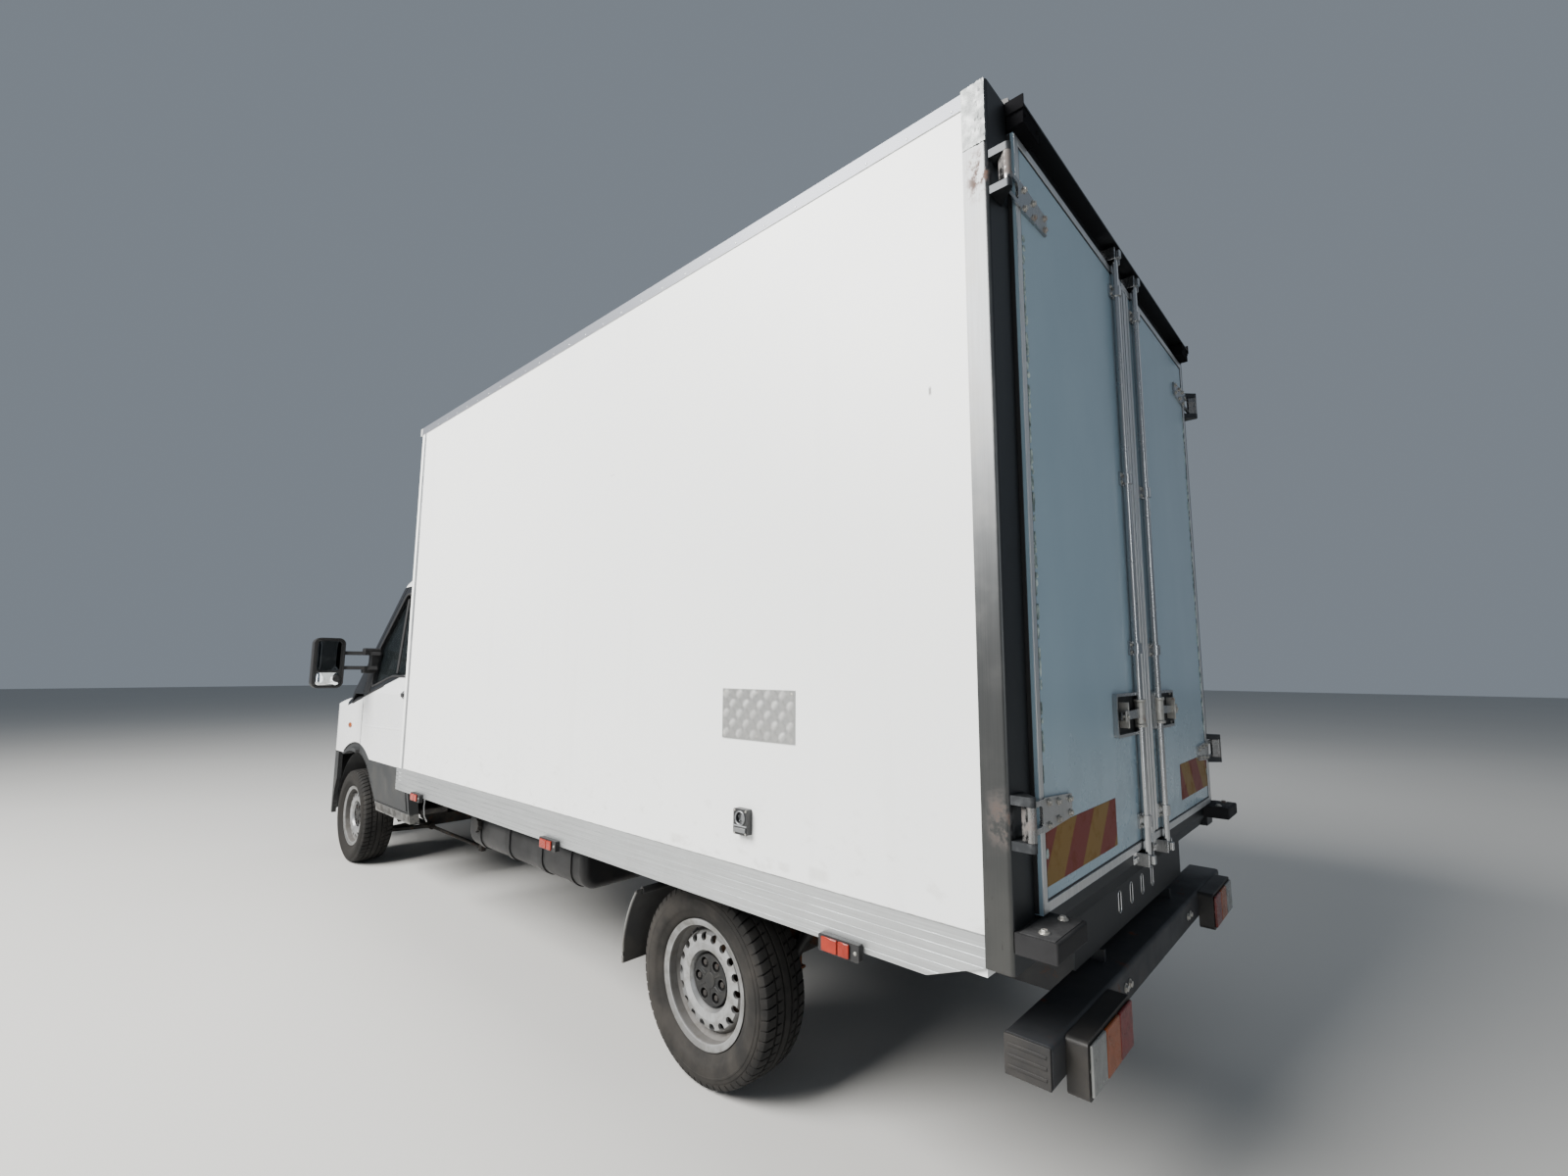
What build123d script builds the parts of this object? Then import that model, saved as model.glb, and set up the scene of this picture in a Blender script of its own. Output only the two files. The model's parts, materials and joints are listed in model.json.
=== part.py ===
from build123d import *
from math import cos, radians, sin, sqrt
import os

# Light refrigerated truck: chassis cab with an insulated box body.
# Millimetres. Front is -Y, rear is +Y, the truck's left side is +X, up is +Z.
# The origin lies on the ground under the middle of the whole vehicle.

# Driving lengths of the vehicle
WHEELBASE = 4100
FRONT_OVERHANG = 1000          # front axle to the bumper's face
REAR_OVERHANG = 1260           # rear axle to the box's rear face
CAB_BACK_BEHIND_AXLE = 1200    # front axle to the cab's back wall
CAB_TO_BOX = 140               # gap between the cab and the box
BUFFER_REACH = 100             # rubber buffers behind the box

# Wheels: 225/65 R16 C on six-hole steel rims
TYRE_RADIUS = 345
TYRE_WIDTH = 225
RIM_RADIUS = 203
RIM_WIDTH = 180
HUB_BEARING_RADIUS = 30
RUNNING_CLEARANCE = 0.05
FRONT_WHEEL_X = 860
REAR_WHEEL_X = 855
KINGPIN_X = 800
KINGPIN_HALF = 130             # ball joints above and below the hub's height

# Ladder frame
FRAME_HALF = 430
RAIL_TOP = 660
RAIL_HEIGHT = 180
RAIL_FLANGE = 65
RAIL_WALL = 6

# Insulated box
BOX_HALF = 1100
BOX_TOP = 3070
ROOF_EDGE_BOTTOM = BOX_TOP - 56
ROOF_THICK = 80
SIDE_THICK = 60
FRONT_THICK = 80
FLOOR_THICK = 130
FLOOR_TOP = 890
RAIL_STRIP_BOTTOM = FLOOR_TOP - 167    # lower edge of the ribbed aluminium side rail
RAIL_STRIP_TOP = FLOOR_TOP - 34
POST_DEPTH = 72
POST_WIDTH = 120
POST_BOTTOM = FLOOR_TOP - 106
DOOR_THICK = 80
DOOR_PROUD = 18                # outer face of a door behind the posts' rear face
DOOR_BOTTOM = FLOOR_TOP
DOOR_TOP = BOX_TOP - 90
DOOR_GAP = 6
SEAM_GAP = 8

# Cab
CAB_HALF = 960                 # at the door's waist
CAB_ROOF_HALF = 850            # at the top of the door's window
CAB_TOP = 2240
CAB_WALL = 60                  # whole thickness of a door or side frame
CAB_BOTTOM = 450
BELT_Z = 1290                  # window sill at its front end
BELT_RISE = 115
BELT_RUN = 550
SCREEN_BASE = -290             # windscreen's foot, behind the front axle
SCREEN_BASE_Z = 1250
SCREEN_TOP = 430
SCREEN_TOP_Z = 2120
ROOF_SPLIT_Z = 2090
DOOR_FRONT = 90
DOOR_REAR = 1120
DOOR_HEAD_Z = 2080
SILL_TOP = 520
ARCH_RADIUS = 490
PANEL_GAP = 6
NOSE_SKIN = 30

# Places worked out from the driving lengths
OVERALL_LENGTH = FRONT_OVERHANG + WHEELBASE + REAR_OVERHANG + BUFFER_REACH
FRONT_Y = -OVERALL_LENGTH / 2
FRONT_AXLE_Y = FRONT_Y + FRONT_OVERHANG
REAR_AXLE_Y = FRONT_AXLE_Y + WHEELBASE
BOX_REAR_Y = REAR_AXLE_Y + REAR_OVERHANG
CAB_BACK_Y = FRONT_AXLE_Y + CAB_BACK_BEHIND_AXLE
BOX_FRONT_Y = CAB_BACK_Y + CAB_TO_BOX
HUB_Z = TYRE_RADIUS
DOOR_FACE_Y = BOX_REAR_Y + DOOR_PROUD
DOOR_INNER_Y = DOOR_FACE_Y - DOOR_THICK
POST_INNER_X = BOX_HALF - POST_WIDTH
POST_FRONT_Y = BOX_REAR_Y - POST_DEPTH
SCREEN_LEAN = (SCREEN_TOP - SCREEN_BASE) / (SCREEN_TOP_Z - SCREEN_BASE_Z)
SEAT = 0.3                     # gap between pieces that are bolted together
TRIM_HALF = CAB_HALF + 240     # trimming blocks reach past the cab's sides

# Rear door hinges: pin axis outside the post's corner
PIN_X = BOX_HALF - 15
PIN_Y = BOX_REAR_Y + 45
PIN_RADIUS = 7
KNUCKLE_RADIUS = 11
LUG_GAP = 1                    # between a hinge's lugs and its knuckle

os.makedirs("parts", exist_ok=True)


def save(piece, name):
    """Label a finished piece and write its file."""
    piece.part.label = name
    export_step(piece.part, f"parts/{name}.step")


def slab(x0, x1, y0, y1, z0, z1, mode=Mode.ADD):
    """A block between two corners."""
    with Locations(((x0 + x1) / 2, (y0 + y1) / 2, (z0 + z1) / 2)):
        Box(abs(x1 - x0), abs(y1 - y0), abs(z1 - z0), mode=mode)


def side_plane(x):
    """Vertical plane along the truck: sketch x is Y, sketch y is Z, normal +X."""
    return Plane.YZ.offset(x)


def cross_plane(y):
    """Vertical plane across the truck: sketch x is X, sketch y is Z, normal -Y."""
    return Plane.XZ.offset(-y)


def from_axle(offset):
    """Y of a point of the cab, given behind the front axle."""
    return FRONT_AXLE_Y + offset


def screen_y(z, back=0):
    """Y of the windscreen's line at height z, moved back by a distance along Y."""
    return from_axle(SCREEN_BASE + (z - SCREEN_BASE_Z) * SCREEN_LEAN + back)


def belt_z(y):
    """Height of the door's window sill at a place along the cab."""
    run = min(max(y - from_axle(DOOR_FRONT), 0), BELT_RUN)
    return BELT_Z + BELT_RISE * run / BELT_RUN


# Ladder frame rails, C-section, open to the middle
RAIL_FRONT_Y = FRONT_Y + 260
RAIL_REAR_Y = BOX_REAR_Y - 90
with BuildPart() as frame_rails:
    with BuildSketch(cross_plane((RAIL_FRONT_Y + RAIL_REAR_Y) / 2)):
        with Locations((FRAME_HALF - RAIL_FLANGE / 2, RAIL_TOP - RAIL_HEIGHT / 2)):
            Rectangle(RAIL_FLANGE, RAIL_HEIGHT)
        with Locations((FRAME_HALF - RAIL_WALL - RAIL_FLANGE / 2, RAIL_TOP - RAIL_HEIGHT / 2)):
            Rectangle(RAIL_FLANGE, RAIL_HEIGHT - 2 * RAIL_WALL, mode=Mode.SUBTRACT)
    extrude(amount=(RAIL_REAR_Y - RAIL_FRONT_Y) / 2, both=True)
    mirror(about=Plane.YZ)
save(frame_rails, "frame_rails")

# Cross members: hat sections fitted between the rails' webs
CROSS_HALF = FRAME_HALF - RAIL_WALL - SEAT
CROSS_TOP = RAIL_TOP - RAIL_WALL - SEAT
CROSS_DEEP = 90
CROSS_LONG = 70
CROSS_PLACES = (
    RAIL_FRONT_Y + 60,
    from_axle(900),
    (from_axle(900) + REAR_AXLE_Y - 800) / 2,
    REAR_AXLE_Y - 800,
    REAR_AXLE_Y + 420,
    RAIL_REAR_Y - 60,
)
EYE_RADIUS = 18
EYE_THICK = 20
EYE_DROP = 95
EYE_OUTER = 40
EYE_CHEEK = 12
FRONT_EYE_Y = RAIL_FRONT_Y + 60
REAR_EYE_Y = RAIL_REAR_Y - 60
EYE_Z = CROSS_TOP - CROSS_DEEP - EYE_DROP
with BuildPart() as cross_members:
    for place in CROSS_PLACES:
        with BuildSketch(side_plane(-CROSS_HALF)):
            with Locations((place, CROSS_TOP - CROSS_DEEP / 2)):
                Rectangle(CROSS_LONG, CROSS_DEEP)
                with Locations((0, -8)):
                    Rectangle(CROSS_LONG - 16, CROSS_DEEP - 8, mode=Mode.SUBTRACT)
        extrude(amount=2 * CROSS_HALF)
    # towing eyes lie flat between two cheeks under the first and last members
    for eye_y in (FRONT_EYE_Y, REAR_EYE_Y):
        with BuildSketch(Plane.XY.offset(EYE_Z - EYE_THICK / 2)):
            with Locations((0, eye_y)):
                Circle(EYE_OUTER)
                Circle(EYE_RADIUS, mode=Mode.SUBTRACT)
        extrude(amount=EYE_THICK)
        for way in (-1, 1):
            slab(way * (EYE_OUTER - EYE_CHEEK), way * EYE_OUTER, eye_y - CROSS_LONG / 2,
                 eye_y + CROSS_LONG / 2, EYE_Z - EYE_THICK / 2, CROSS_TOP - 8)
save(cross_members, "cross_members")

# Front suspension: beam under the rails, lower and upper arms with ball studs, torsion bars
BEAM_TOP = RAIL_TOP - RAIL_HEIGHT - SEAT
LOWER_ARM_Z = HUB_Z - KINGPIN_HALF
UPPER_ARM_Z = HUB_Z + KINGPIN_HALF
ARM_THICK = 24
LOWER_ROOT_X = 410              # pivot tubes of the arms
UPPER_ROOT_X = FRAME_HALF + 24 + SEAT
ARM_SPREAD = 130
BALL_EYE_RADIUS = 28
STUD_RADIUS = 9
STUD_LENGTH = 34
TORSION_RADIUS = 13
TORSION_LENGTH = CAB_BACK_BEHIND_AXLE - 100
with BuildPart() as front_suspension:
    # beam with raised ends
    with BuildSketch(cross_plane(FRONT_AXLE_Y)):
        with BuildLine():
            Polyline(
                (-FRAME_HALF - 40, BEAM_TOP),
                (-FRAME_HALF + 70, BEAM_TOP),
                (-FRAME_HALF + 150, LOWER_ARM_Z + 60),
                (FRAME_HALF - 150, LOWER_ARM_Z + 60),
                (FRAME_HALF - 70, BEAM_TOP),
                (FRAME_HALF + 40, BEAM_TOP),
                (FRAME_HALF, LOWER_ARM_Z + 30),
                (FRAME_HALF - 60, LOWER_ARM_Z - 25),
                (-FRAME_HALF + 60, LOWER_ARM_Z - 25),
                (-FRAME_HALF, LOWER_ARM_Z + 30),
                close=True,
            )
        make_face()
    extrude(amount=60, both=True)
    # arms: an A seen from above, one at the bottom and one at the top on each side
    for side in (-1, 1):
        for arm_z, stud_dir, root_x in ((LOWER_ARM_Z, 1, LOWER_ROOT_X), (UPPER_ARM_Z, -1, UPPER_ROOT_X)):
            with BuildSketch(Plane.XY.offset(arm_z - stud_dir * (STUD_LENGTH / 2) - ARM_THICK / 2)):
                with BuildLine():
                    Polyline(
                        (side * root_x, FRONT_AXLE_Y - ARM_SPREAD),
                        (side * KINGPIN_X, FRONT_AXLE_Y - 20),
                        (side * KINGPIN_X, FRONT_AXLE_Y + 20),
                        (side * root_x, FRONT_AXLE_Y + ARM_SPREAD),
                        (side * (root_x + 10), FRONT_AXLE_Y + ARM_SPREAD - 45),
                        (side * (KINGPIN_X - 130), FRONT_AXLE_Y),
                        (side * (root_x + 10), FRONT_AXLE_Y - ARM_SPREAD + 45),
                        close=True,
                    )
                make_face()
                with Locations((side * KINGPIN_X, FRONT_AXLE_Y)):
                    Circle(BALL_EYE_RADIUS)
            extrude(amount=ARM_THICK)
            with BuildSketch(Plane.XY.offset(arm_z - stud_dir * (STUD_LENGTH / 2))):
                with Locations((side * KINGPIN_X, FRONT_AXLE_Y)):
                    Circle(STUD_RADIUS)
            extrude(amount=stud_dir * STUD_LENGTH)
        # pivot tubes carry the arms' roots
        for tube_x, tube_z in ((LOWER_ROOT_X, LOWER_ARM_Z - STUD_LENGTH / 2),
                               (UPPER_ROOT_X, UPPER_ARM_Z + STUD_LENGTH / 2)):
            with BuildSketch(cross_plane(FRONT_AXLE_Y)):
                with Locations((side * tube_x, tube_z)):
                    Circle(24)
            extrude(amount=ARM_SPREAD + 20, both=True)
        # torsion bar back to its anchor under the rail
        with BuildSketch(cross_plane(FRONT_AXLE_Y)):
            with Locations((side * LOWER_ROOT_X, LOWER_ARM_Z - STUD_LENGTH / 2)):
                Circle(TORSION_RADIUS)
        extrude(amount=-TORSION_LENGTH)
        slab(side * LOWER_ROOT_X - 16, side * LOWER_ROOT_X + 16, FRONT_AXLE_Y + TORSION_LENGTH - 40,
             FRONT_AXLE_Y + TORSION_LENGTH, LOWER_ARM_Z - STUD_LENGTH / 2 - 25, BEAM_TOP)
    # steering rack housing in front of the beam
    with BuildSketch(side_plane(0)):
        with Locations((FRONT_AXLE_Y - 95, LOWER_ARM_Z + 45)):
            Circle(28)
    extrude(amount=FRAME_HALF - 60, both=True)
    with BuildSketch(side_plane(0)):
        with Locations((FRONT_AXLE_Y - 80, LOWER_ARM_Z + 45)):
            Rectangle(60, 40)
    extrude(amount=80, both=True)
save(front_suspension, "front_suspension")

# Steering knuckles: upright between the ball joints, stub axle, caliper bracket, steering arm
STUB_TIP_X = 870
DISC_RADIUS = 145
HUB_RADIUS = 62
KNUCKLE_LOW_Z = LOWER_ARM_Z - STUD_LENGTH / 2 + ARM_THICK / 2 + 1
KNUCKLE_HIGH_Z = UPPER_ARM_Z + STUD_LENGTH / 2 - ARM_THICK / 2 - 1


def make_knuckle(side):
    """Upright on the left side, mirrored for the right."""
    boss = 24
    with BuildPart() as upright:
        with BuildSketch(side_plane(KINGPIN_X - 24)):
            with BuildLine():
                Polyline(
                    (FRONT_AXLE_Y - boss, KNUCKLE_LOW_Z),
                    (FRONT_AXLE_Y + boss, KNUCKLE_LOW_Z),
                    (FRONT_AXLE_Y + 50, HUB_Z),
                    (FRONT_AXLE_Y + boss, KNUCKLE_HIGH_Z),
                    (FRONT_AXLE_Y - boss, KNUCKLE_HIGH_Z),
                    (FRONT_AXLE_Y - 50, HUB_Z),
                    close=True,
                )
            make_face()
        extrude(amount=48)
        with BuildSketch(side_plane(KINGPIN_X)):
            with Locations((FRONT_AXLE_Y, HUB_Z)):
                Circle(HUB_BEARING_RADIUS)
        extrude(amount=STUB_TIP_X - KINGPIN_X)
        # steering arm to the front
        with BuildSketch(Plane.XY.offset(LOWER_ARM_Z + 30)):
            with BuildLine():
                Polyline(
                    (KINGPIN_X - 24, FRONT_AXLE_Y - 30),
                    (KINGPIN_X - 60, FRONT_AXLE_Y - 130),
                    (KINGPIN_X - 30, FRONT_AXLE_Y - 130),
                    (KINGPIN_X + 10, FRONT_AXLE_Y - 20),
                    (KINGPIN_X + 10, FRONT_AXLE_Y + 10),
                    (KINGPIN_X - 24, FRONT_AXLE_Y + 10),
                    close=True,
                )
            make_face()
        extrude(amount=22)
        # brake dust shield
        with BuildSketch(side_plane(KINGPIN_X - 36)):
            with Locations((FRONT_AXLE_Y, HUB_Z)):
                Circle(70)
        extrude(amount=14)
        # bores for the ball studs
        with BuildSketch(Plane.XY):
            with Locations((KINGPIN_X, FRONT_AXLE_Y)):
                Circle(STUD_RADIUS + RUNNING_CLEARANCE)
        extrude(amount=LOWER_ARM_Z + STUD_LENGTH / 2 + 1, mode=Mode.SUBTRACT)
        with BuildSketch(Plane.XY.offset(UPPER_ARM_Z - STUD_LENGTH / 2 - 1)):
            with Locations((KINGPIN_X, FRONT_AXLE_Y)):
                Circle(STUD_RADIUS + RUNNING_CLEARANCE)
        extrude(amount=STUD_LENGTH + 10, mode=Mode.SUBTRACT)
    if side > 0:
        return upright
    with BuildPart() as mirrored:
        mirror(upright.part, about=Plane.YZ)
    return mirrored


for name, side in (("left", 1), ("right", -1)):
    save(make_knuckle(side), f"knuckle_{name}")

# Rear axle: banjo housing, tubes, pinion nose, spring pads
AXLE_TUBE_RADIUS = 45
BANJO_RADIUS = 150
SPRING_X = 500
SPRING_WIDTH = 70
PINION_REACH = 260
REAR_STUB_TIP = REAR_WHEEL_X + 10
with BuildPart() as rear_axle:
    with BuildSketch(Plane.XY.offset(HUB_Z)):
        with BuildLine():
            Polyline(
                (-REAR_STUB_TIP, REAR_AXLE_Y),
                (-REAR_STUB_TIP, REAR_AXLE_Y + HUB_BEARING_RADIUS),
                (-REAR_WHEEL_X + 70, REAR_AXLE_Y + HUB_BEARING_RADIUS),
                (-REAR_WHEEL_X + 70, REAR_AXLE_Y + 72),
                (-REAR_WHEEL_X + 105, REAR_AXLE_Y + 72),
                (-REAR_WHEEL_X + 105, REAR_AXLE_Y + AXLE_TUBE_RADIUS),
                (-250, REAR_AXLE_Y + AXLE_TUBE_RADIUS + 5),
            )
            Polyline(
                (250, REAR_AXLE_Y + AXLE_TUBE_RADIUS + 5),
                (REAR_WHEEL_X - 105, REAR_AXLE_Y + AXLE_TUBE_RADIUS),
                (REAR_WHEEL_X - 105, REAR_AXLE_Y + 72),
                (REAR_WHEEL_X - 70, REAR_AXLE_Y + 72),
                (REAR_WHEEL_X - 70, REAR_AXLE_Y + HUB_BEARING_RADIUS),
                (REAR_STUB_TIP, REAR_AXLE_Y + HUB_BEARING_RADIUS),
                (REAR_STUB_TIP, REAR_AXLE_Y),
                (-REAR_STUB_TIP, REAR_AXLE_Y),
            )
            ThreePointArc(
                (-250, REAR_AXLE_Y + AXLE_TUBE_RADIUS + 5),
                (0, REAR_AXLE_Y + BANJO_RADIUS),
                (250, REAR_AXLE_Y + AXLE_TUBE_RADIUS + 5),
            )
        make_face()
    revolve(axis=Axis((0, REAR_AXLE_Y, HUB_Z), (1, 0, 0)))
    with BuildSketch(cross_plane(REAR_AXLE_Y)):
        with Locations((0, HUB_Z)):
            Circle(80)
    extrude(amount=PINION_REACH - 40, taper=6)
    with BuildSketch(cross_plane(REAR_AXLE_Y - PINION_REACH + 40)):
        with Locations((0, HUB_Z)):
            Circle(50)
    extrude(amount=40)
    for side in (-1, 1):
        slab(side * SPRING_X - 40, side * SPRING_X + 40, REAR_AXLE_Y - 70, REAR_AXLE_Y + 70,
             HUB_Z + 20, HUB_Z + 62)
save(rear_axle, "rear_axle")

# Rear leaf springs: three leaves, eyes, clamps over the axle, hangers on the rails
LEAF_THICK = 14
SPRING_SEAT_Z = HUB_Z + 62 + SEAT
SPRING_RISE = 95
SPRING_HALF = 620
LEAF_HALVES = (620, 470, 300)
with BuildPart() as leaf_springs:
    for level, half in enumerate(LEAF_HALVES):
        middle_z = SPRING_SEAT_Z + LEAF_THICK * (len(LEAF_HALVES) - 0.5 - level)
        rise = SPRING_RISE * (half / SPRING_HALF) ** 2
        with BuildSketch(side_plane(SPRING_X - SPRING_WIDTH / 2)):
            with BuildLine():
                ThreePointArc(
                    (REAR_AXLE_Y - half, middle_z + rise),
                    (REAR_AXLE_Y, middle_z),
                    (REAR_AXLE_Y + half, middle_z + rise),
                )
            trace(line_width=LEAF_THICK + 0.4)
        extrude(amount=SPRING_WIDTH)
    for end in (-1, 1):
        eye_y = REAR_AXLE_Y + end * SPRING_HALF
        eye_z = SPRING_SEAT_Z + LEAF_THICK * 2.5 + SPRING_RISE
        with BuildSketch(side_plane(SPRING_X - SPRING_WIDTH / 2 - 8)):
            with Locations((eye_y, eye_z)):
                Circle(26)
        extrude(amount=SPRING_WIDTH + 16)
        # hanger from the rail's web to the eye
        with BuildSketch(side_plane(FRAME_HALF + SEAT)):
            with BuildLine():
                Polyline(
                    (eye_y - 80, RAIL_TOP - 30),
                    (eye_y + 80, RAIL_TOP - 30),
                    (eye_y + 30, eye_z - 26),
                    (eye_y - 30, eye_z - 26),
                    close=True,
                )
            make_face()
        extrude(amount=SPRING_X - SPRING_WIDTH / 2 - FRAME_HALF)
    slab(SPRING_X - 45, SPRING_X + 45, REAR_AXLE_Y - 60, REAR_AXLE_Y + 60,
         SPRING_SEAT_Z + LEAF_THICK * 3 - 4, SPRING_SEAT_Z + LEAF_THICK * 3 + 16)
    mirror(about=Plane.YZ)
save(leaf_springs, "leaf_springs")

# Engine with gearbox: one plain block
ENGINE_HALF = 255
ENGINE_FRONT_Y = from_axle(-420)
ENGINE_REAR_Y = from_axle(270)
ENGINE_BOTTOM = 500
ENGINE_TOP = 1020
GEARBOX_REAR_Y = from_axle(830)
GEARBOX_TAIL_Z = 480
with BuildPart() as engine_block:
    slab(-ENGINE_HALF, ENGINE_HALF, ENGINE_FRONT_Y, ENGINE_REAR_Y, ENGINE_BOTTOM, ENGINE_TOP)
    fillet(engine_block.edges().filter_by(Axis.Y), 40)
    with BuildSketch(cross_plane(ENGINE_REAR_Y)) as bell:
        with Locations((0, 590)):
            Circle(190)
    with BuildSketch(cross_plane(GEARBOX_REAR_Y)) as tail:
        with Locations((0, GEARBOX_TAIL_Z)):
            Circle(80)
    loft([bell.sketch.faces()[0], tail.sketch.faces()[0]])
save(engine_block, "engine_block")

# Propeller shaft from the gearbox's tail down to the pinion
SHAFT_START = Vector(0, GEARBOX_REAR_Y + SEAT, GEARBOX_TAIL_Z)
SHAFT_END = Vector(0, REAR_AXLE_Y - PINION_REACH - SEAT, HUB_Z)
SHAFT_RADIUS = 38
with BuildPart() as prop_shaft:
    direction = SHAFT_END - SHAFT_START
    with BuildSketch(Plane(SHAFT_START + direction * 0.01, z_dir=direction)):
        Circle(SHAFT_RADIUS)
    extrude(amount=direction.length * 0.98)
    with BuildSketch(cross_plane(SHAFT_START.Y)):
        with Locations((0, SHAFT_START.Z)):
            Circle(55)
    extrude(amount=-70)
    with BuildSketch(cross_plane(SHAFT_END.Y)):
        with Locations((0, SHAFT_END.Z)):
            Circle(55)
    extrude(amount=70)
save(prop_shaft, "prop_shaft")

# Fuel tank on the left rail: rounded section with raised bands
TANK_FRONT_Y = BOX_REAR_Y - 3320
TANK_REAR_Y = BOX_REAR_Y - 2100
TANK_INNER_X = FRAME_HALF + 40
TANK_OUTER_X = BOX_HALF - 170
TANK_BOTTOM = 470
TANK_TOP = 695
TANK_BANDS = (0.12, 0.4, 0.68, 0.9)
BAND_LONG = 45
BAND_PROUD = 6
with BuildPart() as fuel_tank:
    tank_mid = ((TANK_INNER_X + TANK_OUTER_X) / 2, (TANK_BOTTOM + TANK_TOP) / 2)
    with BuildSketch(cross_plane(TANK_FRONT_Y)):
        with Locations(tank_mid):
            RectangleRounded(TANK_OUTER_X - TANK_INNER_X, TANK_TOP - TANK_BOTTOM, 85)
    extrude(amount=-(TANK_REAR_Y - TANK_FRONT_Y))
    fillet(fuel_tank.faces().sort_by(Axis.Y)[0].edges(), 35)
    fillet(fuel_tank.faces().sort_by(Axis.Y)[-1].edges(), 35)
    for share in TANK_BANDS:
        with BuildSketch(cross_plane(TANK_FRONT_Y + share * (TANK_REAR_Y - TANK_FRONT_Y))):
            with Locations(tank_mid):
                RectangleRounded(TANK_OUTER_X - TANK_INNER_X + 2 * BAND_PROUD,
                                 TANK_TOP - TANK_BOTTOM + 2 * BAND_PROUD, 85 + BAND_PROUD)
        extrude(amount=BAND_LONG / 2, both=True)
        # bracket arm from the band to the rail
        band_y = TANK_FRONT_Y + share * (TANK_REAR_Y - TANK_FRONT_Y)
        slab(FRAME_HALF + SEAT, TANK_INNER_X + 20, band_y - BAND_LONG / 2, band_y + BAND_LONG / 2, 520, 640)
save(fuel_tank, "fuel_tank")

# Exhaust on the right: pipe, silencer, tail pipe
SILENCER_X = -600
SILENCER_Z = 520
PIPE_RADIUS = 30
with BuildPart() as exhaust:
    with BuildSketch(cross_plane(from_axle(1600))):
        with Locations((SILENCER_X, SILENCER_Z)):
            Ellipse(130, 85)
    extrude(amount=-800)
    fillet(exhaust.edges().filter_by(GeomType.ELLIPSE), 20)
    with BuildSketch(cross_plane(from_axle(1200))):
        with Locations((SILENCER_X, SILENCER_Z)):
            Circle(PIPE_RADIUS)
    extrude(amount=-400)
    with BuildSketch(cross_plane(from_axle(2400))):
        with Locations((SILENCER_X, SILENCER_Z)):
            Circle(PIPE_RADIUS)
    extrude(amount=-330)
    with BuildSketch(cross_plane(from_axle(2730))):
        with Locations((SILENCER_X, SILENCER_Z)):
            Circle(PIPE_RADIUS - 3)
    extrude(amount=60, mode=Mode.SUBTRACT)
    for hanger_y in (from_axle(1750), from_axle(2250)):
        slab(SILENCER_X + 60, -FRAME_HALF - SEAT, hanger_y - 20, hanger_y + 20,
             SILENCER_Z + 50, SILENCER_Z + 90)
save(exhaust, "exhaust")


# Wheels
BEAD_TALL = 18


def tyre_section(offset):
    """Edges of the tyre's half section, revolved about the wheel's axle."""
    half = TYRE_WIDTH / 2
    tread_half = half - 22
    bead_half = RIM_WIDTH / 2 - 14
    bead = RIM_RADIUS + 0.3
    with BuildLine() as outline:
        Polyline((offset - bead_half, bead + BEAD_TALL), (offset - bead_half, bead),
                 (offset + bead_half, bead), (offset + bead_half, bead + BEAD_TALL))
        ThreePointArc((offset + bead_half, bead + BEAD_TALL), (offset + half, 276),
                      (offset + tread_half, TYRE_RADIUS - 8))
        ThreePointArc((offset + tread_half, TYRE_RADIUS - 8), (offset, TYRE_RADIUS),
                      (offset - tread_half, TYRE_RADIUS - 8))
        ThreePointArc((offset - tread_half, TYRE_RADIUS - 8), (offset - half, 276),
                      (offset - bead_half, bead + BEAD_TALL))
    return outline.edges()


def make_tyre(wheel_x, axle_y):
    plane = Plane(origin=(0, axle_y, HUB_Z), x_dir=(1, 0, 0), z_dir=(0, -1, 0))
    with BuildPart() as tyre:
        with BuildSketch(plane):
            make_face(tyre_section(wheel_x))
        revolve(axis=Axis((0, axle_y, HUB_Z), (1, 0, 0)))
    return tyre


VENT_COUNT = 18
VENT_RADIUS = 14
VENT_CIRCLE = 152
CAP_RADIUS = 92
BOLT_COUNT = 6
BOLT_CIRCLE = 62
CUP_RADIUS = 19


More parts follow.
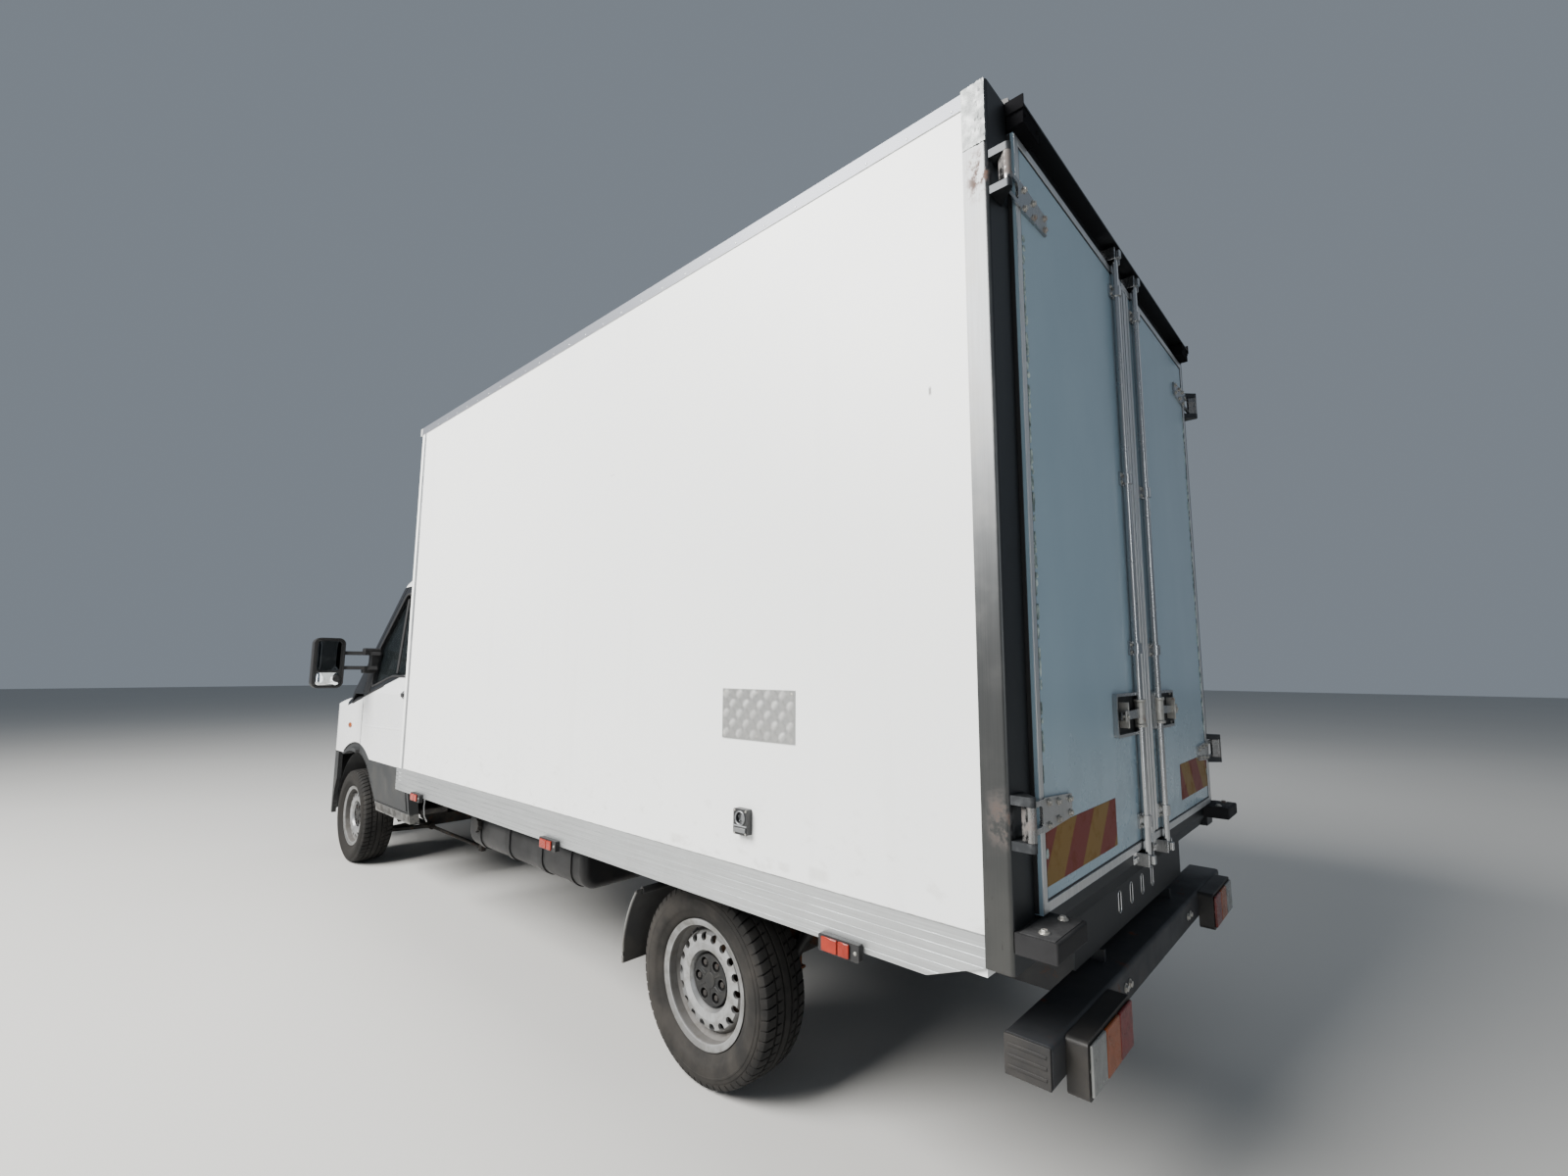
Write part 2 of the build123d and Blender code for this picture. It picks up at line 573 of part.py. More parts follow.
def make_rim(side, wheel_x, axle_y):
    """Rolled rim, pressed disc with a ring of round vents, hub with brake disc, cap with six recesses."""
    plane = Plane(origin=(0, axle_y, HUB_Z), x_dir=(1, 0, 0), z_dir=(0, -1, 0))
    half = RIM_WIDTH / 2
    x = wheel_x * side
    out = side                 # +1 when the wheel's outer face looks to +X
    skin = 6

    def at(offset):
        return x + out * offset

    with BuildPart() as rim:
        # rolled barrel with both flanges
        with BuildSketch(plane):
            with BuildLine():
                Polyline(
                    (at(-half), RIM_RADIUS + 17),
                    (at(-half + 7), RIM_RADIUS + 17),
                    (at(-half + 12), RIM_RADIUS),
                    (at(-30), RIM_RADIUS),
                    (at(-20), RIM_RADIUS - 18),
                    (at(30), RIM_RADIUS - 18),
                    (at(45), RIM_RADIUS),
                    (at(half - 12), RIM_RADIUS),
                    (at(half - 7), RIM_RADIUS + 17),
                    (at(half), RIM_RADIUS + 17),
                    (at(half), RIM_RADIUS + 12),
                    (at(half - 6), RIM_RADIUS - skin),
                    (at(48), RIM_RADIUS - skin),
                    (at(33), RIM_RADIUS - 18 - skin),
                    (at(-23), RIM_RADIUS - 18 - skin),
                    (at(-33), RIM_RADIUS - skin),
                    (at(-half), RIM_RADIUS - skin),
                    close=True,
                )
            make_face()
        revolve(axis=Axis((0, axle_y, HUB_Z), (1, 0, 0)))
        # pressed disc: outer cone with the vents, then the domed middle
        with BuildSketch(plane):
            with BuildLine():
                Polyline(
                    (at(24), RIM_RADIUS - 18 - 2),
                    (at(60), 160),
                    (at(66), 130),
                    (at(60), 105),
                    (at(28), 90),
                    (at(20), HUB_BEARING_RADIUS + 6),
                    (at(12), HUB_BEARING_RADIUS + 6),
                    (at(20), 96),
                    (at(50), 108),
                    (at(56), 130),
                    (at(50), 156),
                    (at(10), RIM_RADIUS - 18 - 2),
                    close=True,
                )
            make_face()
        revolve(axis=Axis((0, axle_y, HUB_Z), (1, 0, 0)))
        # ring of round vents
        with BuildSketch(Plane(origin=(at(30), axle_y, HUB_Z), x_dir=(0, 1, 0), z_dir=(side, 0, 0))):
            with PolarLocations(VENT_CIRCLE, VENT_COUNT):
                Circle(VENT_RADIUS)
        extrude(amount=60, mode=Mode.SUBTRACT)
        # centre cap with six recesses
        with BuildSketch(Plane(origin=(at(20), axle_y, HUB_Z), x_dir=(0, 1, 0), z_dir=(side, 0, 0))):
            Circle(CAP_RADIUS)
        extrude(amount=30, taper=8)
        with BuildSketch(Plane(origin=(at(32), axle_y, HUB_Z), x_dir=(0, 1, 0), z_dir=(side, 0, 0))):
            with PolarLocations(BOLT_CIRCLE, BOLT_COUNT):
                Circle(CUP_RADIUS)
        extrude(amount=30, mode=Mode.SUBTRACT)
        # hub and brake disc
        with BuildSketch(plane):
            with BuildLine():
                Polyline(
                    (at(-26), HUB_BEARING_RADIUS + RUNNING_CLEARANCE),
                    (at(-26), HUB_RADIUS),
                    (at(-22), HUB_RADIUS + 4),
                    (at(-22), DISC_RADIUS),
                    (at(0), DISC_RADIUS),
                    (at(0), HUB_RADIUS + 14),
                    (at(22), HUB_RADIUS + 14),
                    (at(22), HUB_BEARING_RADIUS + RUNNING_CLEARANCE),
                    close=True,
                )
            make_face()
        revolve(axis=Axis((0, axle_y, HUB_Z), (1, 0, 0)))
        with BuildSketch(plane):
            with BuildLine():
                Polyline(
                    (at(-30), 0),
                    (at(-30), HUB_BEARING_RADIUS + RUNNING_CLEARANCE),
                    (at(12), HUB_BEARING_RADIUS + RUNNING_CLEARANCE),
                    (at(12), 0),
                    close=True,
                )
            make_face()
        revolve(axis=Axis((0, axle_y, HUB_Z), (1, 0, 0)), mode=Mode.SUBTRACT)
    return rim


WHEELS = (
    ("front_left", 1, FRONT_WHEEL_X, FRONT_AXLE_Y),
    ("front_right", -1, FRONT_WHEEL_X, FRONT_AXLE_Y),
    ("rear_left", 1, REAR_WHEEL_X, REAR_AXLE_Y),
    ("rear_right", -1, REAR_WHEEL_X, REAR_AXLE_Y),
)
for name, side, wheel_x, axle_y in WHEELS:
    save(make_tyre(side * wheel_x, axle_y), f"tyre_{name}")
    save(make_rim(side, wheel_x, axle_y), f"rim_{name}")

# Cab forms: the outer and inner volumes of the cell and of the nose.
# Each is a front view pushed along the cab and trimmed by the windscreen's and the plan's lines.
def cell_form(inset, roof_inset, front, back):
    """Volume of the cabin, moved inward by the wall's thickness."""
    waist = CAB_HALF - inset
    head = CAB_ROOF_HALF - inset
    top = CAB_TOP - roof_inset
    with BuildPart() as form:
        with BuildSketch(cross_plane(from_axle((front + back) / 2))):
            with BuildLine():
                Polyline(
                    (-head, DOOR_HEAD_Z - 10),
                    (-waist, BELT_Z),
                    (-waist, 640),
                    (-waist + 25, CAB_BOTTOM),
                    (waist - 25, CAB_BOTTOM),
                    (waist, 640),
                    (waist, BELT_Z),
                    (head, DOOR_HEAD_Z - 10),
                )
                ThreePointArc((head, DOOR_HEAD_Z - 10), (head - 60, top - 75), (head - 190, top - 28))
                ThreePointArc((head - 190, top - 28), (0, top), (-head + 190, top - 28))
                ThreePointArc((-head + 190, top - 28), (-head + 60, top - 75), (-head, DOOR_HEAD_Z - 10))
            make_face()
        extrude(amount=(back - front) / 2, both=True)
    return form


SCREEN_BOW = 110               # the windscreen's middle lies ahead of its sides
SCREEN_GLASS = 8


def screen_cutter(back):
    """Everything behind the bowed windscreen surface, moved back along Y."""
    start_z = CAB_BOTTOM - 200
    y0 = screen_y(start_z, back)
    reach = CAB_HALF + 200
    with BuildPart() as cutter:
        with BuildSketch(Plane.XY.offset(start_z)):
            with BuildLine():
                Polyline((-reach, y0 + SCREEN_BOW * (reach / CAB_HALF) ** 2), (-reach, y0 + 4000),
                         (reach, y0 + 4000), (reach, y0 + SCREEN_BOW * (reach / CAB_HALF) ** 2))
                ThreePointArc((-reach, y0 + SCREEN_BOW * (reach / CAB_HALF) ** 2), (0, y0),
                              (reach, y0 + SCREEN_BOW * (reach / CAB_HALF) ** 2))
            make_face()
        extrude(amount=3200, dir=(0, SCREEN_LEAN, 1))
    return cutter


with BuildPart() as cell_outer:
    add(cell_form(0, 0, SCREEN_BASE - 200, CAB_BACK_BEHIND_AXLE).part)
    add(screen_cutter(0).part, mode=Mode.INTERSECT)
with BuildPart() as cell_inner:
    add(cell_form(CAB_WALL, 45, SCREEN_BASE - 200, CAB_BACK_BEHIND_AXLE + 50).part)
    add(screen_cutter(75).part, mode=Mode.INTERSECT)
with BuildPart() as cell_shell:
    add(cell_outer.part)
    add(cell_inner.part, mode=Mode.SUBTRACT)

# Roof panel with the header over the windscreen, closed at the back
BACK_WALL_Y = CAB_BACK_Y - 48
with BuildPart() as cell_back:
    add(cell_outer.part)
    slab(-2000, 2000, BACK_WALL_Y, CAB_BACK_Y + 1, 0, 3000, Mode.INTERSECT)
with BuildPart() as cab_roof:
    add(cell_shell.part)
    add(cell_back.part)
    slab(-2000, 2000, FRONT_Y, BOX_REAR_Y, ROOF_SPLIT_Z, 3000, Mode.INTERSECT)
save(cab_roof, "cab_roof")

# Back wall
BACK_WALL_BOTTOM = RAIL_TOP + 15
with BuildPart() as cab_back:
    add(cell_back.part)
    slab(-2000, 2000, BACK_WALL_Y, CAB_BACK_Y + 1, BACK_WALL_BOTTOM, ROOF_SPLIT_Z - SEAT, Mode.INTERSECT)
    # pressed stiffening channels
    for channel_x in (-450, 0, 450):
        slab(channel_x - 110, channel_x + 110, CAB_BACK_Y - 12, CAB_BACK_Y + 10, 900, 1900, Mode.SUBTRACT)
save(cab_back, "cab_back")


# Door outline on the side of the cab
PILLAR_WIDE = 150              # A-pillar's width along Y
ARCH_GAP = 14


def door_outline(grow):
    """Door seen from the side, grown by a gap."""
    front = from_axle(DOOR_FRONT) - grow
    rear = from_axle(DOOR_REAR) + grow
    head = DOOR_HEAD_Z + grow
    foot = SILL_TOP - grow
    pillar_shift = PILLAR_WIDE - grow * 1.3
    corner_z = SCREEN_BASE_Z + (front - from_axle(SCREEN_BASE + pillar_shift)) / SCREEN_LEAN
    arch = ARCH_RADIUS + ARCH_GAP - grow
    arch_front_z = HUB_Z + sqrt(arch ** 2 - (front - FRONT_AXLE_Y) ** 2)
    arch_rear_y = FRONT_AXLE_Y + sqrt(arch ** 2 - (foot - HUB_Z) ** 2)
    middle = radians(50)
    with BuildLine() as outline:
        Polyline(
            (front, arch_front_z),
            (front, corner_z),
            (screen_y(head, pillar_shift), head),
            (rear, head),
            (rear, foot),
            (arch_rear_y, foot),
        )
        ThreePointArc(
            (arch_rear_y, foot),
            (FRONT_AXLE_Y + arch * cos(middle), HUB_Z + arch * sin(middle)),
            (front, arch_front_z),
        )
    return outline.edges()


def window_outline(shrink, rear):
    """Window opening in the door; its lower edge falls towards the front."""
    front = from_axle(DOOR_FRONT + 150) + shrink
    knee = from_axle(DOOR_FRONT + BELT_RUN)
    back = from_axle(rear) - shrink
    head = DOOR_HEAD_Z - 62 - shrink
    sill = 20 + shrink
    low_front = belt_z(front) + sill
    frame_shift = PILLAR_WIDE + 75 + shrink * 1.3
    corner_z = SCREEN_BASE_Z + (front - from_axle(SCREEN_BASE + frame_shift)) / SCREEN_LEAN
    with BuildLine() as outline:
        Polyline(
            (front, low_front),
            (front, corner_z),
            (screen_y(head, frame_shift), head),
            (back, head),
            (back, belt_z(back) + sill),
            (knee, belt_z(knee) + sill),
            close=True,
        )
    return outline.edges()


# Side frames: A-pillar, hinge post, sill and B-pillar round each door
HINGE_POST = 120               # hidden behind the wing
PILLAR_FOOT_Z = SCREEN_BASE_Z + 22

# Cab door hinges: a pin near the door's outer corner, in pockets open to the inside
DOOR_HINGE_X = CAB_HALF - 8
DOOR_HINGE_Y = from_axle(DOOR_FRONT + 5)
DOOR_HINGE_HEIGHTS = (900, 1130)
DOOR_PIN_RADIUS = 3
DOOR_KNUCKLE_RADIUS = 5.5
DOOR_KNUCKLE_HALF = 12
DOOR_LUG_TALL = 12


def screen_half(z):
    """Half width of the windscreen's opening at a height."""
    return 880 - (z - 1200) * 120 / 910


with BuildPart() as cab_sides:
    with BuildSketch(side_plane(0)):
        with BuildLine():
            Polyline(
                (screen_y(PILLAR_FOOT_Z) - 60, PILLAR_FOOT_Z),
                (screen_y(ROOF_SPLIT_Z) - 60, ROOF_SPLIT_Z - SEAT),
                (BACK_WALL_Y - SEAT, ROOF_SPLIT_Z - SEAT),
                (BACK_WALL_Y - SEAT, CAB_BOTTOM),
                (FRONT_AXLE_Y + sqrt(ARCH_RADIUS ** 2 - (CAB_BOTTOM - HUB_Z) ** 2), CAB_BOTTOM),
            )
            ThreePointArc(
                (FRONT_AXLE_Y + sqrt(ARCH_RADIUS ** 2 - (CAB_BOTTOM - HUB_Z) ** 2), CAB_BOTTOM),
                (FRONT_AXLE_Y + ARCH_RADIUS * cos(radians(50)), HUB_Z + ARCH_RADIUS * sin(radians(50))),
                (from_axle(DOOR_FRONT - HINGE_POST),
                 HUB_Z + sqrt(ARCH_RADIUS ** 2 - (DOOR_FRONT - HINGE_POST) ** 2)),
            )
            Polyline(
                (from_axle(DOOR_FRONT - HINGE_POST),
                 HUB_Z + sqrt(ARCH_RADIUS ** 2 - (DOOR_FRONT - HINGE_POST) ** 2)),
                (from_axle(DOOR_FRONT - HINGE_POST), PILLAR_FOOT_Z),
                (screen_y(PILLAR_FOOT_Z) - 60, PILLAR_FOOT_Z),
            )
        make_face()
    extrude(amount=CAB_HALF + 40)
    with BuildSketch(side_plane(0)):
        make_face(door_outline(PANEL_GAP))
    extrude(amount=CAB_HALF + 60, mode=Mode.SUBTRACT)
    add(cell_shell.part, mode=Mode.INTERSECT)
    # windscreen opening
    with BuildSketch(cross_plane(FRONT_AXLE_Y)):
        with BuildLine():
            low_half = screen_half(PILLAR_FOOT_Z - 50)
            high_half = screen_half(ROOF_SPLIT_Z + 20)
            Polyline(
                (-low_half, PILLAR_FOOT_Z - 50),
                (low_half, PILLAR_FOOT_Z - 50),
                (high_half, ROOF_SPLIT_Z + 20),
                (-high_half, ROOF_SPLIT_Z + 20),
                close=True,
            )
        make_face()
    extrude(amount=600, both=True, mode=Mode.SUBTRACT)
    # room for the wing's skin over the hinge post
    slab(CAB_HALF - NOSE_SKIN - SEAT, CAB_HALF + 60, FRONT_Y, from_axle(DOOR_FRONT) - PANEL_GAP + 1,
         0, PILLAR_FOOT_Z, Mode.SUBTRACT)
    # hinge lugs and pins for the door
    for hinge_z in DOOR_HINGE_HEIGHTS:
        lug_reach = DOOR_KNUCKLE_HALF + LUG_GAP
        for lug_low in (hinge_z - lug_reach - DOOR_LUG_TALL, hinge_z + lug_reach):
            with BuildSketch(Plane.XY.offset(lug_low)):
                with BuildLine():
                    Polyline(
                        (DOOR_HINGE_X - 44, DOOR_HINGE_Y - 15),
                        (CAB_HALF - NOSE_SKIN - SEAT, DOOR_HINGE_Y - 15),
                        (CAB_HALF - NOSE_SKIN - SEAT, DOOR_HINGE_Y - 9.5),
                        (DOOR_HINGE_X, DOOR_HINGE_Y - DOOR_KNUCKLE_RADIUS),
                        (DOOR_HINGE_X, DOOR_HINGE_Y + DOOR_KNUCKLE_RADIUS),
                        (DOOR_HINGE_X - 44, DOOR_HINGE_Y + 3),
                        close=True,
                    )
                make_face()
                with Locations((DOOR_HINGE_X, DOOR_HINGE_Y)):
                    Circle(DOOR_KNUCKLE_RADIUS)
            extrude(amount=DOOR_LUG_TALL)
        with BuildSketch(Plane.XY.offset(hinge_z - DOOR_KNUCKLE_HALF - LUG_GAP - DOOR_LUG_TALL / 2)):
            with Locations((DOOR_HINGE_X, DOOR_HINGE_Y)):
                Circle(DOOR_PIN_RADIUS)
        extrude(amount=2 * DOOR_KNUCKLE_HALF + 2 * LUG_GAP + DOOR_LUG_TALL)
    mirror(about=Plane.YZ)
save(cab_sides, "cab_sides")

# Cab floor: floor pan over the rails, engine cover, seat boxes, toe boards, steps and arch housings
FLOOR_Z = RAIL_TOP + 30
STEP_Z = 500
COVER_Z = 1030                 # underside of the engine cover and of the seat boxes
PLATE = 30
COVER_HALF = 300
TUNNEL_HALF = 500              # inner walls of the arch housings
STEP_INNER_X = 700
STEP_IN = 22                   # the sill leans inward at its foot
FLOOR_HALF = CAB_HALF - CAB_WALL - 12
SEAT_BOX_Y = from_axle(590)
SEAT_BOX_OUT = 640
HOUSING_RADIUS = ARCH_RADIUS + 22
TOE_Y = from_axle(150)
FIREWALL_Y = from_axle(-130)
FIREWALL_TOP = 1250
FLOOR_BACK_Y = BACK_WALL_Y - SEAT


def arch_point(radius):
    """Point of an arc about the front wheel, up and to the rear of its axle."""
    return (FRONT_AXLE_Y + radius * cos(radians(60)), HUB_Z + radius * sin(radians(60)))


def housing_outline(foot_z):
    """Arch housing from the firewall round the wheel to a floor at a height."""
    outer = HOUSING_RADIUS
    inner = HOUSING_RADIUS - PLATE
    low_outer = FRONT_AXLE_Y + sqrt(outer ** 2 - (foot_z + PLATE - HUB_Z) ** 2)
    low_inner = FRONT_AXLE_Y + sqrt(inner ** 2 - (foot_z - HUB_Z) ** 2)
    top_inner = HUB_Z + sqrt(inner ** 2 - (FIREWALL_Y - FRONT_AXLE_Y) ** 2)
    top_outer = HUB_Z + sqrt(outer ** 2 - (FIREWALL_Y - FRONT_AXLE_Y) ** 2)
    with BuildLine() as outline:
        ThreePointArc((low_inner, foot_z), arch_point(inner), (FIREWALL_Y, top_inner))
        Line((FIREWALL_Y, top_inner), (FIREWALL_Y, top_outer))
        ThreePointArc((FIREWALL_Y, top_outer), arch_point(outer), (low_outer, foot_z + PLATE))
        Polyline((low_outer, foot_z + PLATE), (FLOOR_BACK_Y, foot_z + PLATE), (FLOOR_BACK_Y, foot_z),
                 (low_inner, foot_z))
    return outline.edges()


CAB_MOUNTS = (from_axle(450), CAB_BACK_Y - 100)
with BuildPart() as cab_floor:
    # mounts on the frame's rails
    for mount_y in CAB_MOUNTS:
        slab(FRAME_HALF - 60, FRAME_HALF - 5, mount_y - 40, mount_y + 40, RAIL_TOP + SEAT, FLOOR_Z)
    # engine cover
    slab(-COVER_HALF, COVER_HALF, FIREWALL_Y, FLOOR_BACK_Y, COVER_Z, COVER_Z + PLATE)
    # firewall across the cab
    slab(-FLOOR_HALF, FLOOR_HALF, FIREWALL_Y, FIREWALL_Y + PLATE, COVER_Z, FIREWALL_TOP)
    # cover's side wall
    slab(COVER_HALF - PLATE, COVER_HALF, FIREWALL_Y, FLOOR_BACK_Y, FLOOR_Z, COVER_Z + PLATE)
    # foot well
    with BuildSketch(side_plane(COVER_HALF)):
        with BuildLine():
            Polyline(
                (FLOOR_BACK_Y, FLOOR_Z),
                (TOE_Y, FLOOR_Z),
                (FIREWALL_Y, FLOOR_Z + 260),
                (FIREWALL_Y, COVER_Z + PLATE),
                (FIREWALL_Y + PLATE, COVER_Z + PLATE),
                (FIREWALL_Y + PLATE, FLOOR_Z + 270),
                (TOE_Y + 15, FLOOR_Z + PLATE),
                (FLOOR_BACK_Y, FLOOR_Z + PLATE),
                close=True,
            )
        make_face()
    extrude(amount=TUNNEL_HALF + PLATE - COVER_HALF)
    # arch housing, floor beside the seat and step
    with BuildSketch(side_plane(TUNNEL_HALF)):
        make_face(housing_outline(FLOOR_Z))
    extrude(amount=STEP_INNER_X + PLATE - TUNNEL_HALF)
    with BuildSketch(side_plane(STEP_INNER_X)):
        make_face(housing_outline(STEP_Z))
    extrude(amount=FLOOR_HALF - STEP_IN - STEP_INNER_X)
    slab(STEP_INNER_X, STEP_INNER_X + PLATE, from_axle(480), FLOOR_BACK_Y, STEP_Z, FLOOR_Z + PLATE)
    # firewall down to the housing
    slab(TUNNEL_HALF, FLOOR_HALF, FIREWALL_Y, FIREWALL_Y + PLATE,
         HUB_Z + HOUSING_RADIUS - 40, COVER_Z + PLATE)
    # housing's inner wall beside the foot well
    with BuildSketch(side_plane(TUNNEL_HALF)):
        with BuildLine():
            Polyline(
                (FIREWALL_Y, FLOOR_Z + 10),
                (FIREWALL_Y, HUB_Z + HOUSING_RADIUS - 50),
                (FRONT_AXLE_Y + 250, HUB_Z + HOUSING_RADIUS - 90),
                (from_axle(370), FLOOR_Z + 10),
                close=True,
            )
        make_face()
    extrude(amount=PLATE)
    # seat box
    slab(COVER_HALF, SEAT_BOX_OUT, SEAT_BOX_Y, FLOOR_BACK_Y, COVER_Z, COVER_Z + PLATE)
    slab(COVER_HALF, SEAT_BOX_OUT, SEAT_BOX_Y, SEAT_BOX_Y + PLATE, FLOOR_Z, COVER_Z + PLATE)
    slab(SEAT_BOX_OUT - PLATE, SEAT_BOX_OUT, SEAT_BOX_Y, FLOOR_BACK_Y, FLOOR_Z, COVER_Z + PLATE)
    mirror(about=Plane.YZ)
save(cab_floor, "cab_floor")

# Windscreen: bowed glass with rounded corners, seated in the pillars' opening
GLASS_GAP = 1.5
with BuildPart() as screen_front:
    add(cell_outer.part)
    add(screen_cutter(14).part, mode=Mode.INTERSECT)
with BuildPart() as windscreen:
    with BuildSketch(cross_plane(FRONT_AXLE_Y)):
        with BuildLine():
            low_half = screen_half(PILLAR_FOOT_Z) - GLASS_GAP
            high_half = screen_half(ROOF_SPLIT_Z - 8) - GLASS_GAP
            Polyline(
                (-low_half, PILLAR_FOOT_Z),
                (low_half, PILLAR_FOOT_Z),
                (high_half, ROOF_SPLIT_Z - GLASS_GAP),
                (-high_half, ROOF_SPLIT_Z - GLASS_GAP),
                close=True,
            )
        make_face()
        fillet(vertices(), 45)
    extrude(amount=700, both=True)
    add(screen_front.part, mode=Mode.INTERSECT)
    add(screen_cutter(14 + SCREEN_GLASS).part, mode=Mode.SUBTRACT)
save(windscreen, "windscreen")

# Nose form: side view, front view and plan all trim one block
BONNET_FRONT = -905
BONNET_FRONT_Z = 985
NOSE_BOTTOM = 300
NOSE_TOP = BELT_Z - 12
SHOULDER_DROP = 0.107          # fall of the wings' shoulders towards the front


def nose_form(inset):
    """Volume of the nose, moved inward by the panels' thickness."""
    rear = from_axle(DOOR_FRONT) - PANEL_GAP - 2
    half = CAB_HALF - inset
    with BuildPart() as form:
        with BuildSketch(side_plane(0)):
            with BuildLine():
                Polyline(
                    (rear, NOSE_TOP - inset),
                    (rear, NOSE_BOTTOM - 50 + inset),
                    (FRONT_Y + 40 + inset, NOSE_BOTTOM - 50 + inset),
                    (FRONT_Y + inset, NOSE_BOTTOM + 60),
                    (FRONT_Y + inset, 700),
                    (FRONT_Y + 30 + inset, 830),
                    (from_axle(BONNET_FRONT) + inset, BONNET_FRONT_Z - inset * 0.6),
                )
                ThreePointArc(
                    (from_axle(BONNET_FRONT) + inset, BONNET_FRONT_Z - inset * 0.6),
                    (from_axle(-620), 1145 - inset),
                    (from_axle(SCREEN_BASE), 1238 - inset),
                )
                Line((from_axle(SCREEN_BASE), 1238 - inset), (rear, NOSE_TOP - inset))
            make_face()
        extrude(amount=CAB_HALF + 60, both=True)
        shoulder = NOSE_TOP - inset
        with BuildSketch(cross_plane(rear)):
            with BuildLine():
                Polyline((half, 150), (half, shoulder - 70))
                ThreePointArc((half, shoulder - 70), (half - 18, shoulder - 18), (half - 70, shoulder + 2))
                Polyline((half - 70, shoulder + 2), (-half + 70, shoulder + 2))
                ThreePointArc((-half + 70, shoulder + 2), (-half + 18, shoulder - 18), (-half, shoulder - 70))
                Polyline((-half, shoulder - 70), (-half, 150), (half, 150))
            make_face()
        extrude(amount=1500, dir=(0, -1, -SHOULDER_DROP), mode=Mode.INTERSECT)
        with BuildSketch(Plane.XY):
            with BuildLine():
                Line((half, rear), (half, from_axle(-380)))
                ThreePointArc((half, from_axle(-380)), (half - 60, from_axle(-690)),
                              (half - 250, from_axle(-890)))
                ThreePointArc((half - 250, from_axle(-890)), (0, FRONT_Y + inset),
                              (-half + 250, from_axle(-890)))
                ThreePointArc((-half + 250, from_axle(-890)), (-half + 60, from_axle(-690)),
                              (-half, from_axle(-380)))
                Line((-half, from_axle(-380)), (-half, rear))
                Line((-half, rear), (half, rear))
            make_face()
        extrude(amount=2000, mode=Mode.INTERSECT)
    return form


with BuildPart() as nose_outer:
    add(nose_form(0).part)
with BuildPart() as nose_inner:
    add(nose_form(NOSE_SKIN).part)
with BuildPart() as nose_shell:
    add(nose_outer.part)
    add(nose_inner.part, mode=Mode.SUBTRACT)
    slab(-TRIM_HALF, TRIM_HALF, FRONT_Y - 10, from_axle(DOOR_FRONT), 0, NOSE_BOTTOM, Mode.SUBTRACT)

# Lines where the nose's panels meet
BONNET_HALF = 700
BONNET_REAR_Y = screen_y(SCREEN_BASE_Z) - 45
BUMPER_TOP = 790
LAMP_TOP = 985
LAMP_INNER_X = BONNET_HALF - 230
GRILLE_TOP = 960
BONNET_LIP_Z = GRILLE_TOP + 12

# Bonnet hinges stand in the gap at its rear edge, just under the surface
BONNET_HINGE_Y = BONNET_REAR_Y + PANEL_GAP / 2
BONNET_HINGE_Z = 1223
BONNET_HINGE_XS = (-560, 560)
BONNET_PIN_RADIUS = 3
BONNET_KNUCKLE_RADIUS = 5.5
BONNET_KNUCKLE_HALF = 14
BONNET_LUG_LONG = 12
BONNET_SWEEP = 13.5            # room round the hinge for the bonnet's rear edge


def cross_rod(middle_x, half, radius, mode=Mode.ADD):
    """Round rod across the truck on the bonnet's hinge axis."""
    with Locations((middle_x, BONNET_HINGE_Y, BONNET_HINGE_Z)):
        Cylinder(radius, 2 * half, rotation=(0, 90, 0), mode=mode)


# Bonnet: the lid of the nose, hinged at its rear edge
with BuildPart() as bonnet:
    add(nose_shell.part)
    with BuildSketch(Plane.XY.offset(BONNET_LIP_Z)):
        with BuildLine():
            Polyline(
                (-BONNET_HALF, BONNET_REAR_Y),
                (-BONNET_HALF + 40, FRONT_Y - 20),
                (BONNET_HALF - 40, FRONT_Y - 20),
                (BONNET_HALF, BONNET_REAR_Y),
                close=True,
            )
        make_face()
    extrude(amount=500, mode=Mode.INTERSECT)
    for hinge_x in BONNET_HINGE_XS:
        notch = BONNET_KNUCKLE_HALF + LUG_GAP + BONNET_LUG_LONG + 3
        slab(hinge_x - notch, hinge_x + notch, BONNET_REAR_Y - 9, BONNET_REAR_Y + 9,
             BONNET_HINGE_Z - 60, BONNET_HINGE_Z + 30, Mode.SUBTRACT)
        slab(hinge_x - BONNET_KNUCKLE_HALF, hinge_x + BONNET_KNUCKLE_HALF, BONNET_REAR_Y - 12, BONNET_HINGE_Y,
             BONNET_HINGE_Z - BONNET_KNUCKLE_RADIUS, BONNET_HINGE_Z + 4)
        cross_rod(hinge_x, BONNET_KNUCKLE_HALF, BONNET_KNUCKLE_RADIUS)
        cross_rod(hinge_x, BONNET_KNUCKLE_HALF + 1, BONNET_PIN_RADIUS + RUNNING_CLEARANCE, Mode.SUBTRACT)
save(bonnet, "bonnet")

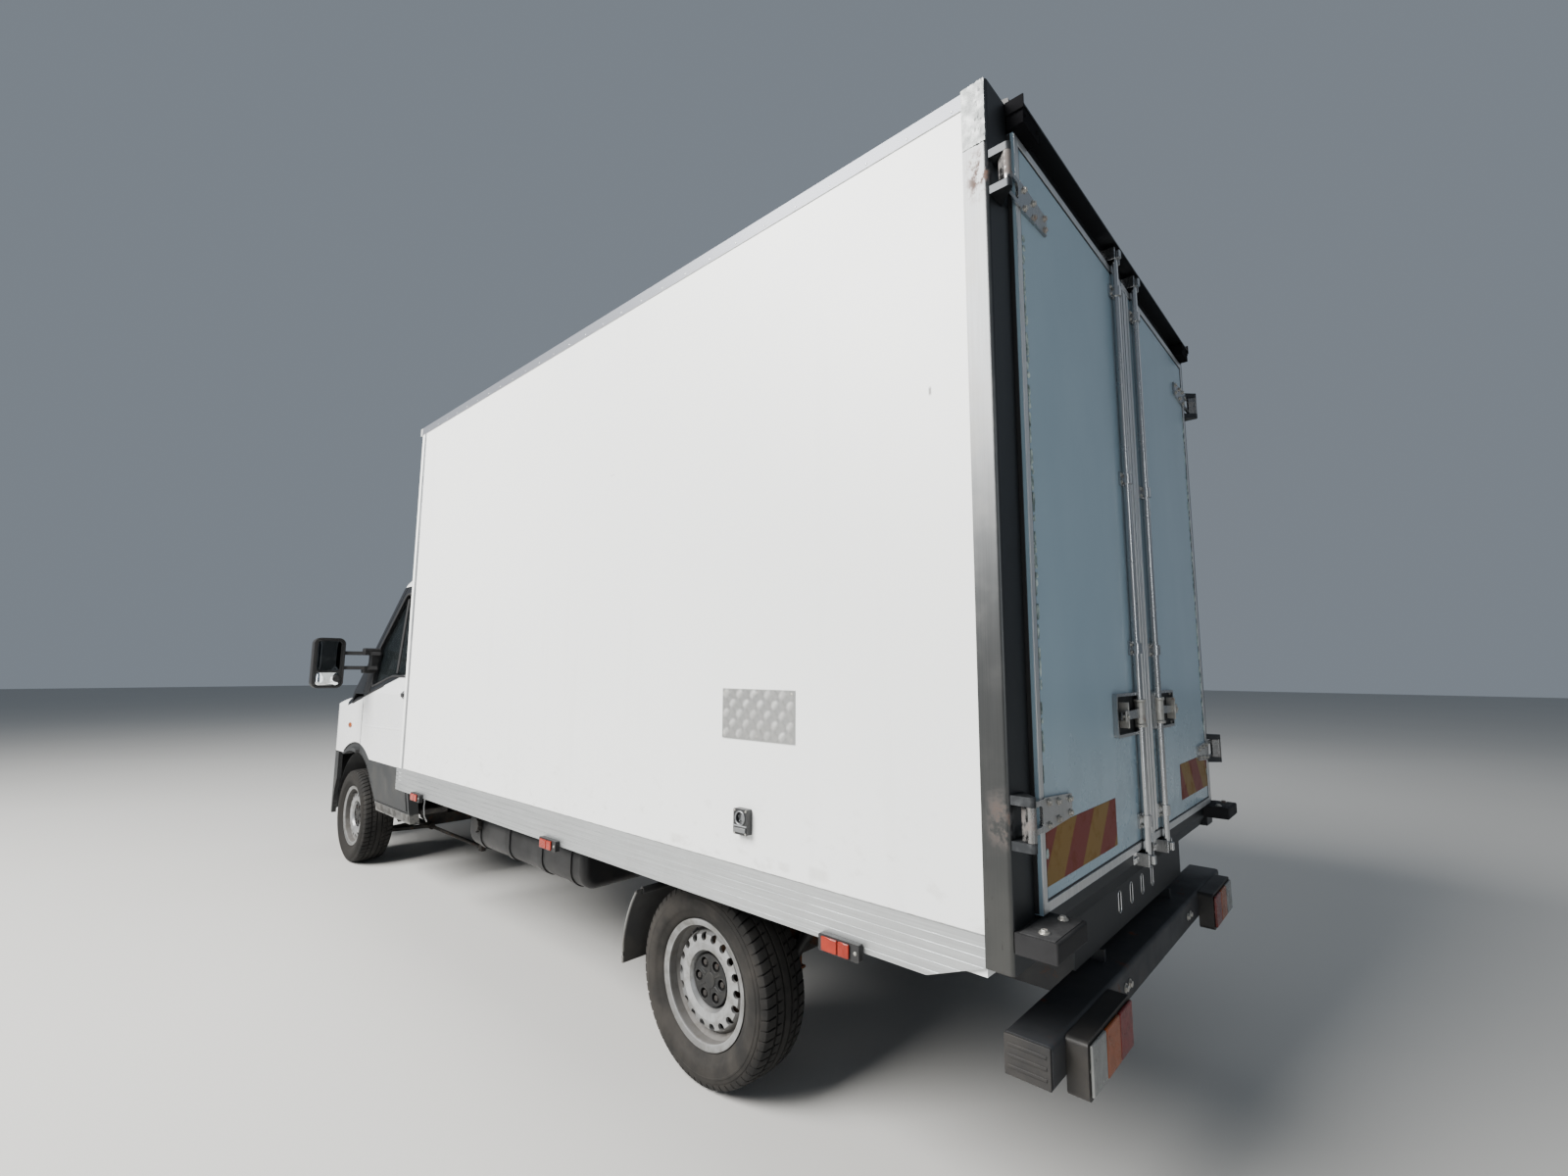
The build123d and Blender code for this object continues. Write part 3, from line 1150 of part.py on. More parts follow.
# Wings and cowl: sides of the nose with the arch's lip, joined by the scuttle under the windscreen
LIP_WIDE = 42
LIP_PROUD = 28
SCUTTLE_THICK = 40
with BuildPart() as scuttle:
    add(cell_outer.part)
    add(screen_cutter(SCUTTLE_THICK).part, mode=Mode.SUBTRACT)
    slab(-TRIM_HALF, TRIM_HALF, FRONT_Y, from_axle(DOOR_FRONT), SCREEN_BASE_Z - 45, PILLAR_FOOT_Z - SEAT,
         Mode.INTERSECT)
with BuildPart() as front_wings:
    add(nose_shell.part)
    # bonnet's opening
    with BuildSketch(Plane.XY.offset(600)):
        with BuildLine():
            Polyline(
                (-BONNET_HALF - PANEL_GAP, BONNET_REAR_Y + PANEL_GAP),
                (-BONNET_HALF + 40 - PANEL_GAP, FRONT_Y - 20),
                (BONNET_HALF - 40 + PANEL_GAP, FRONT_Y - 20),
                (BONNET_HALF + PANEL_GAP, BONNET_REAR_Y + PANEL_GAP),
                close=True,
            )
        make_face()
    extrude(amount=900, mode=Mode.SUBTRACT)
    # lamps and bumper take the front
    slab(-TRIM_HALF, TRIM_HALF, FRONT_Y - 10, from_axle(-700), 0, LAMP_TOP + PANEL_GAP, Mode.SUBTRACT)
    slab(-TRIM_HALF, TRIM_HALF, FRONT_Y - 10, from_axle(-300), 0, BUMPER_TOP + PANEL_GAP, Mode.SUBTRACT)
    # the firewall and the hinge posts take the space behind the cowl
    slab(-CAB_HALF + NOSE_SKIN, CAB_HALF - NOSE_SKIN, FIREWALL_Y - SEAT, from_axle(DOOR_FRONT), 0, 2000,
         Mode.SUBTRACT)
    add(scuttle.part)
    # bonnet hinge lugs and pins in the hollow of the cowl's edge
    cross_rod(0, BONNET_HALF + PANEL_GAP, BONNET_SWEEP, Mode.SUBTRACT)
    for hinge_x in BONNET_HINGE_XS:
        for way in (-1, 1):
            lug_x = hinge_x + way * (BONNET_KNUCKLE_HALF + LUG_GAP + BONNET_LUG_LONG / 2)
            cross_rod(lug_x, BONNET_LUG_LONG / 2, BONNET_KNUCKLE_RADIUS)
            slab(lug_x - BONNET_LUG_LONG / 2, lug_x + BONNET_LUG_LONG / 2, BONNET_HINGE_Y,
                 BONNET_HINGE_Y + BONNET_SWEEP + 4, BONNET_HINGE_Z - BONNET_KNUCKLE_RADIUS, BONNET_HINGE_Z)
        cross_rod(hinge_x, BONNET_KNUCKLE_HALF + LUG_GAP + BONNET_LUG_LONG / 2, BONNET_PIN_RADIUS)
    # rounded lip of the arch
    for side in (-1, 1):
        with BuildSketch(side_plane(side * (CAB_HALF - NOSE_SKIN))):
            with Locations((FRONT_AXLE_Y, HUB_Z)):
                Circle(ARCH_RADIUS + LIP_WIDE - 20)
        extrude(amount=side * (NOSE_SKIN + LIP_PROUD))
        slab(side * (CAB_HALF - NOSE_SKIN - 1), side * (CAB_HALF + 60), from_axle(-700), from_axle(700),
             -200, BUMPER_TOP + PANEL_GAP, Mode.SUBTRACT)
        slab(side * (CAB_HALF - NOSE_SKIN - 1), side * (CAB_HALF + 60), from_axle(DOOR_FRONT) - PANEL_GAP,
             from_axle(700), -200, 1500, Mode.SUBTRACT)
    with BuildSketch(side_plane(0)):
        with Locations((FRONT_AXLE_Y, HUB_Z)):
            Circle(ARCH_RADIUS)
    extrude(amount=CAB_HALF + 60, both=True, mode=Mode.SUBTRACT)
save(front_wings, "front_wings")

# Front bumper with the air intake and round tow cover
with BuildPart() as front_bumper:
    add(nose_shell.part)
    slab(-TRIM_HALF, TRIM_HALF, FRONT_Y - 10, from_axle(-ARCH_RADIUS + 60), NOSE_BOTTOM, BUMPER_TOP,
         Mode.INTERSECT)
    with BuildSketch(side_plane(-TRIM_HALF)):
        with Locations((FRONT_AXLE_Y, HUB_Z)):
            Circle(ARCH_RADIUS)
    extrude(amount=2 * TRIM_HALF, mode=Mode.SUBTRACT)
    # lower intake
    with BuildSketch(cross_plane(FRONT_Y)):
        with Locations((0, 470)):
            SlotOverall(1000, 150)
        with Locations((-760, 470), (760, 470)):
            RectangleRounded(150, 90, 30)
    extrude(amount=250, both=True, mode=Mode.SUBTRACT)
    # shelf under the grille
    slab(-420, 420, FRONT_Y + 28, FRONT_Y + 90, BUMPER_TOP - 20, BUMPER_TOP + PANEL_GAP - SEAT)
    # brackets to the frame's ends
    for side in (-1, 1):
        slab(side * (FRAME_HALF - 45), side * (FRAME_HALF - 5), FRONT_Y + 45, RAIL_FRONT_Y - SEAT, 560, 640)
save(front_bumper, "front_bumper")

# Grille: frame with four slats between the lamps
with BuildPart() as grille:
    add(nose_shell.part)
    slab(-LAMP_INNER_X + PANEL_GAP, LAMP_INNER_X - PANEL_GAP, FRONT_Y - 10, from_axle(-700),
         BUMPER_TOP + PANEL_GAP, GRILLE_TOP, Mode.INTERSECT)
    for slot in range(4):
        slot_z = BUMPER_TOP + 34 + slot * 36
        slab(-LAMP_INNER_X + 40, LAMP_INNER_X - 40, FRONT_Y - 10, from_axle(-700),
             slot_z, slot_z + 22, Mode.SUBTRACT)
save(grille, "grille")

# Headlamps: solid corner units following the nose, with tabs that meet the wings' front edges
with BuildPart() as lamp_tabs:
    add(nose_form(NOSE_SKIN / 2).part)
    add(nose_inner.part, mode=Mode.SUBTRACT)
    slab(LAMP_INNER_X, TRIM_HALF, from_axle(-700) - 25, from_axle(-700) - SEAT,
         BUMPER_TOP + 60, LAMP_TOP - 40, Mode.INTERSECT)
with BuildPart() as headlamps:
    add(nose_outer.part)
    slab(LAMP_INNER_X, TRIM_HALF, FRONT_Y - 10, from_axle(-700) - PANEL_GAP,
         BUMPER_TOP + PANEL_GAP, LAMP_TOP, Mode.INTERSECT)
    with BuildSketch(Plane.XY.offset(600)):
        with BuildLine():
            Polyline(
                (LAMP_INNER_X - 5, from_axle(-840)),
                (700, from_axle(-760)),
                (CAB_HALF - 110, from_axle(-600)),
                (300, from_axle(-600)),
                close=True,
            )
        make_face()
    extrude(amount=600, mode=Mode.SUBTRACT)
    with BuildSketch(Plane.XY.offset(BONNET_LIP_Z - PANEL_GAP)):
        with BuildLine():
            Polyline(
                (0, BONNET_REAR_Y),
                (0, FRONT_Y - 20),
                (BONNET_HALF - 40 + PANEL_GAP, FRONT_Y - 20),
                (BONNET_HALF + PANEL_GAP, BONNET_REAR_Y),
                close=True,
            )
        make_face()
    extrude(amount=300, mode=Mode.SUBTRACT)
    add(lamp_tabs.part)
    mirror(about=Plane.YZ)
save(headlamps, "headlamps")

# Cab doors: whole thickness, window cut, handle recess
GLASS_THICK = 5
DOOR_SKIN = 2.5
with BuildPart() as door_slab:
    with BuildSketch(side_plane(0)):
        make_face(door_outline(0))
    extrude(amount=CAB_HALF + 60)
    add(cell_outer.part, mode=Mode.INTERSECT)
    add(cell_inner.part, mode=Mode.SUBTRACT)
with BuildPart() as cab_door_left:
    add(door_slab.part)
    with BuildSketch(side_plane(0)):
        make_face(window_outline(0, DOOR_REAR - 60))
        fillet(vertices(), 30)
    extrude(amount=CAB_HALF + 60, mode=Mode.SUBTRACT)
    # recessed pull handle
    with BuildSketch(side_plane(CAB_HALF - 12)):
        with Locations((from_axle(DOOR_REAR - 130), 1290)):
            SlotOverall(190, 56)
    extrude(amount=30, mode=Mode.SUBTRACT)
    with BuildSketch(side_plane(CAB_HALF - 12)):
        with Locations((from_axle(DOOR_REAR - 130), 1290)):
            SlotOverall(170, 26)
    extrude(amount=14)
    # hinge pockets with the door's knuckles
    for hinge_z in DOOR_HINGE_HEIGHTS:
        pocket_half = DOOR_KNUCKLE_HALF + LUG_GAP + DOOR_LUG_TALL + 3
        slab(CAB_HALF - CAB_WALL - 5, CAB_HALF - DOOR_SKIN, DOOR_HINGE_Y - 10, DOOR_HINGE_Y + 13,
             hinge_z - pocket_half, hinge_z + pocket_half, Mode.SUBTRACT)
        with BuildSketch(Plane.XY.offset(hinge_z - DOOR_KNUCKLE_HALF)):
            with Locations((DOOR_HINGE_X, DOOR_HINGE_Y)):
                Circle(DOOR_KNUCKLE_RADIUS)
            with Locations((DOOR_HINGE_X, DOOR_HINGE_Y + 7)):
                Rectangle(2 * DOOR_KNUCKLE_RADIUS, 14)
            with Locations((DOOR_HINGE_X, DOOR_HINGE_Y)):
                Circle(DOOR_PIN_RADIUS + RUNNING_CLEARANCE, mode=Mode.SUBTRACT)
        extrude(amount=2 * DOOR_KNUCKLE_HALF)
save(cab_door_left, "cab_door_left")
with BuildPart() as cab_door_right:
    mirror(cab_door_left.part, about=Plane.YZ)
save(cab_door_right, "cab_door_right")

# Door glass lies in the middle of the opening, in the plane of the leaning side
with BuildPart() as door_glass_left:
    with BuildSketch(side_plane(0)):
        make_face(window_outline(0.4, DOOR_REAR - 60))
        fillet(vertices(), 30)
    extrude(amount=CAB_HALF + 60)
    add(cell_form(22, 30, SCREEN_BASE, CAB_BACK_BEHIND_AXLE - 20).part, mode=Mode.INTERSECT)
    add(cell_form(22 + GLASS_THICK, 60, SCREEN_BASE, CAB_BACK_BEHIND_AXLE).part, mode=Mode.SUBTRACT)
save(door_glass_left, "door_glass_left")
with BuildPart() as door_glass_right:
    mirror(door_glass_left.part, about=Plane.YZ)
save(door_glass_right, "door_glass_right")

# Door mirrors: tall head on two arms
MIRROR_INNER_X = 1140
MIRROR_OUTER_X = 1340
MIRROR_BOTTOM = 1325
MIRROR_TOP = 1695
MIRROR_DEEP = 95
ARM_HEIGHTS = (1475, 1585)
MIRROR_HEAD_Y = from_axle(165)
with BuildPart() as mirror_left:
    with BuildSketch(cross_plane(MIRROR_HEAD_Y)):
        with Locations(((MIRROR_INNER_X + MIRROR_OUTER_X) / 2, (MIRROR_BOTTOM + MIRROR_TOP) / 2)):
            RectangleRounded(MIRROR_OUTER_X - MIRROR_INNER_X, MIRROR_TOP - MIRROR_BOTTOM, 45)
    extrude(amount=MIRROR_DEEP / 2, both=True)
    fillet(mirror_left.faces().sort_by(Axis.Y)[0].edges(), 35)
    # shallow hood round the glass, which looks to the rear
    with BuildSketch(cross_plane(MIRROR_HEAD_Y + MIRROR_DEEP / 2)):
        with Locations(((MIRROR_INNER_X + MIRROR_OUTER_X) / 2, (MIRROR_BOTTOM + MIRROR_TOP) / 2)):
            RectangleRounded(MIRROR_OUTER_X - MIRROR_INNER_X - 20, MIRROR_TOP - MIRROR_BOTTOM - 20, 36)
    extrude(amount=10, mode=Mode.SUBTRACT)
    for arm_z in ARM_HEIGHTS:
        door_x = CAB_HALF - (arm_z - BELT_Z) * (CAB_HALF - CAB_ROOF_HALF) / (DOOR_HEAD_Z - 10 - BELT_Z)
        with BuildSketch(Plane.XY.offset(arm_z - 14)):
            with BuildLine():
                Polyline(
                    (door_x + SEAT + 3, from_axle(DOOR_FRONT + 190)),
                    (door_x + SEAT + 3, from_axle(DOOR_FRONT + 100)),
                    (MIRROR_INNER_X + 30, MIRROR_HEAD_Y - 22),
                    (MIRROR_INNER_X + 30, MIRROR_HEAD_Y + 22),
                    close=True,
                )
            make_face()
        extrude(amount=28)
    # foot plate on the door's leaning corner
    with BuildSketch(side_plane(CAB_HALF - 60)):
        with Locations((from_axle(DOOR_FRONT + 130), (ARM_HEIGHTS[0] + ARM_HEIGHTS[1]) / 2)):
            RectangleRounded(74, 190, 20)
    extrude(amount=120)
    with BuildSketch(cross_plane(FRONT_AXLE_Y)):
        with BuildLine():
            low_z = BELT_Z + 20
            high_z = DOOR_HEAD_Z - 100
            lean = (CAB_HALF - CAB_ROOF_HALF) / (DOOR_HEAD_Z - 10 - BELT_Z)
            skin_low = CAB_HALF - (low_z - BELT_Z) * lean + SEAT
            skin_high = CAB_HALF - (high_z - BELT_Z) * lean + SEAT
            Polyline(
                (skin_low, low_z),
                (skin_high, high_z),
                (MIRROR_OUTER_X + 10, high_z),
                (MIRROR_OUTER_X + 10, low_z),
                close=True,
            )
        make_face()
    extrude(amount=800, both=True, mode=Mode.INTERSECT)
    # the foot plate is thin: only the arms reach past it
    slab(CAB_HALF + 12, MIRROR_INNER_X - 5, MIRROR_HEAD_Y - 200, MIRROR_HEAD_Y + 200,
         ARM_HEIGHTS[0] + 14, ARM_HEIGHTS[1] - 14, Mode.SUBTRACT)
save(mirror_left, "mirror_left")
with BuildPart() as mirror_right:
    mirror(mirror_left.part, about=Plane.YZ)
save(mirror_right, "mirror_right")

# Dashboard with the steering column
COLUMN_X = 380
WHEEL_CENTRE_Y = from_axle(330)
WHEEL_CENTRE_Z = 1235
COLUMN_TILT = 38               # degrees between the column and the horizontal
DASH_HALF = CAB_HALF - CAB_WALL - 30
COLUMN_BACK = 60
SHAFT_DEEP = 35                # steering shaft inside the wheel's hub
STEER_SHAFT_RADIUS = 12
DASH_TOP = SCREEN_BASE_Z + 15
DASH_BOTTOM = COVER_Z + PLATE + SEAT
with BuildPart() as dashboard:
    with BuildSketch(side_plane(0)):
        with BuildLine():
            Polyline(
                (FIREWALL_Y + PLATE + SEAT, DASH_TOP - 10),
                (FIREWALL_Y + 120, DASH_TOP),
                (from_axle(170), DASH_TOP - 25),
                (from_axle(210), DASH_TOP - 90),
                (from_axle(150), DASH_BOTTOM),
                (FIREWALL_Y + PLATE + SEAT, DASH_BOTTOM),
                close=True,
            )
        make_face()
    extrude(amount=DASH_HALF, both=True)
    fillet(dashboard.edges().filter_by(Axis.X).group_by(Axis.Y)[-1], 25)
    column = Plane(origin=(COLUMN_X, WHEEL_CENTRE_Y, WHEEL_CENTRE_Z), x_dir=(1, 0, 0),
                   z_dir=(0, -cos(radians(COLUMN_TILT)), -sin(radians(COLUMN_TILT))))
    with BuildSketch(column.offset(COLUMN_BACK)):
        Circle(38)
    extrude(amount=130)
    with BuildSketch(column.offset(COLUMN_BACK - SHAFT_DEEP)):
        Circle(STEER_SHAFT_RADIUS)
    extrude(amount=SHAFT_DEEP + 10)
save(dashboard, "dashboard")

# Steering wheel: rim, three spokes, hub
WHEEL_RIM_RADIUS = 195
with BuildPart() as steering_wheel:
    with BuildSketch(column.offset(-6)):
        Circle(60)
        Rectangle(2 * WHEEL_RIM_RADIUS, 30)
        with Locations((0, -WHEEL_RIM_RADIUS / 2)):
            Rectangle(34, WHEEL_RIM_RADIUS)
    extrude(amount=12)
    with BuildSketch(column):
        Circle(48)
    extrude(amount=COLUMN_BACK - 5)
    with Locations(column):
        Torus(WHEEL_RIM_RADIUS, 14)
    with BuildSketch(column.offset(COLUMN_BACK - SHAFT_DEEP - 1)):
        Circle(STEER_SHAFT_RADIUS + RUNNING_CLEARANCE)
    extrude(amount=SHAFT_DEEP + 2, mode=Mode.SUBTRACT)
save(steering_wheel, "steering_wheel")

# Seats: driver's seat and double bench, each cushion and back in one padded shell
SEAT_FRONT_Y = from_axle(560)
SEAT_BACK_Y = BACK_WALL_Y - 25
SEAT_BASE_Z = COVER_Z + PLATE + SEAT
SEATS = (("driver", 395, 480), ("bench", -270, 740))
with BuildPart() as seats:
    for _, seat_x, seat_wide in SEATS:
        with BuildSketch(side_plane(seat_x)):
            with BuildLine():
                Polyline(
                    (SEAT_FRONT_Y, SEAT_BASE_Z),
                    (SEAT_FRONT_Y, SEAT_BASE_Z + 130),
                    (SEAT_BACK_Y - 190, SEAT_BASE_Z + 105),
                    (SEAT_BACK_Y - 95, SEAT_BASE_Z + 690),
                    (SEAT_BACK_Y - 5, SEAT_BASE_Z + 690),
                    (SEAT_BACK_Y - 40, SEAT_BASE_Z),
                    close=True,
                )
            make_face()
            fillet(vertices(), 28)
        extrude(amount=seat_wide / 2, both=True)
save(seats, "seats")

# Box floor: sandwich slab on cross bearers and two runners over the frame
SLAB_BOTTOM = FLOOR_TOP - FLOOR_THICK
BEARER_PITCH = 480
BEARER_LONG = 60
RUNNER_WIDE = 60
INNER_HALF = BOX_HALF - SIDE_THICK
BEARER_HALF = INNER_HALF - 20
FLOOR_FRONT_Y = BOX_FRONT_Y + FRONT_THICK + SEAT
FLOOR_REAR_Y = POST_FRONT_Y - SEAT
BEARER_COUNT = int((FLOOR_REAR_Y - FLOOR_FRONT_Y - 2 * BEARER_LONG) // BEARER_PITCH) + 1
with BuildPart() as box_floor:
    slab(-INNER_HALF + SEAT, INNER_HALF - SEAT, FLOOR_FRONT_Y, FLOOR_REAR_Y, SLAB_BOTTOM, FLOOR_TOP)
    for side in (-1, 1):
        slab(side * (FRAME_HALF - RUNNER_WIDE / 2) - RUNNER_WIDE / 2,
             side * (FRAME_HALF - RUNNER_WIDE / 2) + RUNNER_WIDE / 2,
             FLOOR_FRONT_Y, FLOOR_REAR_Y, RAIL_TOP + SEAT, SLAB_BOTTOM)
    for index in range(BEARER_COUNT):
        bearer_y = FLOOR_FRONT_Y + BEARER_LONG + index * BEARER_PITCH
        slab(-BEARER_HALF, BEARER_HALF, bearer_y, bearer_y + BEARER_LONG, RAIL_TOP + 45, SLAB_BOTTOM)
save(box_floor, "box_floor")

# Box walls and roof, each one sandwich panel
ROOF_BOTTOM = BOX_TOP - ROOF_THICK
with BuildPart() as box_sides:
    slab(INNER_HALF, BOX_HALF, BOX_FRONT_Y + FRONT_THICK + SEAT, POST_FRONT_Y - SEAT,
         RAIL_STRIP_TOP, ROOF_EDGE_BOTTOM - SEAT)
    # rebate that stands inside the side rail
    slab(INNER_HALF, BOX_HALF - 8, BOX_FRONT_Y + FRONT_THICK + SEAT, POST_FRONT_Y - SEAT,
         SLAB_BOTTOM, RAIL_STRIP_TOP)
    mirror(about=Plane.YZ)
save(box_sides, "box_sides")

with BuildPart() as box_front:
    with BuildSketch(Plane.XY.offset(SLAB_BOTTOM)):
        with BuildLine():
            radius = 30
            Polyline(
                (-BOX_HALF, BOX_FRONT_Y + FRONT_THICK),
                (-BOX_HALF, BOX_FRONT_Y + radius),
                (-BOX_HALF + radius, BOX_FRONT_Y),
                (BOX_HALF - radius, BOX_FRONT_Y),
                (BOX_HALF, BOX_FRONT_Y + radius),
                (BOX_HALF, BOX_FRONT_Y + FRONT_THICK),
                close=True,
            )
        make_face()
    extrude(amount=ROOF_EDGE_BOTTOM - SEAT - SLAB_BOTTOM)
    fillet(box_front.edges().filter_by(Axis.Z).group_by(Axis.Y)[1], 25)
save(box_front, "box_front")

with BuildPart() as box_roof:
    with BuildSketch(cross_plane(BOX_FRONT_Y)):
        with BuildLine():
            Polyline(
                (-INNER_HALF + SEAT, ROOF_BOTTOM),
                (INNER_HALF - SEAT, ROOF_BOTTOM),
                (INNER_HALF - SEAT, ROOF_EDGE_BOTTOM),
                (BOX_HALF + 2, ROOF_EDGE_BOTTOM),
                (BOX_HALF + 2, BOX_TOP - 8),
                (BOX_HALF - 6, BOX_TOP),
                (-BOX_HALF + 6, BOX_TOP),
                (-BOX_HALF - 2, BOX_TOP - 8),
                (-BOX_HALF - 2, ROOF_EDGE_BOTTOM),
                (-INNER_HALF + SEAT, ROOF_EDGE_BOTTOM),
                close=True,
            )
        make_face()
    extrude(amount=-(POST_FRONT_Y - SEAT - BOX_FRONT_Y))
    slab(-BOX_HALF - 5, BOX_HALF + 5, BOX_FRONT_Y - 5, BOX_FRONT_Y + FRONT_THICK + SEAT,
         ROOF_BOTTOM - 5, ROOF_EDGE_BOTTOM, Mode.SUBTRACT)
save(box_roof, "box_roof")

# Ribbed aluminium side rails; the lower edge rises at the rear
RAIL_STRIP_OUT = BOX_HALF + 2
RIB_COUNT = 5
BEVEL_LONG = 235 - POST_DEPTH
with BuildPart() as side_rails:
    with BuildSketch(cross_plane(BOX_FRONT_Y)):
        with BuildLine():
            Polyline(
                (INNER_HALF, SLAB_BOTTOM - SEAT),
                (BOX_HALF - 8 + SEAT, SLAB_BOTTOM - SEAT),
                (BOX_HALF - 8 + SEAT, RAIL_STRIP_TOP - SEAT),
                (RAIL_STRIP_OUT, RAIL_STRIP_TOP - SEAT),
                (RAIL_STRIP_OUT, RAIL_STRIP_BOTTOM),
                (INNER_HALF, RAIL_STRIP_BOTTOM),
                close=True,
            )
        make_face()
        for rib in range(RIB_COUNT):
            rib_z = RAIL_STRIP_BOTTOM + 14 + rib * (RAIL_STRIP_TOP - RAIL_STRIP_BOTTOM - 18) / RIB_COUNT
            with Locations((RAIL_STRIP_OUT, rib_z)):
                Rectangle(4, 3, mode=Mode.SUBTRACT)
    extrude(amount=-(POST_FRONT_Y - SEAT - BOX_FRONT_Y))
    with BuildSketch(side_plane(INNER_HALF - 5)):
        with BuildLine():
            Polyline(
                (POST_FRONT_Y + 1, RAIL_STRIP_BOTTOM - 5),
                (POST_FRONT_Y + 1, POST_BOTTOM),
                (POST_FRONT_Y - BEVEL_LONG, RAIL_STRIP_BOTTOM - 1),
                (POST_FRONT_Y - BEVEL_LONG, RAIL_STRIP_BOTTOM - 5),
                close=True,
            )
        make_face()
    extrude(amount=100, mode=Mode.SUBTRACT)
    slab(INNER_HALF - 5, BOX_HALF + 0.2, BOX_FRONT_Y - 1, BOX_FRONT_Y + FRONT_THICK + 2 * SEAT,
         SLAB_BOTTOM - 2 * SEAT, RAIL_STRIP_TOP + 5, Mode.SUBTRACT)
    mirror(about=Plane.YZ)
save(side_rails, "side_rails")

# Rear frame of stainless steel: corner posts with hinge lugs, header, sill
HINGE_HEIGHTS = (DOOR_BOTTOM + 236, DOOR_TOP - 185)
HINGE_KNUCKLE = 80
LUG_HEIGHT = 22
with BuildPart() as rear_posts:
    with BuildSketch(Plane.XY.offset(POST_BOTTOM)):
        with BuildLine():
            Polyline(
                (POST_INNER_X, BOX_REAR_Y),
                (BOX_HALF + 3, BOX_REAR_Y),
                (BOX_HALF + 3, POST_FRONT_Y),
                (INNER_HALF, POST_FRONT_Y),
                (INNER_HALF, DOOR_INNER_Y),
                (POST_INNER_X, DOOR_INNER_Y),
                close=True,
            )
        make_face()
    extrude(amount=BOX_TOP - POST_BOTTOM)
    fillet(rear_posts.edges().filter_by(Axis.Z).group_by(Axis.Y)[-1].sort_by(Axis.X)[-1], 12)
    for hinge_z in HINGE_HEIGHTS:
        for way in (-1, 1):
            lug_z = hinge_z + way * (HINGE_KNUCKLE / 2 + LUG_GAP + LUG_HEIGHT / 2)
            with BuildSketch(Plane.XY.offset(lug_z - LUG_HEIGHT / 2)):
                with Locations((PIN_X, PIN_Y)):
                    Circle(KNUCKLE_RADIUS)
                with BuildLine():
                    Polyline(
                        (PIN_X - 60, BOX_REAR_Y - 1),
                        (PIN_X + KNUCKLE_RADIUS, BOX_REAR_Y - 1),
                        (PIN_X + KNUCKLE_RADIUS, PIN_Y),
                        (PIN_X - KNUCKLE_RADIUS + 2, PIN_Y + 5),
                        close=True,
                    )
                make_face()
            extrude(amount=LUG_HEIGHT)
        with BuildSketch(Plane.XY.offset(hinge_z - HINGE_KNUCKLE / 2 - LUG_GAP - LUG_HEIGHT / 2)):
            with Locations((PIN_X, PIN_Y)):
                Circle(PIN_RADIUS)
        extrude(amount=HINGE_KNUCKLE + 2 * LUG_GAP + LUG_HEIGHT)
    mirror(about=Plane.YZ)
save(rear_posts, "rear_posts")

# Lock rods: two on the doors, with cams that stand between cheeks on the header and the sill
ROD_X = 122
ROD_RADIUS = 13.5
ROD_Y = BOX_REAR_Y + 33
CAM_HALF = 12
CHEEK_CLEAR = 7
CHEEK_THICK = 8
CHEEK_REACH = 44
HEADER_BOTTOM = DOOR_TOP + DOOR_GAP
SILL_FACE_TOP = DOOR_BOTTOM - DOOR_GAP
DRIP_Z = BOX_TOP - 16
DRIP_REACH = 52


def keeper_cheeks(low_z, high_z):
    """Cheeks of the lock keepers on both sides of each rod."""
    for rod_x in (-ROD_X, ROD_X):
        for way in (-1, 1):
            cheek_x = rod_x + way * (ROD_RADIUS + CHEEK_CLEAR + CHEEK_THICK / 2)
            slab(cheek_x - CHEEK_THICK / 2, cheek_x + CHEEK_THICK / 2, BOX_REAR_Y - 2,
                 BOX_REAR_Y + CHEEK_REACH, low_z, high_z)


with BuildPart() as rear_header:
    with BuildSketch(side_plane(-POST_INNER_X + SEAT)):
        with BuildLine():
            Polyline(
                (POST_FRONT_Y, HEADER_BOTTOM),
                (BOX_REAR_Y, HEADER_BOTTOM),
                (BOX_REAR_Y, DRIP_Z - 6),
                (BOX_REAR_Y + DRIP_REACH, DRIP_Z - 10),
                (BOX_REAR_Y + DRIP_REACH, DRIP_Z - 4),
                (BOX_REAR_Y + 8, BOX_TOP),
                (POST_FRONT_Y, BOX_TOP),
                close=True,
            )
        make_face()
    extrude(amount=2 * (POST_INNER_X - SEAT))
    keeper_cheeks(HEADER_BOTTOM + 4, HEADER_BOTTOM + 46)
save(rear_header, "rear_header")

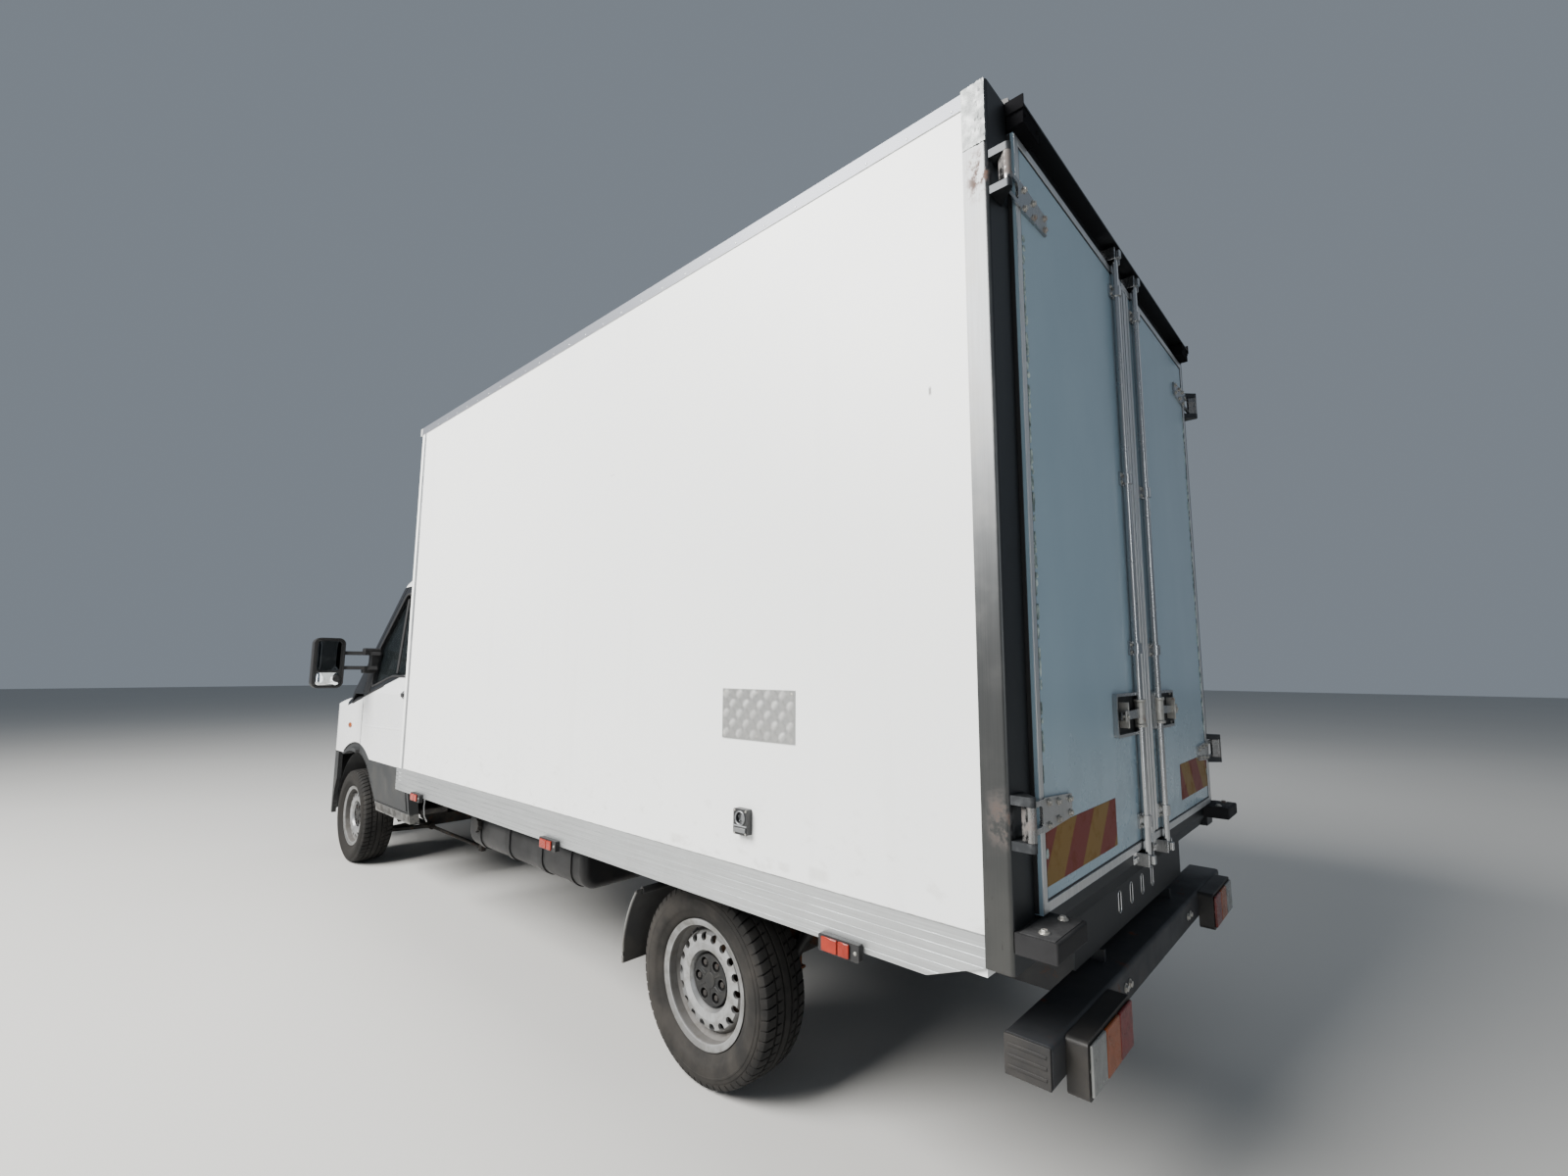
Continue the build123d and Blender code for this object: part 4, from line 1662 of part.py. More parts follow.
APRON_HALF = BOX_HALF - 480
APRON_BOTTOM = 640
APRON_FACE_Y = BOX_REAR_Y - 40
SLOT_Z = APRON_BOTTOM + 85
SLOT_PITCH = 130
SLOT_TALL = 70
SLOT_WIDE = 26
with BuildPart() as rear_sill:
    with BuildSketch(side_plane(-POST_INNER_X + SEAT)):
        with BuildLine():
            Polyline(
                (POST_FRONT_Y, SILL_FACE_TOP),
                (BOX_REAR_Y, SILL_FACE_TOP),
                (BOX_REAR_Y, SILL_FACE_TOP - 40),
                (BOX_REAR_Y - 30, POST_BOTTOM),
                (POST_FRONT_Y, POST_BOTTOM),
                close=True,
            )
        make_face()
    extrude(amount=2 * (POST_INNER_X - SEAT))
    with BuildSketch(cross_plane(APRON_FACE_Y)):
        with Locations((0, (APRON_BOTTOM + POST_BOTTOM + 5) / 2)):
            Rectangle(2 * APRON_HALF, POST_BOTTOM + 5 - APRON_BOTTOM)
        with Locations((0, SLOT_Z)):
            with GridLocations(SLOT_PITCH, 1, 4, 1):
                SlotOverall(SLOT_TALL, SLOT_WIDE, rotation=90, mode=Mode.SUBTRACT)
    extrude(amount=6)
    keeper_cheeks(SILL_FACE_TOP - 42, SILL_FACE_TOP - 2)
save(rear_sill, "rear_sill")

# Underrun bar on two hangers from the frame's rails
BAR_HALF = BOX_HALF - 120
BAR_TOP = 600
BAR_BOTTOM = 500
BAR_FRONT_Y = BOX_REAR_Y - 90
BAR_REAR_Y = BOX_REAR_Y + 30
with BuildPart() as underrun_bar:
    with BuildSketch(side_plane(-BAR_HALF)):
        with Locations(((BAR_FRONT_Y + BAR_REAR_Y) / 2, (BAR_TOP + BAR_BOTTOM) / 2)):
            RectangleRounded(BAR_REAR_Y - BAR_FRONT_Y, BAR_TOP - BAR_BOTTOM, 12)
    extrude(amount=2 * BAR_HALF)
    for side in (-1, 1):
        with BuildSketch(side_plane(side * (FRAME_HALF - 35) - 8)):
            with BuildLine():
                Polyline(
                    (RAIL_REAR_Y + SEAT, RAIL_TOP - 25),
                    (RAIL_REAR_Y + SEAT, RAIL_TOP - RAIL_HEIGHT + 10),
                    (BAR_FRONT_Y + 20, BAR_BOTTOM + 20),
                    (BAR_FRONT_Y + 60, BAR_TOP - 5),
                    (RAIL_REAR_Y + 60, RAIL_TOP - 25),
                    close=True,
                )
            make_face()
        extrude(amount=16)
save(underrun_bar, "underrun_bar")

# Rubber buffers under the doors' lower corners
BUFFER_LONG = 190
BUFFER_TALL = 47
BUFFER_TOP = DOOR_BOTTOM - 8
with BuildPart() as buffers:
    with BuildSketch(cross_plane(BOX_REAR_Y + SEAT)):
        with Locations((BOX_HALF - BUFFER_LONG / 2, BUFFER_TOP - BUFFER_TALL / 2)):
            Rectangle(BUFFER_LONG, BUFFER_TALL)
    extrude(amount=-(BUFFER_REACH - SEAT))
    fillet(buffers.faces().sort_by(Axis.Y)[-1].edges(), 6)
    mirror(about=Plane.YZ)
save(buffers, "buffers")

# Rear mudguards: bent flaps ahead of the wheels on stays from the frame
GUARD_RADIUS = TYRE_RADIUS + 92
GUARD_THICK = 4
GUARD_IN_X = REAR_WHEEL_X - 115
GUARD_OUT_X = REAR_WHEEL_X + 130
GUARD_LOW_ANGLE = 185          # about the wheel's axle, from the rear over the top
GUARD_MID_ANGLE = 165
GUARD_TOP_ANGLE = 144
STAY_RADIUS = 14


def on_guard(angle):
    """Point of the flap's middle line at an angle about the axle."""
    return (REAR_AXLE_Y + GUARD_RADIUS * cos(radians(angle)), HUB_Z + GUARD_RADIUS * sin(radians(angle)))


with BuildPart() as mudguards:
    with BuildSketch(side_plane(GUARD_IN_X)):
        with BuildLine():
            ThreePointArc(on_guard(GUARD_LOW_ANGLE), on_guard(GUARD_MID_ANGLE), on_guard(GUARD_TOP_ANGLE))
        trace(line_width=GUARD_THICK)
    extrude(amount=GUARD_OUT_X - GUARD_IN_X)
    with BuildSketch(side_plane(FRAME_HALF + SEAT)):
        with Locations((on_guard(GUARD_TOP_ANGLE)[0] - 8, on_guard(GUARD_TOP_ANGLE)[1] - 8)):
            Circle(STAY_RADIUS)
    extrude(amount=GUARD_OUT_X - 30 - FRAME_HALF)
    mirror(about=Plane.YZ)
save(mudguards, "mudguards")

# Cooling unit on the front wall above the cab
UNIT_HALF = 560
UNIT_DEEP = 430
UNIT_TOP = BOX_TOP - 270
UNIT_BOTTOM = CAB_TOP + 90
UNIT_TALL = UNIT_TOP - UNIT_BOTTOM
UNIT_SLAT_PITCH = UNIT_TALL * 0.068
UNIT_BACK_Y = BOX_FRONT_Y - SEAT
UNIT_SLATS = 7
with BuildPart() as cooling_unit:
    with BuildSketch(side_plane(-UNIT_HALF)):
        with BuildLine():
            Polyline(
                (UNIT_BACK_Y, UNIT_BOTTOM),
                (UNIT_BACK_Y, UNIT_TOP),
                (UNIT_BACK_Y - 150, UNIT_TOP),
            )
            ThreePointArc(
                (UNIT_BACK_Y - 150, UNIT_TOP),
                (UNIT_BACK_Y - UNIT_DEEP + 70, UNIT_TOP - UNIT_TALL * 0.234),
                (UNIT_BACK_Y - UNIT_DEEP, UNIT_BOTTOM + UNIT_TALL * 0.277),
            )
            Polyline(
                (UNIT_BACK_Y - UNIT_DEEP, UNIT_BOTTOM + UNIT_TALL * 0.277),
                (UNIT_BACK_Y - UNIT_DEEP + 40, UNIT_BOTTOM),
                (UNIT_BACK_Y, UNIT_BOTTOM),
            )
        make_face()
    extrude(amount=2 * UNIT_HALF)
    with BuildSketch(cross_plane(UNIT_BACK_Y)):
        with Locations((0, (UNIT_BOTTOM + UNIT_TOP) / 2)):
            RectangleRounded(2 * UNIT_HALF, UNIT_TALL, UNIT_TALL * 0.149)
    extrude(amount=UNIT_DEEP, mode=Mode.INTERSECT)
    # intake louvres across the front
    for slat in range(UNIT_SLATS):
        slat_z = UNIT_BOTTOM + UNIT_TALL * 0.32 + slat * UNIT_SLAT_PITCH
        slab(-UNIT_HALF + 110, UNIT_HALF - 110, UNIT_BACK_Y - UNIT_DEEP - 10,
             UNIT_BACK_Y - UNIT_DEEP + 75, slat_z, slat_z + UNIT_SLAT_PITCH * 0.56, Mode.SUBTRACT)
save(cooling_unit, "cooling_unit")

# Evaporator under the box's ceiling
EVAPORATOR_HALF = 480
EVAPORATOR_LONG = 420
EVAPORATOR_TALL = 190
FAN_RADIUS = 78
with BuildPart() as evaporator:
    evaporator_y = BOX_FRONT_Y + FRONT_THICK + 2 * SEAT
    evaporator_top = ROOF_BOTTOM - SEAT
    with BuildSketch(side_plane(-EVAPORATOR_HALF)):
        with BuildLine():
            Polyline(
                (evaporator_y, evaporator_top),
                (evaporator_y + EVAPORATOR_LONG, evaporator_top),
                (evaporator_y + EVAPORATOR_LONG, evaporator_top - 60),
                (evaporator_y + EVAPORATOR_LONG - 110, evaporator_top - EVAPORATOR_TALL),
                (evaporator_y, evaporator_top - EVAPORATOR_TALL),
                close=True,
            )
        make_face()
    extrude(amount=2 * EVAPORATOR_HALF)
    with BuildSketch(Plane.XY.offset(evaporator_top - EVAPORATOR_TALL)):
        with Locations((-300, evaporator_y + 150), (0, evaporator_y + 150), (300, evaporator_y + 150)):
            Circle(FAN_RADIUS)
            Circle(30, mode=Mode.SUBTRACT)
    extrude(amount=25, mode=Mode.SUBTRACT)
save(evaporator, "evaporator")

# Fittings on the left wall: chequer repair plate and the power inlet
PLATE_LONG = 325
PLATE_REAR_Y = BOX_REAR_Y - 675
PLATE_FRONT_Y = PLATE_REAR_Y - PLATE_LONG
PLATE_TALL = 163
PLATE_LOW_Z = FLOOR_TOP + 364
INLET_Y = BOX_REAR_Y - 888
INLET_Z = 998
with BuildPart() as wall_fittings:
    slab(BOX_HALF + SEAT, BOX_HALF + SEAT + 3, PLATE_FRONT_Y, PLATE_REAR_Y,
         PLATE_LOW_Z, PLATE_LOW_Z + PLATE_TALL)
    with BuildSketch(side_plane(BOX_HALF + SEAT)):
        with Locations((INLET_Y, INLET_Z)):
            RectangleRounded(64, 80, 6)
    extrude(amount=22)
    with BuildSketch(side_plane(BOX_HALF + SEAT + 10)):
        with Locations((INLET_Y, INLET_Z + 12)):
            Circle(19)
    extrude(amount=20, mode=Mode.SUBTRACT)
save(wall_fittings, "wall_fittings")

# Lamps: side markers under the rails, markers over the header, tail lamps on the bar
MARKER_PLACES = (496, 2086, 3630)    # ahead of the box's rear face
MARKER_LONG = 140
MARKER_TALL = 46
TAIL_INNER_X = BOX_HALF - 540
TAIL_OUTER_X = BOX_HALF - 200
TAIL_Z = (BAR_TOP + BAR_BOTTOM) / 2 - 20
TOP_MARKER_X = POST_INNER_X - 118
with BuildPart() as lamps:
    for place in MARKER_PLACES:
        with BuildSketch(side_plane(RAIL_STRIP_OUT + SEAT)):
            with Locations((BOX_REAR_Y - place, RAIL_STRIP_BOTTOM)):
                RectangleRounded(MARKER_LONG, MARKER_TALL, 6)
        extrude(amount=20)
    with BuildSketch(cross_plane(BAR_REAR_Y + SEAT)):
        with Locations(((TAIL_INNER_X + TAIL_OUTER_X) / 2, TAIL_Z)):
            RectangleRounded(TAIL_OUTER_X - TAIL_INNER_X, 136, 14)
    extrude(amount=-52)
    with BuildSketch(side_plane(TOP_MARKER_X)):
        with BuildLine():
            Polyline(
                (BOX_REAR_Y - 30, BOX_TOP + SEAT),
                (BOX_REAR_Y - 30, BOX_TOP + 22),
                (BOX_REAR_Y - 15, BOX_TOP + 32),
                (BOX_REAR_Y + 5, BOX_TOP + 28),
                (BOX_REAR_Y + 8, BOX_TOP + SEAT),
                close=True,
            )
        make_face()
    extrude(amount=106)
    mirror(about=Plane.YZ)
save(lamps, "lamps")


# Rear doors: whole sandwich leaves, bevelled at the seam so that each swings past the other
SEAM_BEVEL = 12
with BuildPart() as rear_door_left:
    with BuildSketch(Plane.XY.offset(DOOR_BOTTOM)):
        with BuildLine():
            Polyline(
                (SEAM_GAP / 2, DOOR_FACE_Y),
                (POST_INNER_X - DOOR_GAP, DOOR_FACE_Y),
                (POST_INNER_X - DOOR_GAP, DOOR_INNER_Y),
                (SEAM_GAP / 2 + SEAM_BEVEL, DOOR_INNER_Y),
                close=True,
            )
        make_face()
    extrude(amount=DOOR_TOP - DOOR_BOTTOM)
save(rear_door_left, "rear_door_left")
with BuildPart() as rear_door_right:
    mirror(rear_door_left.part, about=Plane.YZ)
save(rear_door_right, "rear_door_right")

# Door gear: lock rod with guides and cams, lever over its tray, hinge straps
STRAP_END_X = POST_INNER_X - 210
STRAP_THICK = 8
LOOP_INNER_X = POST_INNER_X - 12
LOOP_HALF = 60
GUIDE_HEIGHTS = (DOOR_BOTTOM + 95, DOOR_BOTTOM + 670, DOOR_BOTTOM + 1270, DOOR_TOP - 110)
ROD_BOTTOM = SILL_FACE_TOP - 36
ROD_TOP = HEADER_BOTTOM + 40
LEVER_Z = DOOR_BOTTOM + 450
TRAY_IN_X = 90
TRAY_OUT_X = 360
TRAY_HALF = 70
GEAR_Y = DOOR_FACE_Y + SEAT
with BuildPart() as door_gear_left:
    # rod
    with BuildSketch(Plane.XY.offset(ROD_BOTTOM)):
        with Locations((ROD_X, ROD_Y)):
            Circle(ROD_RADIUS)
    extrude(amount=ROD_TOP - ROD_BOTTOM)
    # guides bolted to the door round the rod
    for guide_z in GUIDE_HEIGHTS:
        slab(ROD_X - 38, ROD_X + 38, GEAR_Y, GEAR_Y + 7, guide_z - 24, guide_z + 24)
        with BuildSketch(Plane.XY.offset(guide_z - 18)):
            with Locations((ROD_X, ROD_Y)):
                Circle(ROD_RADIUS + 6)
            with Locations((ROD_X, (GEAR_Y + ROD_Y) / 2)):
                Rectangle(2 * ROD_RADIUS + 12, ROD_Y - GEAR_Y)
            with Locations((ROD_X, GEAR_Y - 20)):
                Rectangle(80, 40, mode=Mode.SUBTRACT)
        extrude(amount=36)
    # cam collars
    for cam_z in (ROD_BOTTOM, ROD_TOP - 26):
        with BuildSketch(Plane.XY.offset(cam_z)):
            with Locations((ROD_X, ROD_Y + 6)):
                RectangleRounded(2 * CAM_HALF, 2 * CAM_HALF + 14, 5)
        extrude(amount=26)
    # tray and lever
    with BuildSketch(cross_plane(GEAR_Y)):
        with Locations(((TRAY_IN_X + TRAY_OUT_X) / 2, LEVER_Z)):
            RectangleRounded(TRAY_OUT_X - TRAY_IN_X, 2 * TRAY_HALF, 12)
            RectangleRounded(TRAY_OUT_X - TRAY_IN_X - 20, 2 * TRAY_HALF - 20, 8, mode=Mode.SUBTRACT)
    extrude(amount=-14)
    slab(TRAY_IN_X + 2, TRAY_OUT_X - 2, GEAR_Y, GEAR_Y + 3, LEVER_Z - TRAY_HALF + 2, LEVER_Z + TRAY_HALF - 2)
    with BuildSketch(cross_plane(ROD_Y - 6)):
        with BuildLine():
            Polyline(
                (ROD_X, LEVER_Z + 20),
                (ROD_X + 60, LEVER_Z + 14),
                (TRAY_OUT_X - 26, LEVER_Z + 10),
                (TRAY_OUT_X - 26, LEVER_Z - 16),
                (ROD_X + 60, LEVER_Z - 14),
                (ROD_X, LEVER_Z - 20),
                close=True,
            )
        make_face()
    extrude(amount=-12)
    slab(TRAY_OUT_X - 60, TRAY_OUT_X - 36, GEAR_Y, ROD_Y - 4, LEVER_Z - 12, LEVER_Z + 8)
    # hinge straps: plate with bolts, open loop, knuckle on the pin
    for hinge_z in HINGE_HEIGHTS:
        with BuildSketch(cross_plane(GEAR_Y)):
            with BuildLine():
                Polyline(
                    (STRAP_END_X, hinge_z - 30),
                    (STRAP_END_X, hinge_z + 30),
                    (LOOP_INNER_X - 10, hinge_z + LOOP_HALF - 18),
                    (LOOP_INNER_X - 10, hinge_z - LOOP_HALF + 18),
                    close=True,
                )
            make_face()
            with Locations(((LOOP_INNER_X - 14 + PIN_X - 6) / 2, hinge_z)):
                RectangleRounded(PIN_X - 6 - LOOP_INNER_X + 14, HINGE_KNUCKLE - 1, 12)
            with Locations(((LOOP_INNER_X + PIN_X - 22) / 2, hinge_z)):
                RectangleRounded(PIN_X - 22 - LOOP_INNER_X - 8, HINGE_KNUCKLE - 30, 10, mode=Mode.SUBTRACT)
        extrude(amount=-STRAP_THICK)
        with BuildSketch(Plane.XY.offset(hinge_z - HINGE_KNUCKLE / 2)):
            with BuildLine():
                Polyline(
                    (PIN_X - 24, GEAR_Y),
                    (PIN_X - 6, GEAR_Y),
                    (PIN_X + 9, PIN_Y - 4),
                    (PIN_X - 9, PIN_Y + 4),
                    (PIN_X - 24, GEAR_Y + STRAP_THICK),
                    close=True,
                )
            make_face()
            with Locations((PIN_X, PIN_Y)):
                Circle(KNUCKLE_RADIUS)
                Circle(PIN_RADIUS + RUNNING_CLEARANCE, mode=Mode.SUBTRACT)
        extrude(amount=HINGE_KNUCKLE)
save(door_gear_left, "door_gear_left")
with BuildPart() as door_gear_right:
    mirror(door_gear_left.part, about=Plane.YZ)
save(door_gear_right, "door_gear_right")
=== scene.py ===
import json
import math
import random

import bmesh
import bpy
from mathutils import Matrix, Vector
from mathutils.bvhtree import BVHTree


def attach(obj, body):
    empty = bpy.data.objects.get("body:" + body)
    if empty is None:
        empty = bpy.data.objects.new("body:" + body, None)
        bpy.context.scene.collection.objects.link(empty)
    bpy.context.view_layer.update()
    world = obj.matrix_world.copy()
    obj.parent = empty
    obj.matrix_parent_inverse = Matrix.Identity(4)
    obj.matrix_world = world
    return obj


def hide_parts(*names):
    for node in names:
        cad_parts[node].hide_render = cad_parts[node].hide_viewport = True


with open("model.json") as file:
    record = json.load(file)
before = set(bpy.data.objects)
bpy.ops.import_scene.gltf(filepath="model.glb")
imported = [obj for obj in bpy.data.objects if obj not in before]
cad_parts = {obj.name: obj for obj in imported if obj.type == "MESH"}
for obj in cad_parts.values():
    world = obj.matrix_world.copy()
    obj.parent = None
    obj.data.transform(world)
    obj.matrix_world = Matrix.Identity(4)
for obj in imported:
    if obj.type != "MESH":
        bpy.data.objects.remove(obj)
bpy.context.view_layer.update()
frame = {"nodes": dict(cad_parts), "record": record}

# Places of the CAD frame, in metres: front is -Y, the truck's left is +X
FRONT_AXLE_Y = -2.23
REAR_AXLE_Y = 1.87
HUB_Z = 0.345
DOOR_FACE_Y = 3.148
CLADDING_TOP = 0.797
SLOT_PITCH = 0.13                # slots of the apron under the rear doors
SLOT_TALL = 0.07
SLOT_WIDE = 0.026
SLOT_Z = 0.725
BELT_SLOPE = 0.2196            # the belt line under the side windows rises towards the rear
BELT_BASE = 1.7233
ARCH_RADIUS = 0.504
WHEELS = {
    "front_left": (1, 0.860, FRONT_AXLE_Y),
    "front_right": (-1, 0.860, FRONT_AXLE_Y),
    "rear_left": (1, 0.855, REAR_AXLE_Y),
    "rear_right": (-1, 0.855, REAR_AXLE_Y),
}
SIDES = (("left", 1), ("right", -1))
HINGE_ROWS = (1.126, 2.795)        # heights of the rear doors' hinges
INLET_Y, INLET_Z = 2.242, 1.010    # middle of the power inlet
SEAT_LOW, SEAT_HIGH = 1.066, 1.196
CAMERA_PLACE = (2.66634, 3.83472, 1.48192)
CAMERA_LENS = 15.416               # mm, for a sensor 36 mm wide
YAW, PITCH, ROLL = -2.310447, 0.120436, 0.005536


# ---------------------------------------------------------------- materials
looks = {}


class Look:
    """Short hand for the nodes of one material, which joins the table of looks when finished."""

    def __init__(self, name):
        self.name = name
        self.material = bpy.data.materials.new(name)
        self.material.use_nodes = True
        self.tree = self.material.node_tree
        self.shader = self.tree.nodes["Principled BSDF"]
        self.place = self.add("ShaderNodeTexCoord").outputs["Object"]
        split = self.add("ShaderNodeSeparateXYZ")
        self.wire(self.place, split.inputs[0])
        self.x, self.y, self.z = split.outputs

    def add(self, kind, **settings):
        node = self.tree.nodes.new(kind)
        for key, value in settings.items():
            setattr(node, key, value)
        return node

    def wire(self, value, socket):
        if isinstance(value, bpy.types.NodeSocket):
            self.tree.links.new(value, socket)
        elif isinstance(value, tuple) and len(value) == 3 and socket.type == "RGBA":
            socket.default_value = (*value, 1.0)
        else:
            socket.default_value = value

    def math(self, operation, first, second=0.0):
        node = self.add("ShaderNodeMath", operation=operation)
        self.wire(first, node.inputs[0])
        self.wire(second, node.inputs[1])
        return node.outputs[0]

    def map_place(self, node, stretch=None, offset=0.0):
        """Feed a texture node with object coordinates, stretched and shifted."""
        mapping = self.add("ShaderNodeMapping")
        mapping.inputs["Scale"].default_value = stretch or (1.0, 1.0, 1.0)
        mapping.inputs["Location"].default_value = (offset, offset * 1.7, offset * 0.6)
        self.wire(self.place, mapping.inputs[0])
        self.wire(mapping.outputs[0], node.inputs["Vector"])

    @property
    def out(self):
        """Distance from the middle plane."""
        return self.math("ABSOLUTE", self.x)

    def noise(self, scale, detail=4.0, rough=0.55, stretch=None, offset=0.0):
        """Noise between 0 and 1; stretch scales the three axes."""
        node = self.add("ShaderNodeTexNoise")
        node.inputs["Scale"].default_value = scale
        node.inputs["Detail"].default_value = detail
        node.inputs["Roughness"].default_value = rough
        self.map_place(node, stretch, offset)
        return node.outputs["Fac"]

    def cells(self, scale, feature="F1"):
        node = self.add("ShaderNodeTexVoronoi", feature=feature)
        node.inputs["Scale"].default_value = scale
        self.map_place(node)
        return node

    def fade(self, value, low, high, to_low=0.0, to_high=1.0):
        """Smooth step of a value from one level to another."""
        node = self.add("ShaderNodeMapRange", interpolation_type="SMOOTHSTEP")
        self.wire(value, node.inputs["Value"])
        for key, level in (("From Min", low), ("From Max", high), ("To Min", to_low), ("To Max", to_high)):
            node.inputs[key].default_value = level
        return node.outputs["Result"]

    def within(self, value, low, high, soft=0.002):
        """1 between two levels, with soft edges."""
        rise = self.fade(value, low - soft, low + soft)
        fall = self.fade(value, high - soft, high + soft, 1.0, 0.0)
        return self.math("MULTIPLY", rise, fall)

    def both(self, *masks):
        result = masks[0]
        for mask in masks[1:]:
            result = self.math("MULTIPLY", result, mask)
        return result

    def mix(self, factor, first, second):
        node = self.add("ShaderNodeMix", data_type="RGBA")
        self.wire(factor, node.inputs["Factor"])
        self.wire(first, node.inputs[6])
        self.wire(second, node.inputs[7])
        return node.outputs[2]

    def stain(self, tone, mask, share, colour):
        """Tone with a share of another colour where the mask is 1."""
        return self.mix(self.math("MULTIPLY", mask, share), tone, colour)

    def blend(self, factor, first, second):
        node = self.add("ShaderNodeMix", data_type="FLOAT")
        self.wire(factor, node.inputs["Factor"])
        self.wire(first, node.inputs[2])
        self.wire(second, node.inputs[3])
        return node.outputs[0]

    def radius(self, axle_y):
        """Distance from a wheel's axle."""
        across = self.math("SUBTRACT", self.y, axle_y)
        above = self.math("SUBTRACT", self.z, HUB_Z)
        total = self.math("ADD", self.math("MULTIPLY", across, across), self.math("MULTIPLY", above, above))
        return self.math("SQRT", total)

    def bump(self, height, strength, distance):
        node = self.add("ShaderNodeBump")
        node.inputs["Strength"].default_value = strength
        node.inputs["Distance"].default_value = distance
        self.wire(height, node.inputs["Height"])
        last = self.shader.inputs["Normal"]
        if last.is_linked:
            self.wire(last.links[0].from_socket, node.inputs["Normal"])
        self.wire(node.outputs[0], last)

    def finish(self, colour, rough=0.5, metal=0.0, **sockets):
        self.wire(colour, self.shader.inputs["Base Color"])
        self.wire(rough, self.shader.inputs["Roughness"])
        self.wire(metal, self.shader.inputs["Metallic"])
        for key, value in sockets.items():
            self.wire(value, self.shader.inputs[key.replace("_", " ")])
        looks[self.name] = self.material


def shade(colour, share):
    return tuple(channel * share for channel in colour)


DUST = (0.15, 0.128, 0.10)
RUST = (0.115, 0.042, 0.018)
# Marks on the left wall: y, z, half sizes, strength, colour
WALL_MARKS = ((2.942, 2.240, 0.004, 0.011, 0.85, (0.05, 0.05, 0.05)),
              (1.410, 2.301, 0.018, 0.003, 0.35, (0.40, 0.40, 0.38)),
              (1.896, 0.888, 0.030, 0.014, 0.30, (0.40, 0.39, 0.35)),
              (2.412, 0.888, 0.022, 0.012, 0.30, (0.40, 0.39, 0.35)),
              (2.546, 0.892, 0.034, 0.016, 0.35, (0.38, 0.37, 0.33)))


def plain_look(name, colour, rough, metal=0.0, other=None, patch=6.0, grain=None, dust=0.0, dust_top=1.0,
               rust=0.0, **sockets):
    """Colour that drifts between two tones, with fine grain, road dust from below and rust spots."""
    look = Look(name)
    sockets.setdefault("Specular_IOR_Level", 0.3)
    drift = look.fade(look.noise(patch, 5.0), 0.35, 0.65)
    tone = look.mix(drift, colour, other or shade(colour, 0.82))
    level = look.blend(drift, rough, min(rough + 0.12, 1.0))
    if dust:
        low = look.fade(look.z, 0.15, dust_top, 1.0, 0.0)
        cover = look.both(look.fade(look.noise(9.0, 6.0, 0.65, offset=3.0), 0.3, 0.75), low)
        cover = look.math("MULTIPLY", cover, dust)
        tone = look.mix(cover, tone, DUST)
        level = look.blend(cover, level, 0.9)
    if rust:
        spots = look.fade(look.noise(14.0, 7.0, 0.7, offset=8.0), 0.62 - 0.2 * rust, 0.75 - 0.12 * rust)
        tone = look.mix(spots, tone, RUST)
        level = look.blend(spots, level, 0.92)
        if metal:
            metal = look.blend(spots, metal, 0.0)
    if grain:
        look.bump(look.noise(grain[0], 3.0, 0.6), grain[1], grain[2])
    look.finish(tone, level, metal, **sockets)


plain_look("frame_paint", (0.028, 0.030, 0.034), 0.5, patch=5.0, grain=(220.0, 0.25, 0.001), dust=0.3,
           dust_top=0.75, rust=0.1)
plain_look("axle_paint", (0.020, 0.020, 0.020), 0.6, grain=(150.0, 0.3, 0.002), dust=0.4, dust_top=0.6, rust=0.4)
plain_look("spring_steel", (0.06, 0.052, 0.046), 0.7, 0.3, grain=(90.0, 0.4, 0.002), dust=0.7, dust_top=0.8,
           rust=0.9)
plain_look("engine_metal", (0.20, 0.20, 0.20), 0.62, 0.6, other=(0.07, 0.068, 0.062), patch=9.0,
           grain=(120.0, 0.35, 0.002), dust=0.5, dust_top=0.9)
plain_look("tank_plastic", (0.012, 0.0125, 0.014), 0.42, grain=(420.0, 0.18, 0.0006), dust=0.22, dust_top=0.7)
plain_look("exhaust_steel", (0.17, 0.13, 0.10), 0.68, 0.55, other=(0.10, 0.058, 0.035), patch=18.0,
           grain=(160.0, 0.4, 0.001), dust=0.4, dust_top=0.7, rust=1.0)
plain_look("grille_plastic", (0.020, 0.020, 0.021), 0.5, grain=(600.0, 0.2, 0.0005), dust=0.25)
plain_look("interior_plastic", (0.052, 0.054, 0.058), 0.62, other=(0.040, 0.041, 0.044),
           grain=(800.0, 0.3, 0.0004))
plain_look("floor_mat", (0.028, 0.028, 0.03), 0.85, grain=(260.0, 0.5, 0.0015), dust=0.6, dust_top=1.2)
plain_look("mirror_housing", (0.016, 0.016, 0.017), 0.45, grain=(700.0, 0.25, 0.0004), dust=0.15, dust_top=1.8)
plain_look("guard_plastic", (0.040, 0.040, 0.041), 0.6, grain=(300.0, 0.25, 0.0008), dust=0.35, dust_top=0.7)
plain_look("buffer_rubber", (0.009, 0.009, 0.010), 0.75, other=(0.016, 0.016, 0.017), patch=14.0,
           grain=(240.0, 0.35, 0.001), dust=0.15, dust_top=1.0)
plain_look("seal_rubber", (0.018, 0.018, 0.019), 0.6, grain=(350.0, 0.25, 0.0006))
plain_look("wiper_black", (0.015, 0.015, 0.016), 0.4, grain=(350.0, 0.15, 0.0005))
plain_look("lamp_plastic", (0.022, 0.022, 0.023), 0.42, grain=(420.0, 0.2, 0.0005), dust=0.5, dust_top=0.8)
plain_look("bolt_zinc", (0.46, 0.45, 0.42), 0.42, 0.85, patch=60.0, grain=(300.0, 0.3, 0.0006), rust=0.35)
plain_look("cast_iron", (0.12, 0.10, 0.09), 0.75, 0.3, grain=(180.0, 0.4, 0.001), dust=0.5, rust=0.9)


